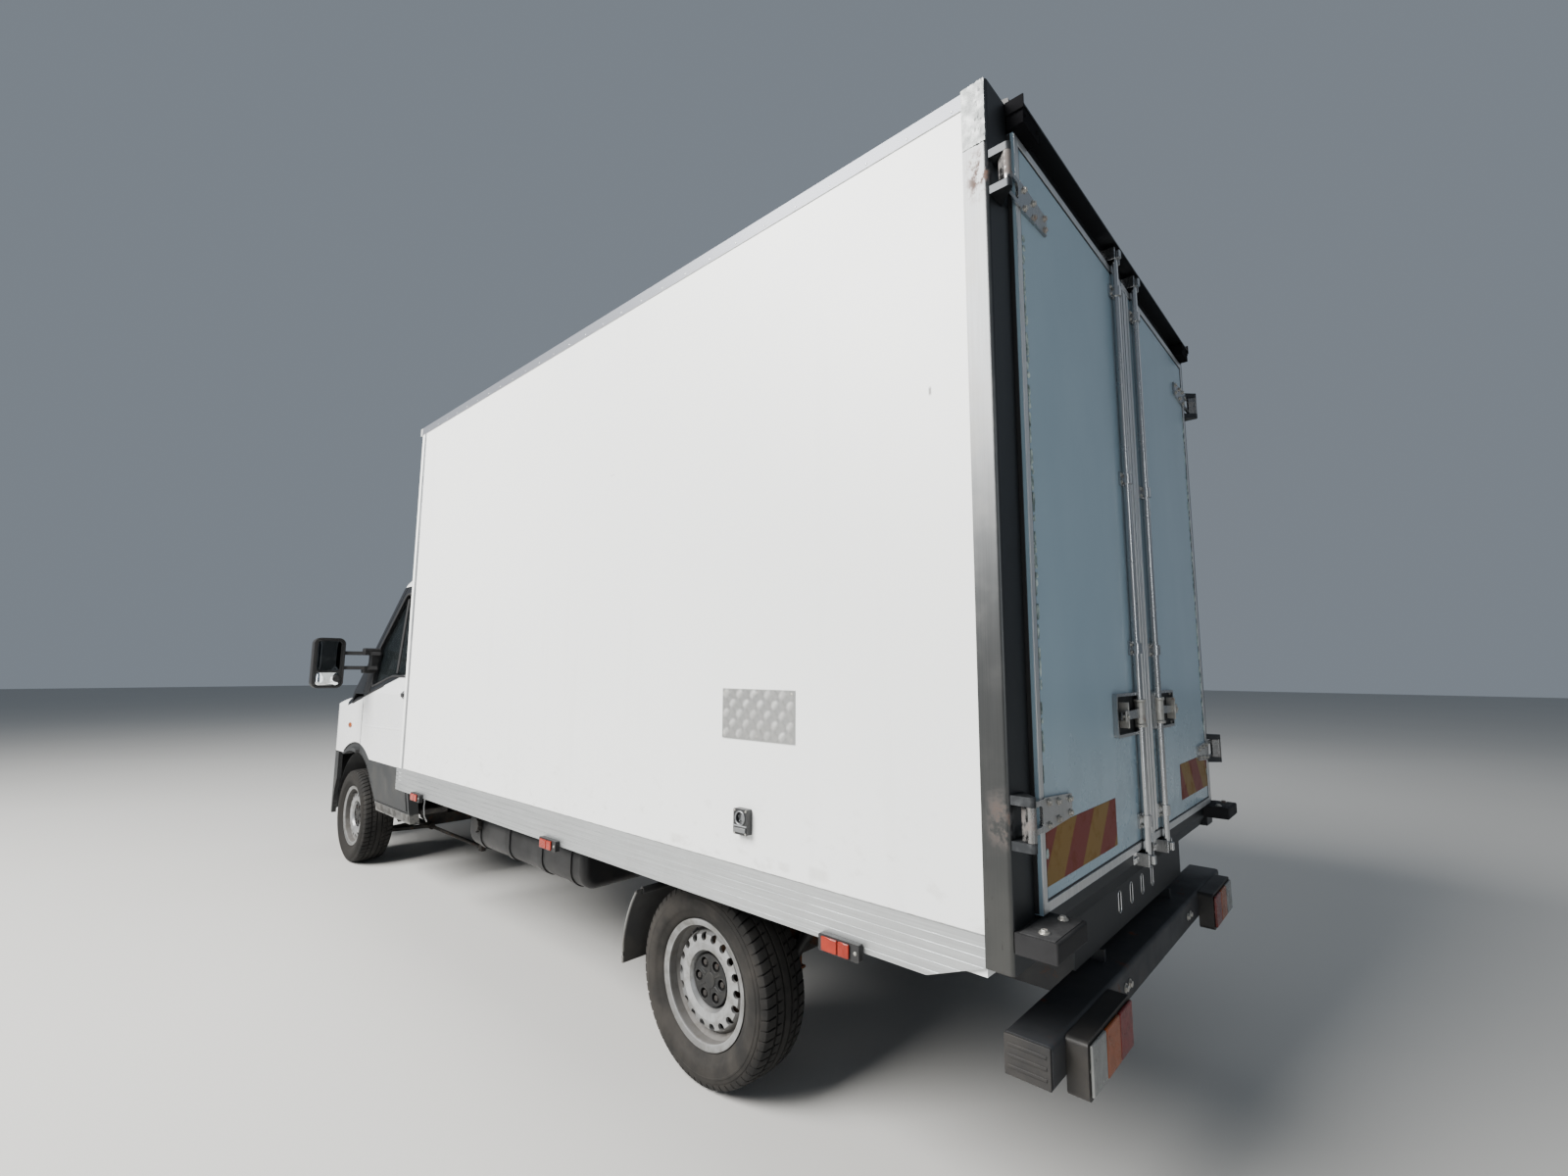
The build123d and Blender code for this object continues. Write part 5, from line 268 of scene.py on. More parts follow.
def cab_paint_look():
    """White clear-coated paint, black round the side windows, dark cladding on sides and arches."""
    look = Look("cab_paint")
    out = look.out
    grime = look.both(look.fade(look.noise(7.0, 6.0, 0.62), 0.35, 0.75), look.fade(look.z, 0.6, 1.25, 1.0, 0.0))
    cloud = look.fade(look.noise(1.4, 3.0), 0.3, 0.7)
    tone = look.mix(cloud, (0.80, 0.81, 0.81), (0.74, 0.755, 0.765))
    tone = look.stain(tone, grime, 0.35, (0.50, 0.47, 0.42))
    # above the belt line, from the windscreen's foot back to the door's rear edge
    over = look.math("SUBTRACT", look.z, look.math("MULTIPLY", look.y, BELT_SLOPE))
    band = look.both(look.fade(over, BELT_BASE - 0.001, BELT_BASE + 0.001), look.fade(look.z, 2.088, 2.086),
                     look.within(look.y, -2.52, -1.107, 0.001), look.fade(out, 0.70, 0.72))
    tone = look.mix(band, tone, (0.008, 0.0085, 0.010))
    # cladding: below its line on the flanks, and the ring round the front arch
    ring = look.both(look.fade(look.radius(FRONT_AXLE_Y), 0.556, 0.554), look.fade(out, 0.86, 0.87))
    low = look.fade(look.z, CLADDING_TOP + 0.001, CLADDING_TOP - 0.001)
    clad = look.math("MAXIMUM", ring, low)
    drift = look.fade(look.noise(5.0, 5.0, offset=6.0), 0.35, 0.7)
    grey = look.mix(drift, (0.022, 0.0235, 0.025), (0.016, 0.0175, 0.019))
    sill = look.both(look.fade(look.z, 0.515, 0.505),
                     look.fade(look.noise(22.0, 7.0, 0.7, (1.0, 0.3, 1.6)), 0.36, 0.5))
    grey = look.mix(sill, grey, (0.13, 0.128, 0.122))
    tone = look.mix(clad, tone, grey)
    # painted shadow line along the gap in front of the door
    gap = look.both(look.within(look.y, FRONT_AXLE_Y + 0.083, FRONT_AXLE_Y + 0.097, 0.0015),
                    look.fade(out, 0.86, 0.87), look.within(look.z, 0.80, 1.20, 0.002))
    tone = look.stain(tone, gap, 0.85, (0.05, 0.05, 0.05))
    look.bump(look.noise(60.0, 2.0), 0.02, 0.001)
    level = look.blend(band, look.blend(grime, 0.26, 0.55), 0.34)
    coat = look.math("MULTIPLY", look.math("SUBTRACT", 1.0, look.math("MAXIMUM", band, clad)), 0.5)
    look.finish(tone, look.blend(clad, level, 0.6), Coat_Weight=coat, Coat_Roughness=0.06)


def cladding_look():
    """Dark grey grained plastic, paler and scuffed at its lower edge."""
    look = Look("cladding")
    drift = look.fade(look.noise(5.0, 5.0), 0.35, 0.7)
    tone = look.mix(drift, (0.026, 0.0275, 0.029), (0.019, 0.0205, 0.022))
    sill = look.fade(look.z, 0.40, 0.52, 1.0, 0.0)
    scuffed = look.fade(look.noise(22.0, 7.0, 0.7, (0.5, 0.3, 1.6)), 0.56, 0.66)
    tone = look.stain(tone, look.both(sill, scuffed), 0.4, (0.20, 0.19, 0.18))
    dusty = look.math("MULTIPLY", look.fade(look.noise(10.0, 6.0), 0.35, 0.75), 0.25)
    tone = look.mix(dusty, tone, (0.10, 0.095, 0.085))
    look.bump(look.noise(520.0, 3.0, 0.6), 0.25, 0.0006)
    look.finish(tone, look.blend(dusty, 0.58, 0.8), Specular_IOR_Level=0.3)


def wall_look(name, clean, stained):
    """White glass-fibre skin: faint ripples, dirt runs and spots near its foot, grey metal roof edge."""
    look = Look(name)
    cloud = look.fade(look.noise(0.55, 4.0, 0.5, offset=2.0), 0.3, 0.7)
    tone = look.mix(cloud, clean, stained)
    foot = look.fade(look.z, 0.86, 1.25, 1.0, 0.0)
    spots = look.fade(look.noise(11.0, 5.0, 0.6, (1.0, 1.0, 1.6)), 0.56, 0.70)
    tone = look.stain(tone, look.both(foot, spots), 0.30, (0.42, 0.41, 0.37))
    runs = look.fade(look.noise(9.0, 3.0, 0.5, (1.0, 1.0, 0.06), 5.0), 0.58, 0.74)
    tone = look.stain(tone, runs, 0.08, (0.52, 0.52, 0.49))
    left = look.fade(look.x, 1.090, 1.095)
    for y, z, half_y, half_z, depth, mark in WALL_MARKS:
        spot = look.both(left, look.within(look.y, y - half_y, y + half_y, half_y * 0.5),
                         look.within(look.z, z - half_z, z + half_z, half_z * 0.5))
        tone = look.mix(look.math("MULTIPLY", spot, depth), tone, mark)
    out = look.out
    edge = look.both(look.fade(out, 1.0405, 1.0415), look.fade(look.z, 3.0135, 3.0145))
    tone = look.mix(edge, tone, (0.175, 0.185, 0.21))
    lead = look.both(look.fade(look.y, -0.856, -0.862), look.fade(out, 1.02, 1.03))
    tone = look.mix(lead, tone, (0.55, 0.56, 0.56))
    look.bump(look.noise(2.6, 2.0, 0.4), 0.10, 0.006)
    look.bump(look.noise(320.0, 2.0), 0.05, 0.0005)
    look.finish(tone, look.blend(edge, look.blend(cloud, 0.34, 0.42), 0.40), look.blend(edge, 0.0, 0.35))


def floor_look():
    """Grained grey floor; its underside and joists near black, partly underseal and partly painted shade of the
    underbody.
    """
    look = Look("grp_floor")
    drift = look.fade(look.noise(6.0, 5.0), 0.35, 0.65)
    tone = look.mix(drift, (0.30, 0.305, 0.31), (0.22, 0.22, 0.215))
    # near black below the floor's top: underseal colour darkened further as painted shade of the underbody
    underseal_and_shade = look.fade(look.z, 0.858, 0.862, 1.0, 0.0)
    dusty = look.fade(look.noise(5.0, 6.0, 0.62, offset=5.0), 0.4, 0.75)
    tone = look.mix(underseal_and_shade, tone, look.mix(dusty, (0.012, 0.012, 0.013), (0.045, 0.040, 0.034)))
    look.bump(look.noise(420.0, 3.0), 0.6, 0.002)
    look.finish(tone, look.blend(drift, 0.8, 0.92), Specular_IOR_Level=0.3)


def metal_look(name, colour, rough, streak, dirt=0.3, hinges=False, painted_shade=False, tray=False):
    """Brushed metal: fine streaks along one axis, smudges, scratches, rust beside the hinges; for the stainless,
    painted shade on all but its outer flank, and the flank darker towards the bottom, partly dirt and partly painted
    shade.
    """
    look = Look(name)
    lines = look.noise(260.0, 4.0, 0.6, streak)
    smudge = look.fade(look.noise(4.0, 6.0, 0.6, offset=4.0), 0.38, 0.72)
    tone = look.mix(look.fade(lines, 0.35, 0.65), colour, shade(colour, 0.86))
    tone = look.mix(look.math("MULTIPLY", smudge, dirt), tone, (0.30, 0.29, 0.27))
    level = look.blend(smudge, rough, rough + 0.14)
    metal = 1.0
    if hinges:
        out = look.out
        for height in HINGE_ROWS:
            near = look.both(look.within(look.z, height - 0.05, height + 0.055, 0.035),
                             look.fade(out, 1.04, 1.10), look.fade(look.y, 3.06, 3.10))
            spots = look.fade(look.noise(32.0, 7.0, 0.72, (1.0, 1.0, 0.8), height), 0.44, 0.60)
            stain = look.both(near, spots)
            tone = look.stain(tone, stain, 0.85, RUST)
            level = look.blend(stain, level, 0.85)
            metal = look.blend(stain, metal, 0.1)
        wear = look.both(look.fade(look.z, 0.82, 1.04, 1.0, 0.0),
                         look.fade(look.noise(48.0, 5.0, 0.75, (1.0, 1.0, 0.25)), 0.60, 0.66))
        tone = look.stain(tone, wear, 0.75, (0.06, 0.055, 0.05))
        level = look.blend(wear, level, 0.8)
    if painted_shade:
        # painted shade: faces not on the outer flank (the posts' rear faces, header, sill and apron) are set near
        # black
        rear = look.fade(look.out, 1.0968, 1.0982, 1.0, 0.0)
        # darker towards the bottom: partly dirt, partly painted shade
        film = look.fade(look.z, 0.85, 2.3, 0.74, 0.25)
        tone = look.mix(rear, look.mix(film, tone, (0.055, 0.056, 0.054)), (0.050, 0.053, 0.057))
        level = look.blend(rear, level, 0.5)
    if tray:
        # painted shade: hinge parts standing out past the flank, where the key light falls on them, are darkened
        tone = look.mix(look.fade(look.out, 0.985, 1.03, 0.0, 0.7), tone, (0.10, 0.098, 0.095))
        inside = look.both(look.within(look.out, 0.100, 0.350, 0.001),
                           look.within(look.z, 1.280, 1.400, 0.001), look.fade(look.y, 3.1518, 3.1526, 1.0, 0.0))
        tone = look.mix(inside, tone, (0.020, 0.021, 0.022))
        level = look.blend(inside, level, 0.6)
    look.bump(lines, 0.06, 0.0006)
    look.bump(look.noise(7.0, 3.0), 0.05, 0.003)
    look.finish(tone, level, metal)


def fittings_look():
    """Aluminium chequer plate over a dark plastic inlet."""
    look = Look("fittings")
    plate = look.fade(look.z, 1.10, 1.12)
    drift = look.fade(look.noise(9.0, 6.0, 0.6), 0.35, 0.7)
    tone = look.mix(plate, (0.014, 0.0145, 0.016), look.mix(drift, (0.42, 0.425, 0.42), (0.33, 0.33, 0.32)))
    look.bump(look.noise(240.0, 3.0), 0.1, 0.0005)
    look.finish(tone, look.blend(drift, 0.36, 0.5), look.math("MULTIPLY", plate, 0.85))


def door_look():
    """Glossy white door skin, coloured here dark blue-grey as painted shade with a painted reflection of blue sky,
    with long faint waves and dusty lower part.
    """
    look = Look("door_white")
    cloud = look.fade(look.noise(1.1, 5.0, 0.55, (1.0, 1.0, 0.5)), 0.3, 0.7)
    # painted shade and painted sky reflection: the door's white is set as dark blue-grey
    tone = look.mix(cloud, (0.26, 0.36, 0.43), (0.215, 0.31, 0.375))
    film = look.both(look.fade(look.z, 0.9, 1.5, 1.0, 0.0), look.fade(look.noise(8.0, 6.0, 0.65), 0.4, 0.7))
    tone = look.stain(tone, film, 0.25, (0.22, 0.23, 0.22))
    look.bump(look.noise(3.2, 2.0, 0.4, (1.0, 1.0, 0.35)), 0.12, 0.004)
    look.finish(tone, look.blend(film, 0.24, 0.42), Coat_Weight=0.25, Coat_Roughness=0.12)


def zinc_look():
    """Galvanised steel with spangles, dull and dirty."""
    look = Look("galvanised")
    grains = look.cells(55.0)
    split = look.add("ShaderNodeSeparateColor")
    look.wire(grains.outputs["Color"], split.inputs[0])
    tone = look.mix(split.outputs[0], (0.34, 0.35, 0.35), (0.24, 0.245, 0.25))
    dirt = look.fade(look.noise(6.0, 6.0, 0.65), 0.35, 0.72)
    tone = look.stain(tone, dirt, 0.55, (0.10, 0.095, 0.085))
    look.finish(tone, look.blend(dirt, 0.42, 0.75), look.blend(dirt, 0.85, 0.3))


def rim_look(name, wheel_x, axle_y):
    """Silver rim with road grime, dark plastic cap, rusty brake disc behind."""
    look = Look(name)
    reach = look.radius(axle_y)
    out = look.out
    drift = look.fade(look.noise(24.0, 6.0, 0.65), 0.40, 0.72)
    tone = look.mix(drift, (0.38, 0.385, 0.39), (0.24, 0.235, 0.22))
    well = look.both(look.within(reach, 0.168, 0.215, 0.006), look.fade(out, wheel_x + 0.088, wheel_x + 0.075))
    tone = look.stain(tone, well, 0.78, (0.050, 0.043, 0.036))
    flange = look.both(look.fade(reach, 0.196, 0.204), look.fade(look.noise(9.0, 5.0, 0.6, offset=2.0), 0.25, 0.6))
    tone = look.stain(tone, flange, 0.55, (0.10, 0.095, 0.085))
    cap = look.both(look.fade(reach, 0.0935, 0.0925), look.fade(out, wheel_x + 0.0195, wheel_x + 0.0205))
    tone = look.mix(cap, tone, look.mix(drift, (0.010, 0.0105, 0.011), (0.022, 0.021, 0.020)))
    brake = look.both(look.fade(out, wheel_x + 0.006, wheel_x + 0.004), look.fade(reach, 0.165, 0.16))
    tone = look.mix(brake, tone, (0.075, 0.043, 0.026))
    painted = look.math("MAXIMUM", cap, brake)
    look.bump(look.noise(160.0, 3.0), 0.12, 0.0006)
    look.finish(tone, look.blend(painted, look.blend(well, look.blend(drift, 0.30, 0.5), 0.75), 0.55),
                look.blend(painted, look.blend(well, 0.75, 0.2), 0.05), Specular_IOR_Level=0.3)


def tyre_look(name, axle_y, dust):
    """Dusty rubber: brown bloom on the sidewall, darker tread; the bloom's tone is scaled by a share, which for the
    front tyres is a painted shade of the arches.
    """
    look = Look(name)
    reach = look.radius(axle_y)
    dusty = look.fade(look.noise(8.0, 6.0, 0.62), 0.25, 0.7)
    tone = look.mix(dusty, (0.012, 0.0115, 0.011), shade((0.033, 0.0295, 0.026), dust))
    tread = look.fade(reach, 0.312, 0.334)
    tone = look.mix(tread, tone, look.mix(dusty, (0.009, 0.009, 0.009), (0.022, 0.0205, 0.019)))
    look.bump(look.noise(260.0, 4.0, 0.6), 0.22, 0.0008)
    look.finish(tone, 0.82, Specular_IOR_Level=0.25)


def stripe_look(name, lean):
    """Hazard tape: slanting red and yellow bands on honeycomb film, faded and scratched; the bands' colours are set
    dark as painted shade.
    """
    look = Look(name)
    along = look.math("ADD", look.x, look.math("MULTIPLY", look.z, lean))
    phase = look.math("FRACT", look.math("ADD", look.math("MULTIPLY", along, 1 / 0.28), 10.323))
    band = look.within(phase, 0.0, 0.5, 0.006)
    # painted shade: the red and yellow are set much darker than the tape's own colours
    tone = look.mix(band, (0.125, 0.012, 0.008), (0.165, 0.092, 0.012))
    honey = look.cells(150.0, "DISTANCE_TO_EDGE")
    net = look.fade(honey.outputs["Distance"], 0.02, 0.08, 0.16, 0.0)
    tone = look.mix(net, tone, (0.13, 0.078, 0.03))
    worn = look.fade(look.noise(16.0, 7.0, 0.7), 0.48, 0.72)
    tone = look.stain(tone, worn, 0.35, (0.13, 0.065, 0.035))
    look.finish(tone, look.blend(worn, 0.45, 0.7), Specular_IOR_Level=0.3)


def glass_look(name, tint, clear):
    """Pane: see-through tint under a glossy surface."""
    look = Look(name)
    see = look.add("ShaderNodeBsdfTransparent")
    look.wire(tint, see.inputs[0])
    both = look.add("ShaderNodeMixShader")
    out = look.tree.nodes["Material Output"]
    streak = look.fade(look.noise(5.0, 5.0, 0.6), 0.4, 0.75)
    fresnel = look.add("ShaderNodeFresnel")
    fresnel.inputs["IOR"].default_value = 1.5
    body = look.math("ADD", fresnel.outputs[0], 1.0 - clear)
    body = look.math("MINIMUM", look.math("ADD", body, look.math("MULTIPLY", streak, 0.05)), 1.0)
    look.wire(body, both.inputs[0])
    look.wire(see.outputs[0], both.inputs[1])
    look.wire(look.shader.outputs[0], both.inputs[2])
    look.wire(both.outputs[0], out.inputs["Surface"])
    look.finish(look.mix(streak, (0.015, 0.018, 0.02), (0.03, 0.033, 0.034)), 0.05)


def lens_look(name, colour, pitch):
    """Ribbed coloured lens."""
    look = Look(name)
    wave = look.add("ShaderNodeTexWave")
    wave.inputs["Scale"].default_value = pitch
    look.wire(look.place, wave.inputs["Vector"])
    drift = look.fade(look.noise(26.0, 5.0), 0.4, 0.7)
    look.bump(wave.outputs["Fac"], 0.5, 0.002)
    tone = look.mix(drift, colour, shade(colour, 0.7))
    look.finish(tone, look.blend(drift, 0.14, 0.3), Specular_IOR_Level=0.3, Coat_Weight=0.25, Coat_Roughness=0.05)


def cloth_look():
    """Woven seat cloth, charcoal with lighter threads."""
    look = Look("seat_fabric")
    warp = look.add("ShaderNodeTexWave", bands_direction="X")
    weft = look.add("ShaderNodeTexWave", bands_direction="Z")
    for wave in (warp, weft):
        wave.inputs["Scale"].default_value = 260.0
        look.wire(look.place, wave.inputs["Vector"])
    weave = look.math("MULTIPLY", warp.outputs["Fac"], weft.outputs["Fac"])
    tone = look.mix(look.fade(weave, 0.1, 0.8), (0.040, 0.043, 0.050), (0.085, 0.09, 0.10))
    tone = look.stain(tone, look.fade(look.noise(6.0, 5.0), 0.4, 0.75), 0.3, (0.12, 0.11, 0.10))
    look.bump(weave, 0.4, 0.001)
    look.finish(tone, 0.9, Sheen_Weight=0.3, Sheen_Roughness=0.4)


def mirror_look(name, clean, filmed):
    """Silvered mirror with a dusty film."""
    look = Look(name)
    film = look.fade(look.noise(14.0, 6.0, 0.6), 0.45, 0.8)
    look.finish(look.mix(film, clean, filmed), look.blend(film, 0.03, 0.18), 1.0)


UP_STREAK = (1.0, 1.0, 0.015)
LONG_STREAK = (1.0, 0.012, 1.0)
cab_paint_look()
cladding_look()
wall_look("grp_white", (0.83, 0.84, 0.83), (0.78, 0.795, 0.79))
plain_look("unit_white", (0.74, 0.745, 0.73), 0.45, other=(0.68, 0.685, 0.67), grain=(300.0, 0.1, 0.0005))
floor_look()
metal_look("rail_aluminium", (0.60, 0.62, 0.63), 0.42, LONG_STREAK, 0.22)
metal_look("stainless", (0.115, 0.12, 0.125), 0.36, UP_STREAK, 0.40, hinges=True, painted_shade=True)
metal_look("gear_steel", (0.46, 0.47, 0.48), 0.20, UP_STREAK, 0.35, hinges=True, tray=True)
zinc_look()
fittings_look()
door_look()
glass_look("window_glass", (0.42, 0.50, 0.50), 0.93)
glass_look("lamp_clear", (0.80, 0.83, 0.85), 0.95)
cloth_look()
mirror_look("mirror_glass", (0.80, 0.83, 0.85), (0.6, 0.61, 0.6))
lens_look("red_lens", (0.14, 0.006, 0.005), 55.0)
lens_look("side_lens", (0.26, 0.014, 0.003), 55.0)
lens_look("amber_lens", (0.24, 0.055, 0.008), 55.0)
lens_look("clear_lens", (0.20, 0.205, 0.20), 55.0)
stripe_look("tape_left", 0.80)
stripe_look("tape_right", -0.80)
metal_look("strip_aluminium", (0.66, 0.67, 0.68), 0.34, UP_STREAK, 0.2)
plain_look("patch_foil", (0.27, 0.28, 0.28), 0.35, 0.35, other=(0.16, 0.17, 0.17), patch=26.0,
           grain=(60.0, 0.5, 0.002))
metal_look("chrome", (0.72, 0.73, 0.74), 0.14, UP_STREAK, 0.12)
plain_look("silicone", (0.44, 0.52, 0.50), 0.6, other=(0.10, 0.14, 0.14), patch=38.0, grain=(90.0, 0.8, 0.004))
for wheel_row in ("front", "rear"):
    row_x = WHEELS[wheel_row + "_left"][1]
    row_y = WHEELS[wheel_row + "_left"][2]
    rim_look("rim_" + wheel_row, row_x, row_y)
    # the front tyres' dusty tone is cut to 0.45: painted shade of the arches
    tyre_look("tyre_" + wheel_row, row_y, 0.45 if wheel_row == "front" else 1.0)

# Every CAD node gets the finish of its slot
slots = {part["node"]: part["material_slot"] for part in frame["record"]["subparts"]}
for name, item in frame["nodes"].items():
    slot = slots[name]
    if slot == "rim_steel":
        slot = "rim_" + name.split("_")[1]
    if slot == "tyre":
        slot = "tyre_" + name.split("_")[1]
    if name == "wall_fittings":
        slot = "fittings"
    if name.startswith("door_gear"):
        slot = "gear_steel"
    if not item.data.materials:
        item.data.materials.append(looks[slot])
    for place in item.material_slots:
        place.material = looks[slot]


# ---------------------------------------------------------------- mesh tools
def block(mesh, x0, x1, y0, y1, z0, z1):
    """Box between two corners."""
    corners = [mesh.verts.new((x, y, z)) for z in (z0, z1) for y in (y0, y1) for x in (x0, x1)]
    for loop in ((0, 2, 3, 1), (4, 5, 7, 6), (0, 1, 5, 4), (2, 6, 7, 3), (1, 3, 7, 5), (0, 4, 6, 2)):
        mesh.faces.new([corners[i] for i in loop])


def side_block(mesh, side, near, far, *rest):
    """Box on one side of the middle plane, between two distances from it."""
    block(mesh, *sorted((side * near, side * far)), *rest)


def round_bar(mesh, start, end, radius, end_radius=None, sides=20):
    """Cylinder or cone between two points."""
    start, end = Vector(start), Vector(end)
    span = end - start
    turn = span.to_track_quat("Z", "Y").to_matrix().to_4x4()
    bmesh.ops.create_cone(
        mesh, cap_ends=True, segments=sides, radius1=radius,
        radius2=radius if end_radius is None else end_radius, depth=span.length,
        matrix=Matrix.Translation((start + end) / 2) @ turn)


def ball(mesh, centre, radius, squash=(1.0, 1.0, 1.0), sides=16):
    bmesh.ops.create_uvsphere(
        mesh, u_segments=sides, v_segments=sides // 2, radius=radius,
        matrix=Matrix.Translation(centre) @ Matrix.Diagonal((*squash, 1.0)))


def bolt(mesh, centre, direction, radius=0.008, tall=0.006):
    """Hexagon head on a washer."""
    centre, direction = Vector(centre), Vector(direction)
    round_bar(mesh, centre, centre + direction * tall * 0.3, radius * 1.35)
    round_bar(mesh, centre + direction * tall * 0.3, centre + direction * tall, radius, radius * 0.92, 6)


def join_rings(mesh, one, two):
    """Faces between two closed rings with as many corners."""
    count = len(one)
    for k in range(count):
        n = (k + 1) % count
        mesh.faces.new((one[k], one[n], two[n], two[k]))


def prism(mesh, outline, axis, low, high):
    """Closed outline in a plane, drawn out along an axis: 0 is X, 1 is Y, 2 is Z."""
    rings = []
    for level in (low, high):
        ring = []
        for a, b in outline:
            place = [a, b]
            place.insert(axis, level)
            ring.append(mesh.verts.new(place))
        rings.append(ring)
    join_rings(mesh, *rings)
    mesh.faces.new(rings[0])
    mesh.faces.new(rings[1][::-1])


def sweep(mesh, points, section, closed=False, up=(0.0, 0.0, 1.0)):
    """Section of (side, up) pairs carried along points."""
    points = [Vector(point) for point in points]
    rings = []
    count = len(points)
    for i, point in enumerate(points):
        before = points[i - 1] if closed or i else point
        after = points[(i + 1) % count] if closed or i < count - 1 else point
        ahead = (after - before).normalized()
        across = ahead.cross(Vector(up)).normalized()
        above = across.cross(ahead)
        rings.append([mesh.verts.new(point + across * a + above * b) for a, b in section])
    for i in range(count if closed else count - 1):
        join_rings(mesh, rings[i], rings[(i + 1) % count])
    if not closed:
        mesh.faces.new(rings[0][::-1])
        mesh.faces.new(rings[-1])


def circle_section(radius, sides=10):
    return [(radius * math.cos(math.tau * i / sides), radius * math.sin(math.tau * i / sides)) for i in range(sides)]


def on_wheel(x, axle_y, reach, turn):
    """Point at a distance from an axle."""
    return Vector((x, axle_y + reach * math.cos(turn), HUB_Z + reach * math.sin(turn)))


def add_piece(mesh, name, look, bevel=0.0, smooth=40.0, rounds=2, body="chassis"):
    """Turn a bmesh into a piece that rides on a body."""
    bmesh.ops.recalc_face_normals(mesh, faces=mesh.faces)
    data = bpy.data.meshes.new(name)
    mesh.to_mesh(data)
    mesh.free()
    item = bpy.data.objects.new(name, data)
    bpy.context.scene.collection.objects.link(item)
    data.materials.append(looks[look])
    if bevel:
        edge = item.modifiers.new("edges", "BEVEL")
        edge.width = bevel
        edge.segments = rounds
        edge.limit_method = "ANGLE"
        edge.angle_limit = math.radians(35)
    data.polygons.foreach_set("use_smooth", [True] * len(data.polygons))
    data.set_sharp_from_angle(angle=math.radians(smooth))
    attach(item, body)
    return item


def freeze(item):
    """Turn what an object's modifiers make of it into its mesh."""
    data = bpy.data.meshes.new_from_object(item.evaluated_get(bpy.context.evaluated_depsgraph_get()))
    item.modifiers.clear()
    item.data = data
    return data


def skin_of(*nodes):
    """Search tree over the surfaces of some CAD nodes."""
    corners, faces = [], []
    for node in nodes:
        data = frame["nodes"][node].data
        first = len(corners)
        corners += [vert.co.copy() for vert in data.vertices]
        faces += [[first + index for index in face.vertices] for face in data.polygons]
    return BVHTree.FromPolygons(corners, faces)


def meet(tree, start, way):
    """First point of the surface on a ray."""
    found = tree.ray_cast(Vector(start), Vector(way))[0]
    if found is None:
        raise ValueError("no surface from %s along %s" % (tuple(start), tuple(way)))
    return found


def drape(mesh, tree, grid, way, lift, sink=0.0015):
    """Panel over a surface: a grid of start points carried along a way onto it, lifted off and closed below."""
    way = Vector(way)
    top, low = [[[mesh.verts.new(meet(tree, point, way) - way * rise) for point in row] for row in grid]
                for rise in (lift, -sink)]
    rows, columns = len(grid), len(grid[0])
    for i in range(rows - 1):
        for k in range(columns - 1):
            mesh.faces.new((top[i][k], top[i][k + 1], top[i + 1][k + 1], top[i + 1][k]))
            mesh.faces.new((low[i][k], low[i + 1][k], low[i + 1][k + 1], low[i][k + 1]))
    rim = [(i, 0) for i in range(rows)] + [(rows - 1, k) for k in range(1, columns)]
    rim += [(i, columns - 1) for i in range(rows - 2, -1, -1)] + [(0, k) for k in range(columns - 2, 0, -1)]
    for (a, b), (c, d) in zip(rim, rim[1:] + rim[:1]):
        mesh.faces.new((top[a][b], top[c][d], low[c][d], low[a][b]))


def steps(low, high, count):
    return [low + (high - low) * index / count for index in range(count + 1)]


def beading(mesh, tree, path, way, wide, tall, closed=False):
    """Flat rubber strip that follows a surface."""
    way = Vector(way)
    points = [meet(tree, point, way) - way * (tall / 2 - 0.001) for point in path]
    section = [(-wide / 2, -tall / 2), (wide / 2, -tall / 2), (wide / 2, tall * 0.2), (wide * 0.3, tall / 2),
               (-wide * 0.3, tall / 2), (-wide / 2, tall * 0.2)]
    sweep(mesh, points, section, closed, tuple(-way))


# ---------------------------------------------------------------- wheels
TREAD_BLOCKS = 60
NUT_CIRCLE = 0.062
GROOVES = (0.018, 0.052)


def tyre_profile():
    """Section of the tyre from its inner bead round to its outer one: (side offset, radius, kind)."""
    half = [
        (0.076, 0.2034, 0), (0.0775, 0.214, 0), (0.083, 0.222, 0), (0.0895, 0.226, 0), (0.0935, 0.231, 0),
        (0.0985, 0.240, 0), (0.1045, 0.252, 0), (0.1060, 0.2535, 0), (0.1090, 0.266, 0), (0.1105, 0.276, 0),
        (0.1105, 0.290, 0), (0.1112, 0.291, 0), (0.1104, 0.2965, 0), (0.1092, 0.297, 0), (0.1060, 0.309, 0),
        (0.1042, 0.3095, 0), (0.1020, 0.317, 2), (0.0985, 0.326, 1), (0.0935, 0.3345, 1), (0.0850, 0.3385, 1),
        (0.0700, 0.3405, 1),
    ]
    for centre in reversed(GROOVES):
        crown = 0.345 - 0.0085 * (centre / 0.09) ** 2
        half += [(centre + 0.0055, crown, 1), (centre + 0.0040, crown - 0.0075, 0),
                 (centre - 0.0040, crown - 0.0075, 0), (centre - 0.0055, crown, 1)]
        half.append((centre - 0.012, 0.345 - 0.0085 * ((centre - 0.012) / 0.09) ** 2, 1))
    half.append((0.0, 0.345, 1))
    mirrored = [(-offset, reach, kind) for offset, reach, kind in half[-2::-1]]
    return half + mirrored


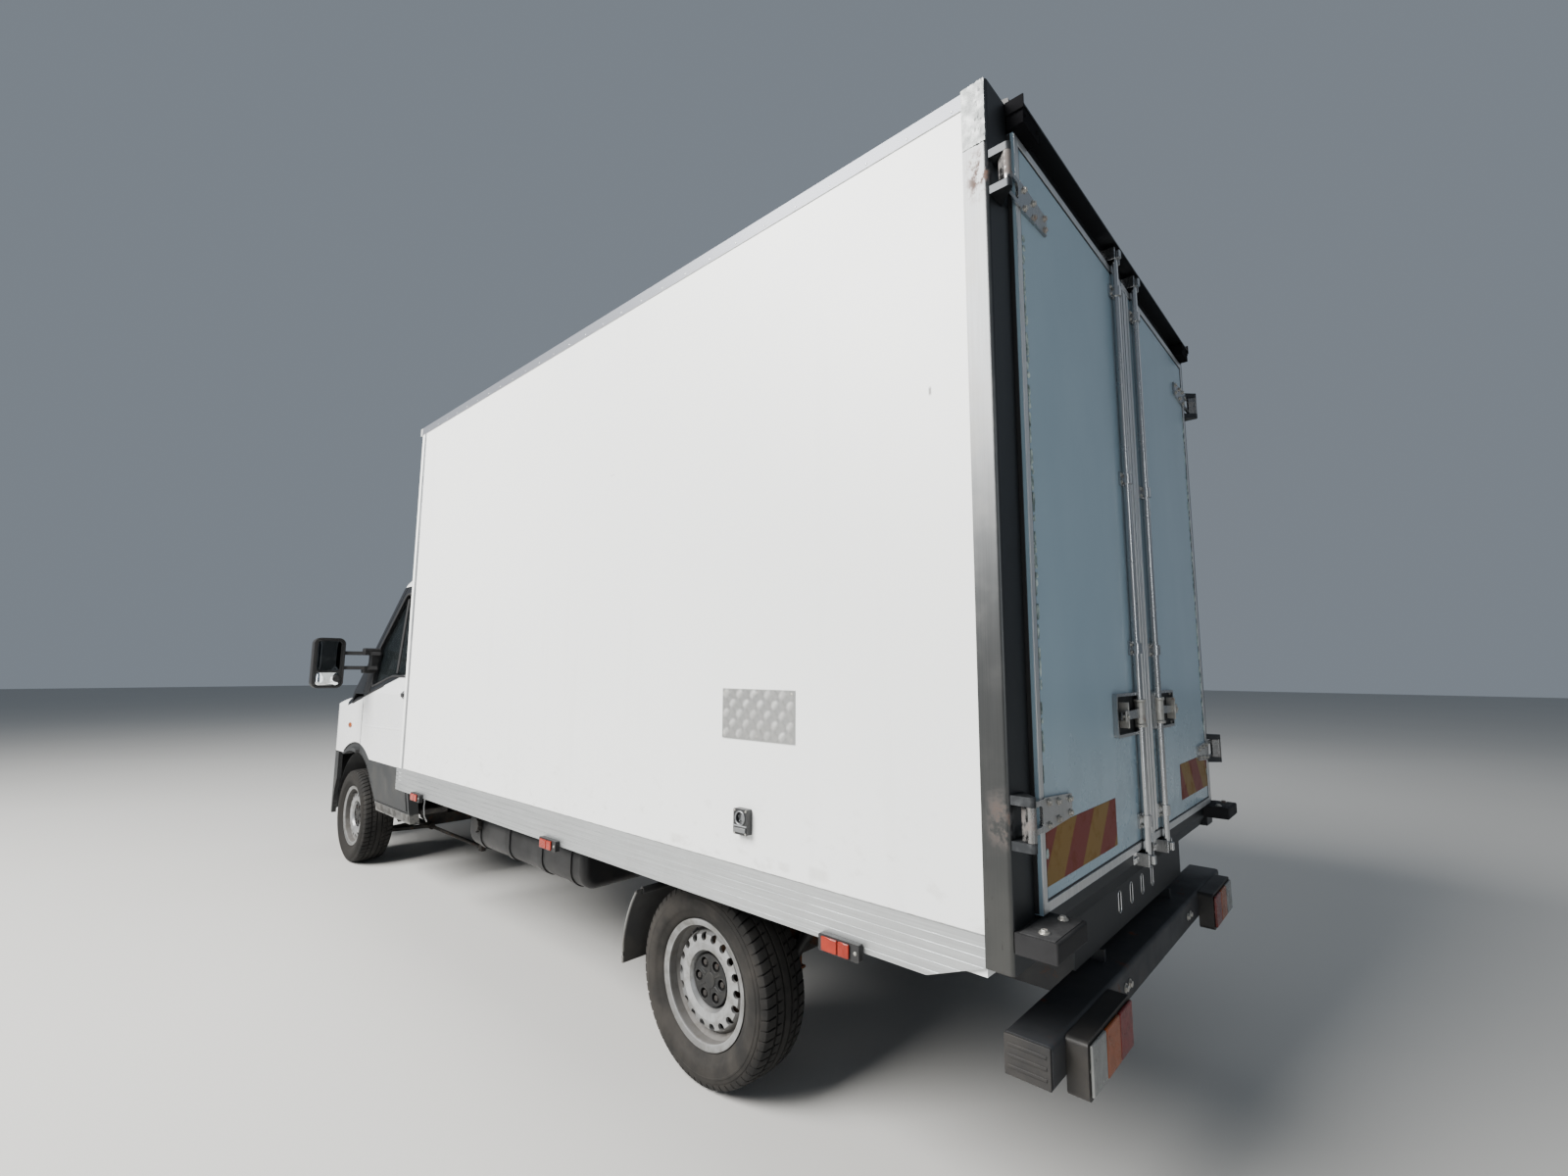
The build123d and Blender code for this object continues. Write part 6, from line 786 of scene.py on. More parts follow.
def add_tyre(name, side, wheel_x, axle_y):
    mesh = bmesh.new()
    profile = tyre_profile()
    rings = []
    for block_index in range(TREAD_BLOCKS):
        for share, cut in ((0.0, 0.0), (0.40, 0.0), (0.80, 0.0), (0.82, 1.0), (0.98, 1.0)):
            turn = math.tau * (block_index + share) / TREAD_BLOCKS
            ring = []
            for offset, reach, kind in profile:
                skew = math.tau / TREAD_BLOCKS * 0.55 * offset / 0.09
                depth = cut * (0.0062 if kind == 1 and abs(offset) > 0.03 else 0.003 if kind == 2 else 0.0)
                angle = turn + (skew if kind else 0.0)
                ring.append(mesh.verts.new((
                    side * (wheel_x + offset), axle_y + (reach - depth) * math.sin(angle),
                    HUB_Z + (reach - depth) * math.cos(angle))))
            rings.append(ring)
    for ring, after in zip(rings, rings[1:] + rings[:1]):
        join_rings(mesh, ring, after)
    item = add_piece(mesh, "tread_" + name, "tyre_" + name.split("_")[0], smooth=32.0, body="wheel_" + name)
    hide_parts("tyre_" + name)


def add_wheel_trim(name, side, wheel_x, axle_y):
    """Nuts in the cap's cups, collars round them, the cap's ridges and the valve."""
    mesh = bmesh.new()
    for index in range(6):
        turn = math.tau * index / 6
        bolt(mesh, on_wheel(side * (wheel_x + 0.0325), axle_y, NUT_CIRCLE, turn), (side, 0, 0), 0.0115, 0.015)
    add_piece(mesh, "nuts_" + name, "nut_dark", 0.0008, body="wheel_" + name)
    mesh = bmesh.new()
    for index in range(6):
        turn = math.tau * index / 6
        centre = on_wheel(side * (wheel_x + 0.049), axle_y, NUT_CIRCLE, turn)
        ring = [centre + Vector((0.0, a, b)) for a, b in circle_section(0.0205, 24)]
        sweep(mesh, ring, circle_section(0.0022, 8), True, (1.0, 0.0, 0.0))
        spoke = turn + math.tau / 12
        round_bar(mesh, on_wheel(centre.x, axle_y, 0.030, spoke),
                  on_wheel(centre.x - side * 0.002, axle_y, 0.084, spoke), 0.0035, 0.0025, 10)
    round_bar(mesh, (side * (wheel_x + 0.047), axle_y, HUB_Z), (side * (wheel_x + 0.053), axle_y, HUB_Z),
              0.030, 0.026, 32)
    add_piece(mesh, "cap_" + name, "cap_plastic", 0.0006, body="wheel_" + name)
    mesh = bmesh.new()
    foot = on_wheel(side * (wheel_x + 0.050), axle_y, 0.178, 2.0)
    lean = Vector((side * 0.030, -0.008 * math.cos(2.0), -0.008 * math.sin(2.0)))
    round_bar(mesh, foot, foot + lean * 0.6, 0.0055, 0.0042, 14)
    round_bar(mesh, foot + lean * 0.6, foot + lean, 0.0047, 0.0047, 14)
    add_piece(mesh, "valve_" + name, "seal_rubber", 0.0005, body="wheel_" + name)


plain_look("marker_black", (0.007, 0.007, 0.008), 0.95, grain=(240.0, 0.3, 0.001), Specular_IOR_Level=0.05)
plain_look("nut_dark", (0.034, 0.031, 0.029), 0.6, 0.2, grain=(180.0, 0.4, 0.001), rust=0.3)
plain_look("cap_plastic", (0.012, 0.0125, 0.013), 0.5, other=(0.024, 0.023, 0.021), patch=20.0,
           grain=(400.0, 0.2, 0.0005))
for name, (side, wheel_x, axle_y) in WHEELS.items():
    add_tyre(name, side, wheel_x, axle_y)
    add_wheel_trim(name, side, wheel_x, axle_y)


# ---------------------------------------------------------------- box body
def add_wall_fittings():
    """Tread bars and rivets of the chequer plate, parts of the power inlet."""
    mesh = bmesh.new()
    face = 1.1033
    for row, z in enumerate(steps(1.2715, 1.3995, 4)):
        for group, y in enumerate(steps(2.1485, 2.4365, 9)):
            lean = 1 if (row + group) % 2 else -1
            for bar in range(-2, 3):
                mid = Vector((y + bar * 0.0042, z - bar * 0.0042 * lean))
                half = 0.0100 - 0.0008 * abs(bar)
                tip = Vector((half, half * lean))
                side_step = Vector((0.0012, -0.0012 * lean))
                prism(mesh, [tuple(mid - tip), tuple(mid - tip * 0.5 - side_step), tuple(mid + tip * 0.5 - side_step),
                             tuple(mid + tip), tuple(mid + tip * 0.5 + side_step), tuple(mid - tip * 0.5 + side_step)],
                      0, face, face + 0.0014)
    add_piece(mesh, "plate_tread", "plate_bars", smooth=20.0)
    mesh = bmesh.new()
    for y in (2.142, 2.2925, 2.443):
        for z in (1.266, 1.405):
            ball(mesh, (face, y, z), 0.0042, (0.5, 1.0, 1.0), 12)
    add_piece(mesh, "plate_rivets", "bolt_zinc")
    mesh = bmesh.new()
    ring = [(1.1235, INLET_Y + a, INLET_Z + b) for a, b in circle_section(0.0205, 28)]
    sweep(mesh, ring, circle_section(0.0028, 8), True, (1.0, 0.0, 0.0))
    round_bar(mesh, (1.111, INLET_Y, INLET_Z), (1.113, INLET_Y, INLET_Z), 0.0185, sides=28)
    for turn in range(5):
        angle = math.tau * turn / 5 + 0.3
        y, z = INLET_Y + 0.0115 * math.cos(angle), INLET_Z + 0.0115 * math.sin(angle)
        round_bar(mesh, (1.112, y, z), (1.119, y, z), 0.0022, sides=10)
    block(mesh, 1.1222, 1.1262, 2.2165, 2.2675, 0.966, 0.980)
    round_bar(mesh, (1.1235, 2.212, 0.9855), (1.1235, 2.272, 0.9855), 0.003, sides=12)
    add_piece(mesh, "inlet_parts", "chrome_dark", 0.0006)
    mesh = bmesh.new()
    for y in (2.217, 2.267):
        for z in (0.9625, 1.0325):
            round_bar(mesh, (1.1222, y, z), (1.1240, y, z), 0.0035, sides=14)
    add_piece(mesh, "inlet_screws", "bolt_zinc", 0.0004)


def add_markers():
    """Lenses of the side markers and of the tail lamps, with their screws."""
    amber, red, clear, screws, sides = (bmesh.new() for _ in range(5))
    for _, side in SIDES:
        for y in (2.634, 1.044, -0.5):
            side_block(sides, side, 1.1225, 1.1295, y - 0.056, y - 0.001, 0.704, 0.742)
            side_block(sides, side, 1.1225, 1.1295, y + 0.002, y + 0.040, 0.704, 0.742)
            bolt(screws, (side * 1.1225, y + 0.058, 0.723), (side, 0, 0), 0.004, 0.003)
        x0, x1 = sorted((side * 0.568, side * 0.892))
        width = (x1 - x0) / 3
        lamp_y = 3.2125
        colours = (red, amber, clear) if side > 0 else (clear, amber, red)
        for index, colour in enumerate(colours):
            block(colour, x0 + index * width + 0.003, x0 + (index + 1) * width - 0.003, lamp_y, lamp_y + 0.009,
                  0.472, 0.588)
        for x in (x0 + 0.008, x1 - 0.008):
            bolt(screws, (x, lamp_y, 0.530), (0, 1, 0), 0.004, 0.003)
    add_piece(sides, "lenses_side", "side_lens", 0.003)
    add_piece(red, "lenses_red", "red_lens", 0.003)
    add_piece(amber, "lenses_amber", "amber_lens", 0.003)
    add_piece(clear, "lenses_clear", "clear_lens", 0.003)
    add_piece(screws, "lamp_screws", "bolt_zinc", 0.0005)


def crinkled_patch():
    """Creased metal tape over the left post's upper corner."""
    rng = random.Random(7)
    mesh = bmesh.new()
    rows, columns = 22, 16
    grid = []
    for i in range(rows + 1):
        z = 2.885 + (3.068 - 2.885) * i / rows
        line = []
        for k in range(columns + 1):
            share = k / columns
            lift = 0.0006 + 0.0030 * rng.random() * (0.3 + share)
            line.append(mesh.verts.new((1.1031 + lift, 3.060 + 0.066 * share, z + 0.002 * rng.random())))
        grid.append(line)
    for i in range(rows):
        for k in range(columns):
            mesh.faces.new((grid[i][k], grid[i][k + 1], grid[i + 1][k + 1], grid[i + 1][k]))
    rim = [edge for edge in mesh.edges if edge.is_boundary]
    made = bmesh.ops.extrude_edge_only(mesh, edges=rim)
    for vert in (item for item in made["geom"] if isinstance(item, bmesh.types.BMVert)):
        vert.co.x = 1.1028
    add_piece(mesh, "post_patch", "patch_foil", smooth=25.0)


def add_body_trim():
    """Sealant lines and joint strips of the box."""
    seal = bmesh.new()
    for _, side in SIDES:
        side_block(seal, side, 1.0995, 1.1015, -0.81, 3.056, 0.8562, 0.8585)
        side_block(seal, side, 1.0995, 1.1015, -0.81, 3.056, 3.0115, 3.0137)
    add_piece(seal, "wall_sealant", "sealant_grey", 0.0005)
    strip = bmesh.new()
    for _, side in SIDES:
        side_block(strip, side, 1.0985, 1.1022, -0.812, -0.780, 0.858, 3.012)
    add_piece(strip, "wall_front_strips", "rail_aluminium", 0.001)
    rivets = bmesh.new()
    for _, side in SIDES:
        for index in range(27):
            y = -0.74 + index * 0.145
            ball(rivets, (side * 1.1022, y, 3.0262), 0.0034, (0.45, 1.0, 1.0), 10)
    add_piece(rivets, "roof_edge_rivets", "strip_aluminium")


plain_look("chrome_dark", (0.30, 0.31, 0.32), 0.3, 0.9, grain=(300.0, 0.1, 0.0004))
plain_look("plate_bars", (0.62, 0.62, 0.61), 0.32, 0.85, other=(0.50, 0.50, 0.49), patch=9.0)
plain_look("sealant_grey", (0.34, 0.35, 0.35), 0.6, other=(0.22, 0.22, 0.21), patch=30.0,
           grain=(200.0, 0.3, 0.0006))
add_wall_fittings()
add_markers()
crinkled_patch()
add_body_trim()


# ---------------------------------------------------------------- rear doors
def frame_strip(mesh, x0, x1, z0, z1, wide, y0, y1):
    """Flat strip round a rectangle."""
    block(mesh, x0, x0 + wide, y0, y1, z0, z1)
    block(mesh, x1 - wide, x1, y0, y1, z0, z1)
    block(mesh, x0 + wide, x1 - wide, y0, y1, z0, z0 + wide)
    block(mesh, x0 + wide, x1 - wide, y0, y1, z1 - wide, z1)


def mirrored(mesh, side):
    if side < 0:
        bmesh.ops.scale(mesh, vec=(-1.0, 1.0, 1.0), verts=mesh.verts)
        bmesh.ops.reverse_faces(mesh, faces=mesh.faces)
    return mesh


def add_door_trim(name, side):
    body = "rear_door_" + name
    face = DOOR_FACE_Y
    strip = bmesh.new()
    frame_strip(strip, 0.0065, 0.9715, 0.8925, 2.9775, 0.024, face - 0.001, face + 0.0028)
    add_piece(mirrored(strip, side), "door_strip_" + name, "strip_aluminium", 0.0008, body=body)
    # painted shadow line: a thin black strip just inside the aluminium strip
    groove = bmesh.new()
    frame_strip(groove, 0.0315, 0.9465, 0.9175, 2.9525, 0.0045, face - 0.001, face + 0.0012)
    add_piece(mirrored(groove, side), "door_shadow_line_" + name, "seal_rubber", 0.0004, body=body)
    ribs = bmesh.new()
    for x0, x1, proud in ((0.008, 0.020, 0.007), (0.026, 0.046, 0.0045), (0.050, 0.058, 0.007),
                          (0.062, 0.084, 0.0035)):
        block(ribs, x0, x1, face - 0.001, face + proud, 0.925, 2.945)
    add_piece(mirrored(ribs, side), "seam_ribs_" + name, "strip_aluminium", 0.0015, body=body)
    seal = bmesh.new()
    inner = 3.066
    frame_strip(seal, 0.020, 0.958, 0.905, 2.965, 0.022, inner - 0.010, inner + 0.004)
    block(seal, 0.9742, 0.9775, 3.075, 3.140, 0.8925, 2.9775)
    block(seal, 0.0068, 0.974, 3.075, 3.138, 2.9802, 2.9835)
    block(seal, 0.0068, 0.974, 3.075, 3.138, 0.8865, 0.8898)
    add_piece(mirrored(seal, side), "door_seal_" + name, "seal_rubber", 0.0016, body=body)
    # sealant that flakes along the hinge edge
    rng = random.Random(11 + side)
    flakes = bmesh.new()
    z = 1.03
    while z < 2.70:
        tall = rng.uniform(0.010, 0.050)
        if abs(z - HINGE_ROWS[0]) > 0.08:
            x = 0.935 + rng.uniform(-0.004, 0.004)
            wide = rng.uniform(0.003, 0.011)
            count = 7
            outline = []
            for k in range(count):
                angle = math.tau * k / count
                jag = rng.uniform(0.7, 1.15)
                outline.append((x + wide * jag * math.cos(angle), z + tall * 0.5 * jag * math.sin(angle)))
            prism(flakes, outline, 1, face - 0.001, face + rng.uniform(0.0012, 0.004))
        z += tall * rng.uniform(0.6, 1.5)
    add_piece(mirrored(flakes, side), "sealant_" + name, "silicone", 0.0004, body=body)
    # bolts of the straps and of the guides
    bolts = bmesh.new()
    for hinge_z in HINGE_ROWS:
        for x, drop in ((0.786, 0.018), (0.786, -0.018), (0.866, 0.022), (0.866, -0.022), (0.930, 0.028),
                        (0.930, -0.028)):
            bolt(bolts, (x, 3.1563, hinge_z + drop), (0, 1, 0), 0.0075, 0.008)
    for guide_z in (0.985, 1.56, 2.16, 2.87):
        for x in (0.0905, 0.1535):
            bolt(bolts, (x, 3.1553, guide_z + 0.0135), (0, 1, 0), 0.0048, 0.005)
            bolt(bolts, (x, 3.1553, guide_z - 0.0135), (0, 1, 0), 0.0048, 0.005)
    for x in (0.104, 0.346):
        for z in (1.284, 1.396):
            bolt(bolts, (x, 3.1515, z), (0, 1, 0), 0.0045, 0.004)
    add_piece(mirrored(bolts, side), "door_bolts_" + name, "bolt_zinc", 0.0004, body=body)
    # lever pivot, catch and handle grip over the tray
    lever = bmesh.new()
    round_bar(lever, (0.122, 3.163, 1.303), (0.122, 3.163, 1.377), 0.0185, sides=24)
    round_bar(lever, (0.122, 3.163, 1.293), (0.122, 3.163, 1.303), 0.022, sides=24)
    round_bar(lever, (0.122, 3.163, 1.377), (0.122, 3.163, 1.387), 0.022, sides=24)
    block(lever, 0.296, 0.304, 3.150, 3.180, 1.300, 1.382)
    block(lever, 0.300, 0.330, 3.176, 3.181, 1.322, 1.356)
    round_bar(lever, (0.316, 3.152, 1.339), (0.316, 3.186, 1.339), 0.006, sides=16)
    add_piece(mirrored(lever, side), "lever_parts_" + name, "bolt_zinc", 0.0015, body=body)
    tape = bmesh.new()
    low, high = ((0.380, 0.940), (0.950, 1.090)) if side > 0 else ((0.460, 0.940), (0.970, 1.110))
    count = 12
    for k in range(count):
        x0 = low[0] + (low[1] - low[0]) * k / count
        x1 = low[0] + (low[1] - low[0]) * (k + 1) / count
        block(tape, x0, x1, face - 0.001, face + 0.0009, high[0], high[1])
    bmesh.ops.remove_doubles(tape, verts=tape.verts, dist=0.00001)
    inside = [item for item in tape.faces if abs(item.normal.x) > 0.9 and all(
        len(edge.link_faces) > 2 for edge in item.edges)]
    bmesh.ops.delete(tape, geom=inside, context="FACES_ONLY")
    add_piece(mirrored(tape, side), "hazard_tape_" + name, "tape_" + name, body=body)


for name, side in SIDES:
    add_door_trim(name, side)


# ---------------------------------------------------------------- cab
def rounded_path(corners, grow, radius, arc=6):
    """Corner points of an outline moved outwards, with rounded corners; corners run anticlockwise."""
    count = len(corners)
    sides = []
    for i in range(count):
        a, b = Vector(corners[i]), Vector(corners[(i + 1) % count])
        ahead = (b - a).normalized()
        sides.append((a + Vector((ahead.y, -ahead.x)) * grow, ahead))
    moved = []
    for i in range(count):
        (p, u), (q, v) = sides[i - 1], sides[i]
        cross = u.x * v.y - u.y * v.x
        moved.append(p + u * (((q - p).x * v.y - (q - p).y * v.x) / cross))
    path = []
    for i in range(count):
        here, before, after = moved[i], moved[i - 1], moved[(i + 1) % count]
        start = here + (before - here).normalized() * radius
        end = here + (after - here).normalized() * radius
        for k in range(arc + 1):
            t = k / arc
            path.append(start * (1 - t) ** 2 + here * 2 * t * (1 - t) + end * t ** 2)
    return path


def fine(path, step, closed=True):
    """The same line with points at most a step apart."""
    result = []
    for i in range(len(path) if closed else len(path) - 1):
        a, b = path[i], path[(i + 1) % len(path)]
        parts = max(1, math.ceil((b - a).length / step))
        result += [a.lerp(b, k / parts) for k in range(parts)]
    if not closed:
        result.append(path[-1])
    return result


FAR = 2.0    # rays onto the cab's flanks start this far out
WINDOW = [(-1.99, 1.341), (-1.59, 1.425), (-1.17, 1.425), (-1.17, 2.018), (-1.6594, 2.018), (-1.99, 1.618)]


def arch_y(z, radius):
    """Rear edge of the front arch at a height."""
    return FRONT_AXLE_Y + math.sqrt(radius ** 2 - (z - HUB_Z) ** 2)


def belt_z(y):
    return BELT_BASE + BELT_SLOPE * y


def add_cab_cladding(name, side, door, frame_side):
    """Cladding of a cab door, sill plate and ridge of the front arch."""
    body, way, far = "cab_door_" + name, (-side, 0.0, 0.0), FAR * side
    mesh = bmesh.new()
    grid = []
    for z in steps(0.530, CLADDING_TOP - 0.004, 6):
        start = arch_y(z, ARCH_RADIUS + 0.012)
        grid.append([(far, y, z) for y in steps(start, -1.116, 10)])
    drape(mesh, door, grid, way, 0.006)
    add_piece(mesh, "cladding_door_" + name, "cladding", 0.003, rounds=3, body=body)
    mesh = bmesh.new()
    grid = []
    for z in steps(0.462, 0.508, 3):
        start = arch_y(z, ARCH_RADIUS + 0.016)
        grid.append([(far, y, z) for y in steps(start, -1.085, 10)])
    drape(mesh, frame_side, grid, way, 0.004)
    add_piece(mesh, "sill_plate_" + name, "sill_scuffed", 0.0025)
    # ring of the arch on the wing: a ridge along its outer edge
    mesh = bmesh.new()
    path = []
    for angle in steps(40.0, 137.0, 26):
        y = FRONT_AXLE_Y + 0.550 * math.cos(math.radians(angle))
        z = HUB_Z + 0.550 * math.sin(math.radians(angle))
        if y < -2.152 and z > 0.802:
            path.append((far, y, z))
    beading(mesh, frame_side, path, way, 0.010, 0.007)
    add_piece(mesh, "arch_ridge_" + name, "cladding", 0.0015)


def add_window_trim(name, side, door, frame_side):
    """Rubbers, belt trims, corner panel and divider bar of a cab door's window."""
    body, way, far = "cab_door_" + name, (-side, 0.0, 0.0), FAR * side
    rubber = bmesh.new()
    ring = fine(rounded_path(WINDOW, 0.009, 0.038), 0.05)
    beading(rubber, door, [(far, y, z) for y, z in ring], way, 0.015, 0.006, True)
    belt = [(far, y, belt_z(y)) for y in steps(-2.128, -1.72, 8)]
    beading(rubber, door, belt, way, 0.012, 0.007)
    add_piece(rubber, "window_rubber_" + name, "seal_rubber", 0.001, body=body)
    belt_low = bmesh.new()
    path = [(far, y, belt_z(y)) for y in steps(-2.40, -2.152, 6)]
    beading(belt_low, frame_side, path, way, 0.012, 0.007)
    add_piece(belt_low, "belt_trim_" + name, "seal_rubber", 0.001)
    # black corner panel in front of the window
    corner = bmesh.new()
    grid = []
    for z in steps(1.285, 1.50, 6):
        grid.append([(far, y, z) for y in steps(-2.131, -2.012, 5)])
    drape(corner, door, grid, way, 0.004)
    add_piece(corner, "window_corner_" + name, "mirror_housing", 0.002, body=body)
    # divider bar between the two panes, just outside the glass
    glass = skin_of("door_glass_" + name)
    bar = bmesh.new()
    path = [(far, -1.582 - 0.178 * (z - 1.514), z) for z in steps(1.437, 1.992, 8)]
    beading(bar, glass, path, way, 0.034, 0.008)
    add_piece(bar, "window_divider_" + name, "seal_rubber", 0.001, body=body)


def add_door_parts(name, side, door):
    """Crease, handle and lock of a cab door."""
    body, way, far = "cab_door_" + name, (-side, 0.0, 0.0), FAR * side
    crease = bmesh.new()
    path = [(far, y, 1.045 + 0.022 * (y + 1.6)) for y in steps(-2.125, -1.125, 12)]
    beading(crease, door, path, way, 0.014, 0.0026)
    add_piece(crease, "door_crease_" + name, "cab_paint", 0.001, body=body)
    # handle across its recess, and the lock
    handle = bmesh.new()
    path = [Vector((side * (0.956 + 0.014 * math.sin(math.pi * share)), -1.332 + 0.184 * share, 1.290))
            for share in steps(0.0, 1.0, 14)]
    section = [(-0.0075, -0.013), (0.0075, -0.013), (0.0095, -0.006), (0.0095, 0.006), (0.0075, 0.013),
               (-0.0075, 0.013)]
    sweep(handle, path, section)
    add_piece(handle, "door_handle_" + name, "mirror_housing", 0.002, body=body)
    lock = bmesh.new()
    centre = meet(door, (far, -1.128, 1.290), way)
    round_bar(lock, centre - Vector((side * 0.001, 0, 0)), centre + Vector((side * 0.0025, 0, 0)), 0.011, sides=24)
    block(lock, *sorted((centre.x + side * 0.002, centre.x + side * 0.0032)), centre.y - 0.0012, centre.y + 0.0012,
          centre.z - 0.006, centre.z + 0.006)
    add_piece(lock, "door_lock_" + name, "bolt_zinc", 0.0006, body=body)


def add_mirror(name, side):
    """Glasses of a mirror, tall and flat above, wide-angle below, with bracket and ribs."""
    body = "cab_door_" + name
    for part, low, high, look in (("main", 1.452, 1.672, "mirror_dark_reflection"), ("wide", 1.346, 1.440, "mirror_glass")):
        pane = bmesh.new()
        x0, x1 = 1.168, 1.314
        corners = [(x0, low), (x1, low), (x1, high), (x0, high)]
        outline = rounded_path(corners, 0.0, 0.026)
        front = []
        middle = Vector(((x0 + x1) / 2, (low + high) / 2))
        for reach in (1.0, 0.93, 0.6, 0.3):
            ring = []
            for point in outline:
                place = middle + (point - middle) * reach
                bulge = 0.0 if part == "main" else 0.004
                depth = 0.0 if reach == 1.0 else 0.0022 + bulge * (1.0 - reach ** 2)
                ring.append(pane.verts.new((side * place.x, -2.0262 + depth, place.y)))
            front.append(ring)
        for outer, inner in zip(front, front[1:]):
            join_rings(pane, outer, inner)
        pane.faces.new(front[-1])
        back = [pane.verts.new((vert.co.x, -2.0275, vert.co.z)) for vert in front[0]]
        join_rings(pane, back, front[0])
        pane.faces.new(back)
        add_piece(pane, "mirror_" + part + "_" + name, look, smooth=50.0, body=body)
    ridge = bmesh.new()
    side_block(ridge, side, 1.160, 1.322, -2.0272, -2.0215, 1.4425, 1.4500)
    round_bar(ridge, (side * 1.185, -2.026, 1.395), (side * 1.185, -2.016, 1.395), 0.030, 0.022, 28)
    add_piece(ridge, "mirror_bracket_" + name, "mirror_housing", 0.0015, body=body)
    ribs = bmesh.new()
    for z in (1.372, 1.40, 1.428):
        side_block(ribs, side, 1.19, 1.325, -2.1138, -2.1115, z - 0.003, z + 0.003)
    add_piece(ribs, "mirror_ribs_" + name, "mirror_housing", 0.001, body=body)


def add_wing_parts(name, side, frame_side):
    """Indicator on the wing and light flange at the cab's rear lower corner."""
    repeater = bmesh.new()
    centre = meet(frame_side, (FAR * side, -2.42, 1.02), (-side, 0.0, 0.0))
    ball(repeater, centre, 0.030, (0.22, 1.5, 0.72), 24)
    add_piece(repeater, "wing_repeater_" + name, "amber_lens")
    flange = bmesh.new()
    sweep(flange, [(side * x, -1.0295, z) for x, z in ((0.868, 0.610), (0.872, 0.56), (0.866, 0.50), (0.848, 0.462))],
          [(-0.0035, -0.003), (0.0035, -0.003), (0.0035, 0.003), (-0.0035, 0.003)], up=(0.0, 1.0, 0.0))
    add_piece(flange, "rear_flange_" + name, "strip_aluminium", 0.0008)


def add_screen_parts():
    """Windscreen band, wipers and cowl grille."""
    glass = skin_of("windscreen")
    way = (0.0, 1.0, 0.0)
    rim = [(-0.838, 1.294), (0.838, 1.294), (0.738, 2.066), (-0.738, 2.066)]
    band = bmesh.new()
    ring = fine(rounded_path(rim, 0.0, 0.075), 0.05)
    beading(band, glass, [(x, -4.0, z) for x, z in ring], way, 0.022, 0.005, True)
    add_piece(band, "screen_band", "seal_rubber", 0.001)
    wipers = bmesh.new()
    for pivot_x, tip_x, tip_z in ((0.50, -0.10, 1.335), (-0.16, -0.74, 1.335)):
        blade = []
        for share in steps(0.0, 1.0, 12):
            x = pivot_x - 0.06 + (tip_x - pivot_x + 0.06) * share
            blade.append(meet(glass, (x, -4.0, 1.312 + (tip_z - 1.312) * share), way) + Vector((0, -0.010, 0.004)))
        sweep(wipers, blade, [(-0.004, -0.007), (0.004, -0.007), (0.002, 0.007), (-0.002, 0.007)], up=(0.0, -0.8, 0.6))
        middle = blade[7] + Vector((0.0, -0.013, 0.008))
        foot = Vector((pivot_x, -2.512, 1.258))
        sweep(wipers, [foot + Vector((0, 0, 0.016)), foot.lerp(middle, 0.35) + Vector((0, -0.004, 0.012)), middle],
              [(-0.009, -0.004), (0.009, -0.004), (0.006, 0.005), (-0.006, 0.005)])
        round_bar(wipers, foot - Vector((0, 0, 0.012)), foot + Vector((0, 0, 0.020)), 0.017, 0.014, 24)
        round_bar(wipers, middle + Vector((0, 0.012, -0.010)), middle + Vector((0, -0.004, 0.003)), 0.007, sides=12)
    add_piece(wipers, "wipers", "wiper_black", 0.0012)
    # cowl grille under the windscreen
    cowl = bmesh.new()
    scuttle = skin_of("front_wings")
    for index in range(46):
        x = -0.675 + index * 0.030
        start = meet(scuttle, (x, -2.528, 2.0), (0, 0, -1))
        block(cowl, x - 0.009, x + 0.009, -2.547, -2.508, start.z - 0.001, start.z + 0.003)
    add_piece(cowl, "cowl_grille", "grille_plastic", 0.001)


def add_grille_parts():
    """Radiator fins behind the grille's openings, and chrome bars on it."""
    fins = bmesh.new()
    for index in range(60):
        x = -0.413 + index * 0.014
        block(fins, x - 0.0015, x + 0.0015, -3.098, -3.080, 0.822, 0.950)
    for z in (0.826, 0.868, 0.908, 0.946):
        round_bar(fins, (-0.418, -3.086, z), (0.418, -3.086, z), 0.004, sides=10)
    add_piece(fins, "radiator_fins", "engine_metal", 0.0)
    bars = bmesh.new()
    nose = skin_of("grille")
    for z in (0.853, 0.889, 0.925):
        path = [(x, -4.0, z) for x in steps(-0.440, 0.440, 22)]
        beading(bars, nose, path, (0.0, 1.0, 0.0), 0.0075, 0.006)
    add_piece(bars, "grille_bars", "chrome_dark", 0.001)


def add_headlamp_parts():
    """Insides of the headlamps, a little behind their clear surface."""
    lamp = skin_of("headlamps")
    way = (0.0, 1.0, 0.0)
    for name, side in SIDES:
        bowls, bulbs = bmesh.new(), bmesh.new()
        for x, z, radius in ((0.565, 0.872, 0.052), (0.690, 0.880, 0.055)):
            centre = meet(lamp, (side * x, -4.0, z), way) + Vector((0.0, 0.050, 0.0))
            for inner, outer, near, deep in ((0.55, 1.0, 0.022, -0.028), (0.0, 0.55, 0.030, 0.022)):
                round_bar(bowls, centre + Vector((0, near, 0)), centre + Vector((0, deep, 0)),
                          radius * max(inner, 0.2), radius * outer, 32)
            ball(bulbs, centre + Vector((0, -0.012, 0)), radius * 0.34, (1, 0.8, 1), 20)
        add_piece(bowls, "lamp_bowls_" + name, "chrome", 0.001)
        add_piece(bulbs, "lamp_bulbs_" + name, "clear_lens")
        amber = bmesh.new()
        centre = meet(lamp, (side * 0.800, -4.0, 0.885), way) + Vector((-side * 0.020, 0.050, 0.0))
        ball(amber, centre, 0.034, (1.0, 0.8, 1.3), 20)
        add_piece(amber, "lamp_amber_" + name, "amber_lens")


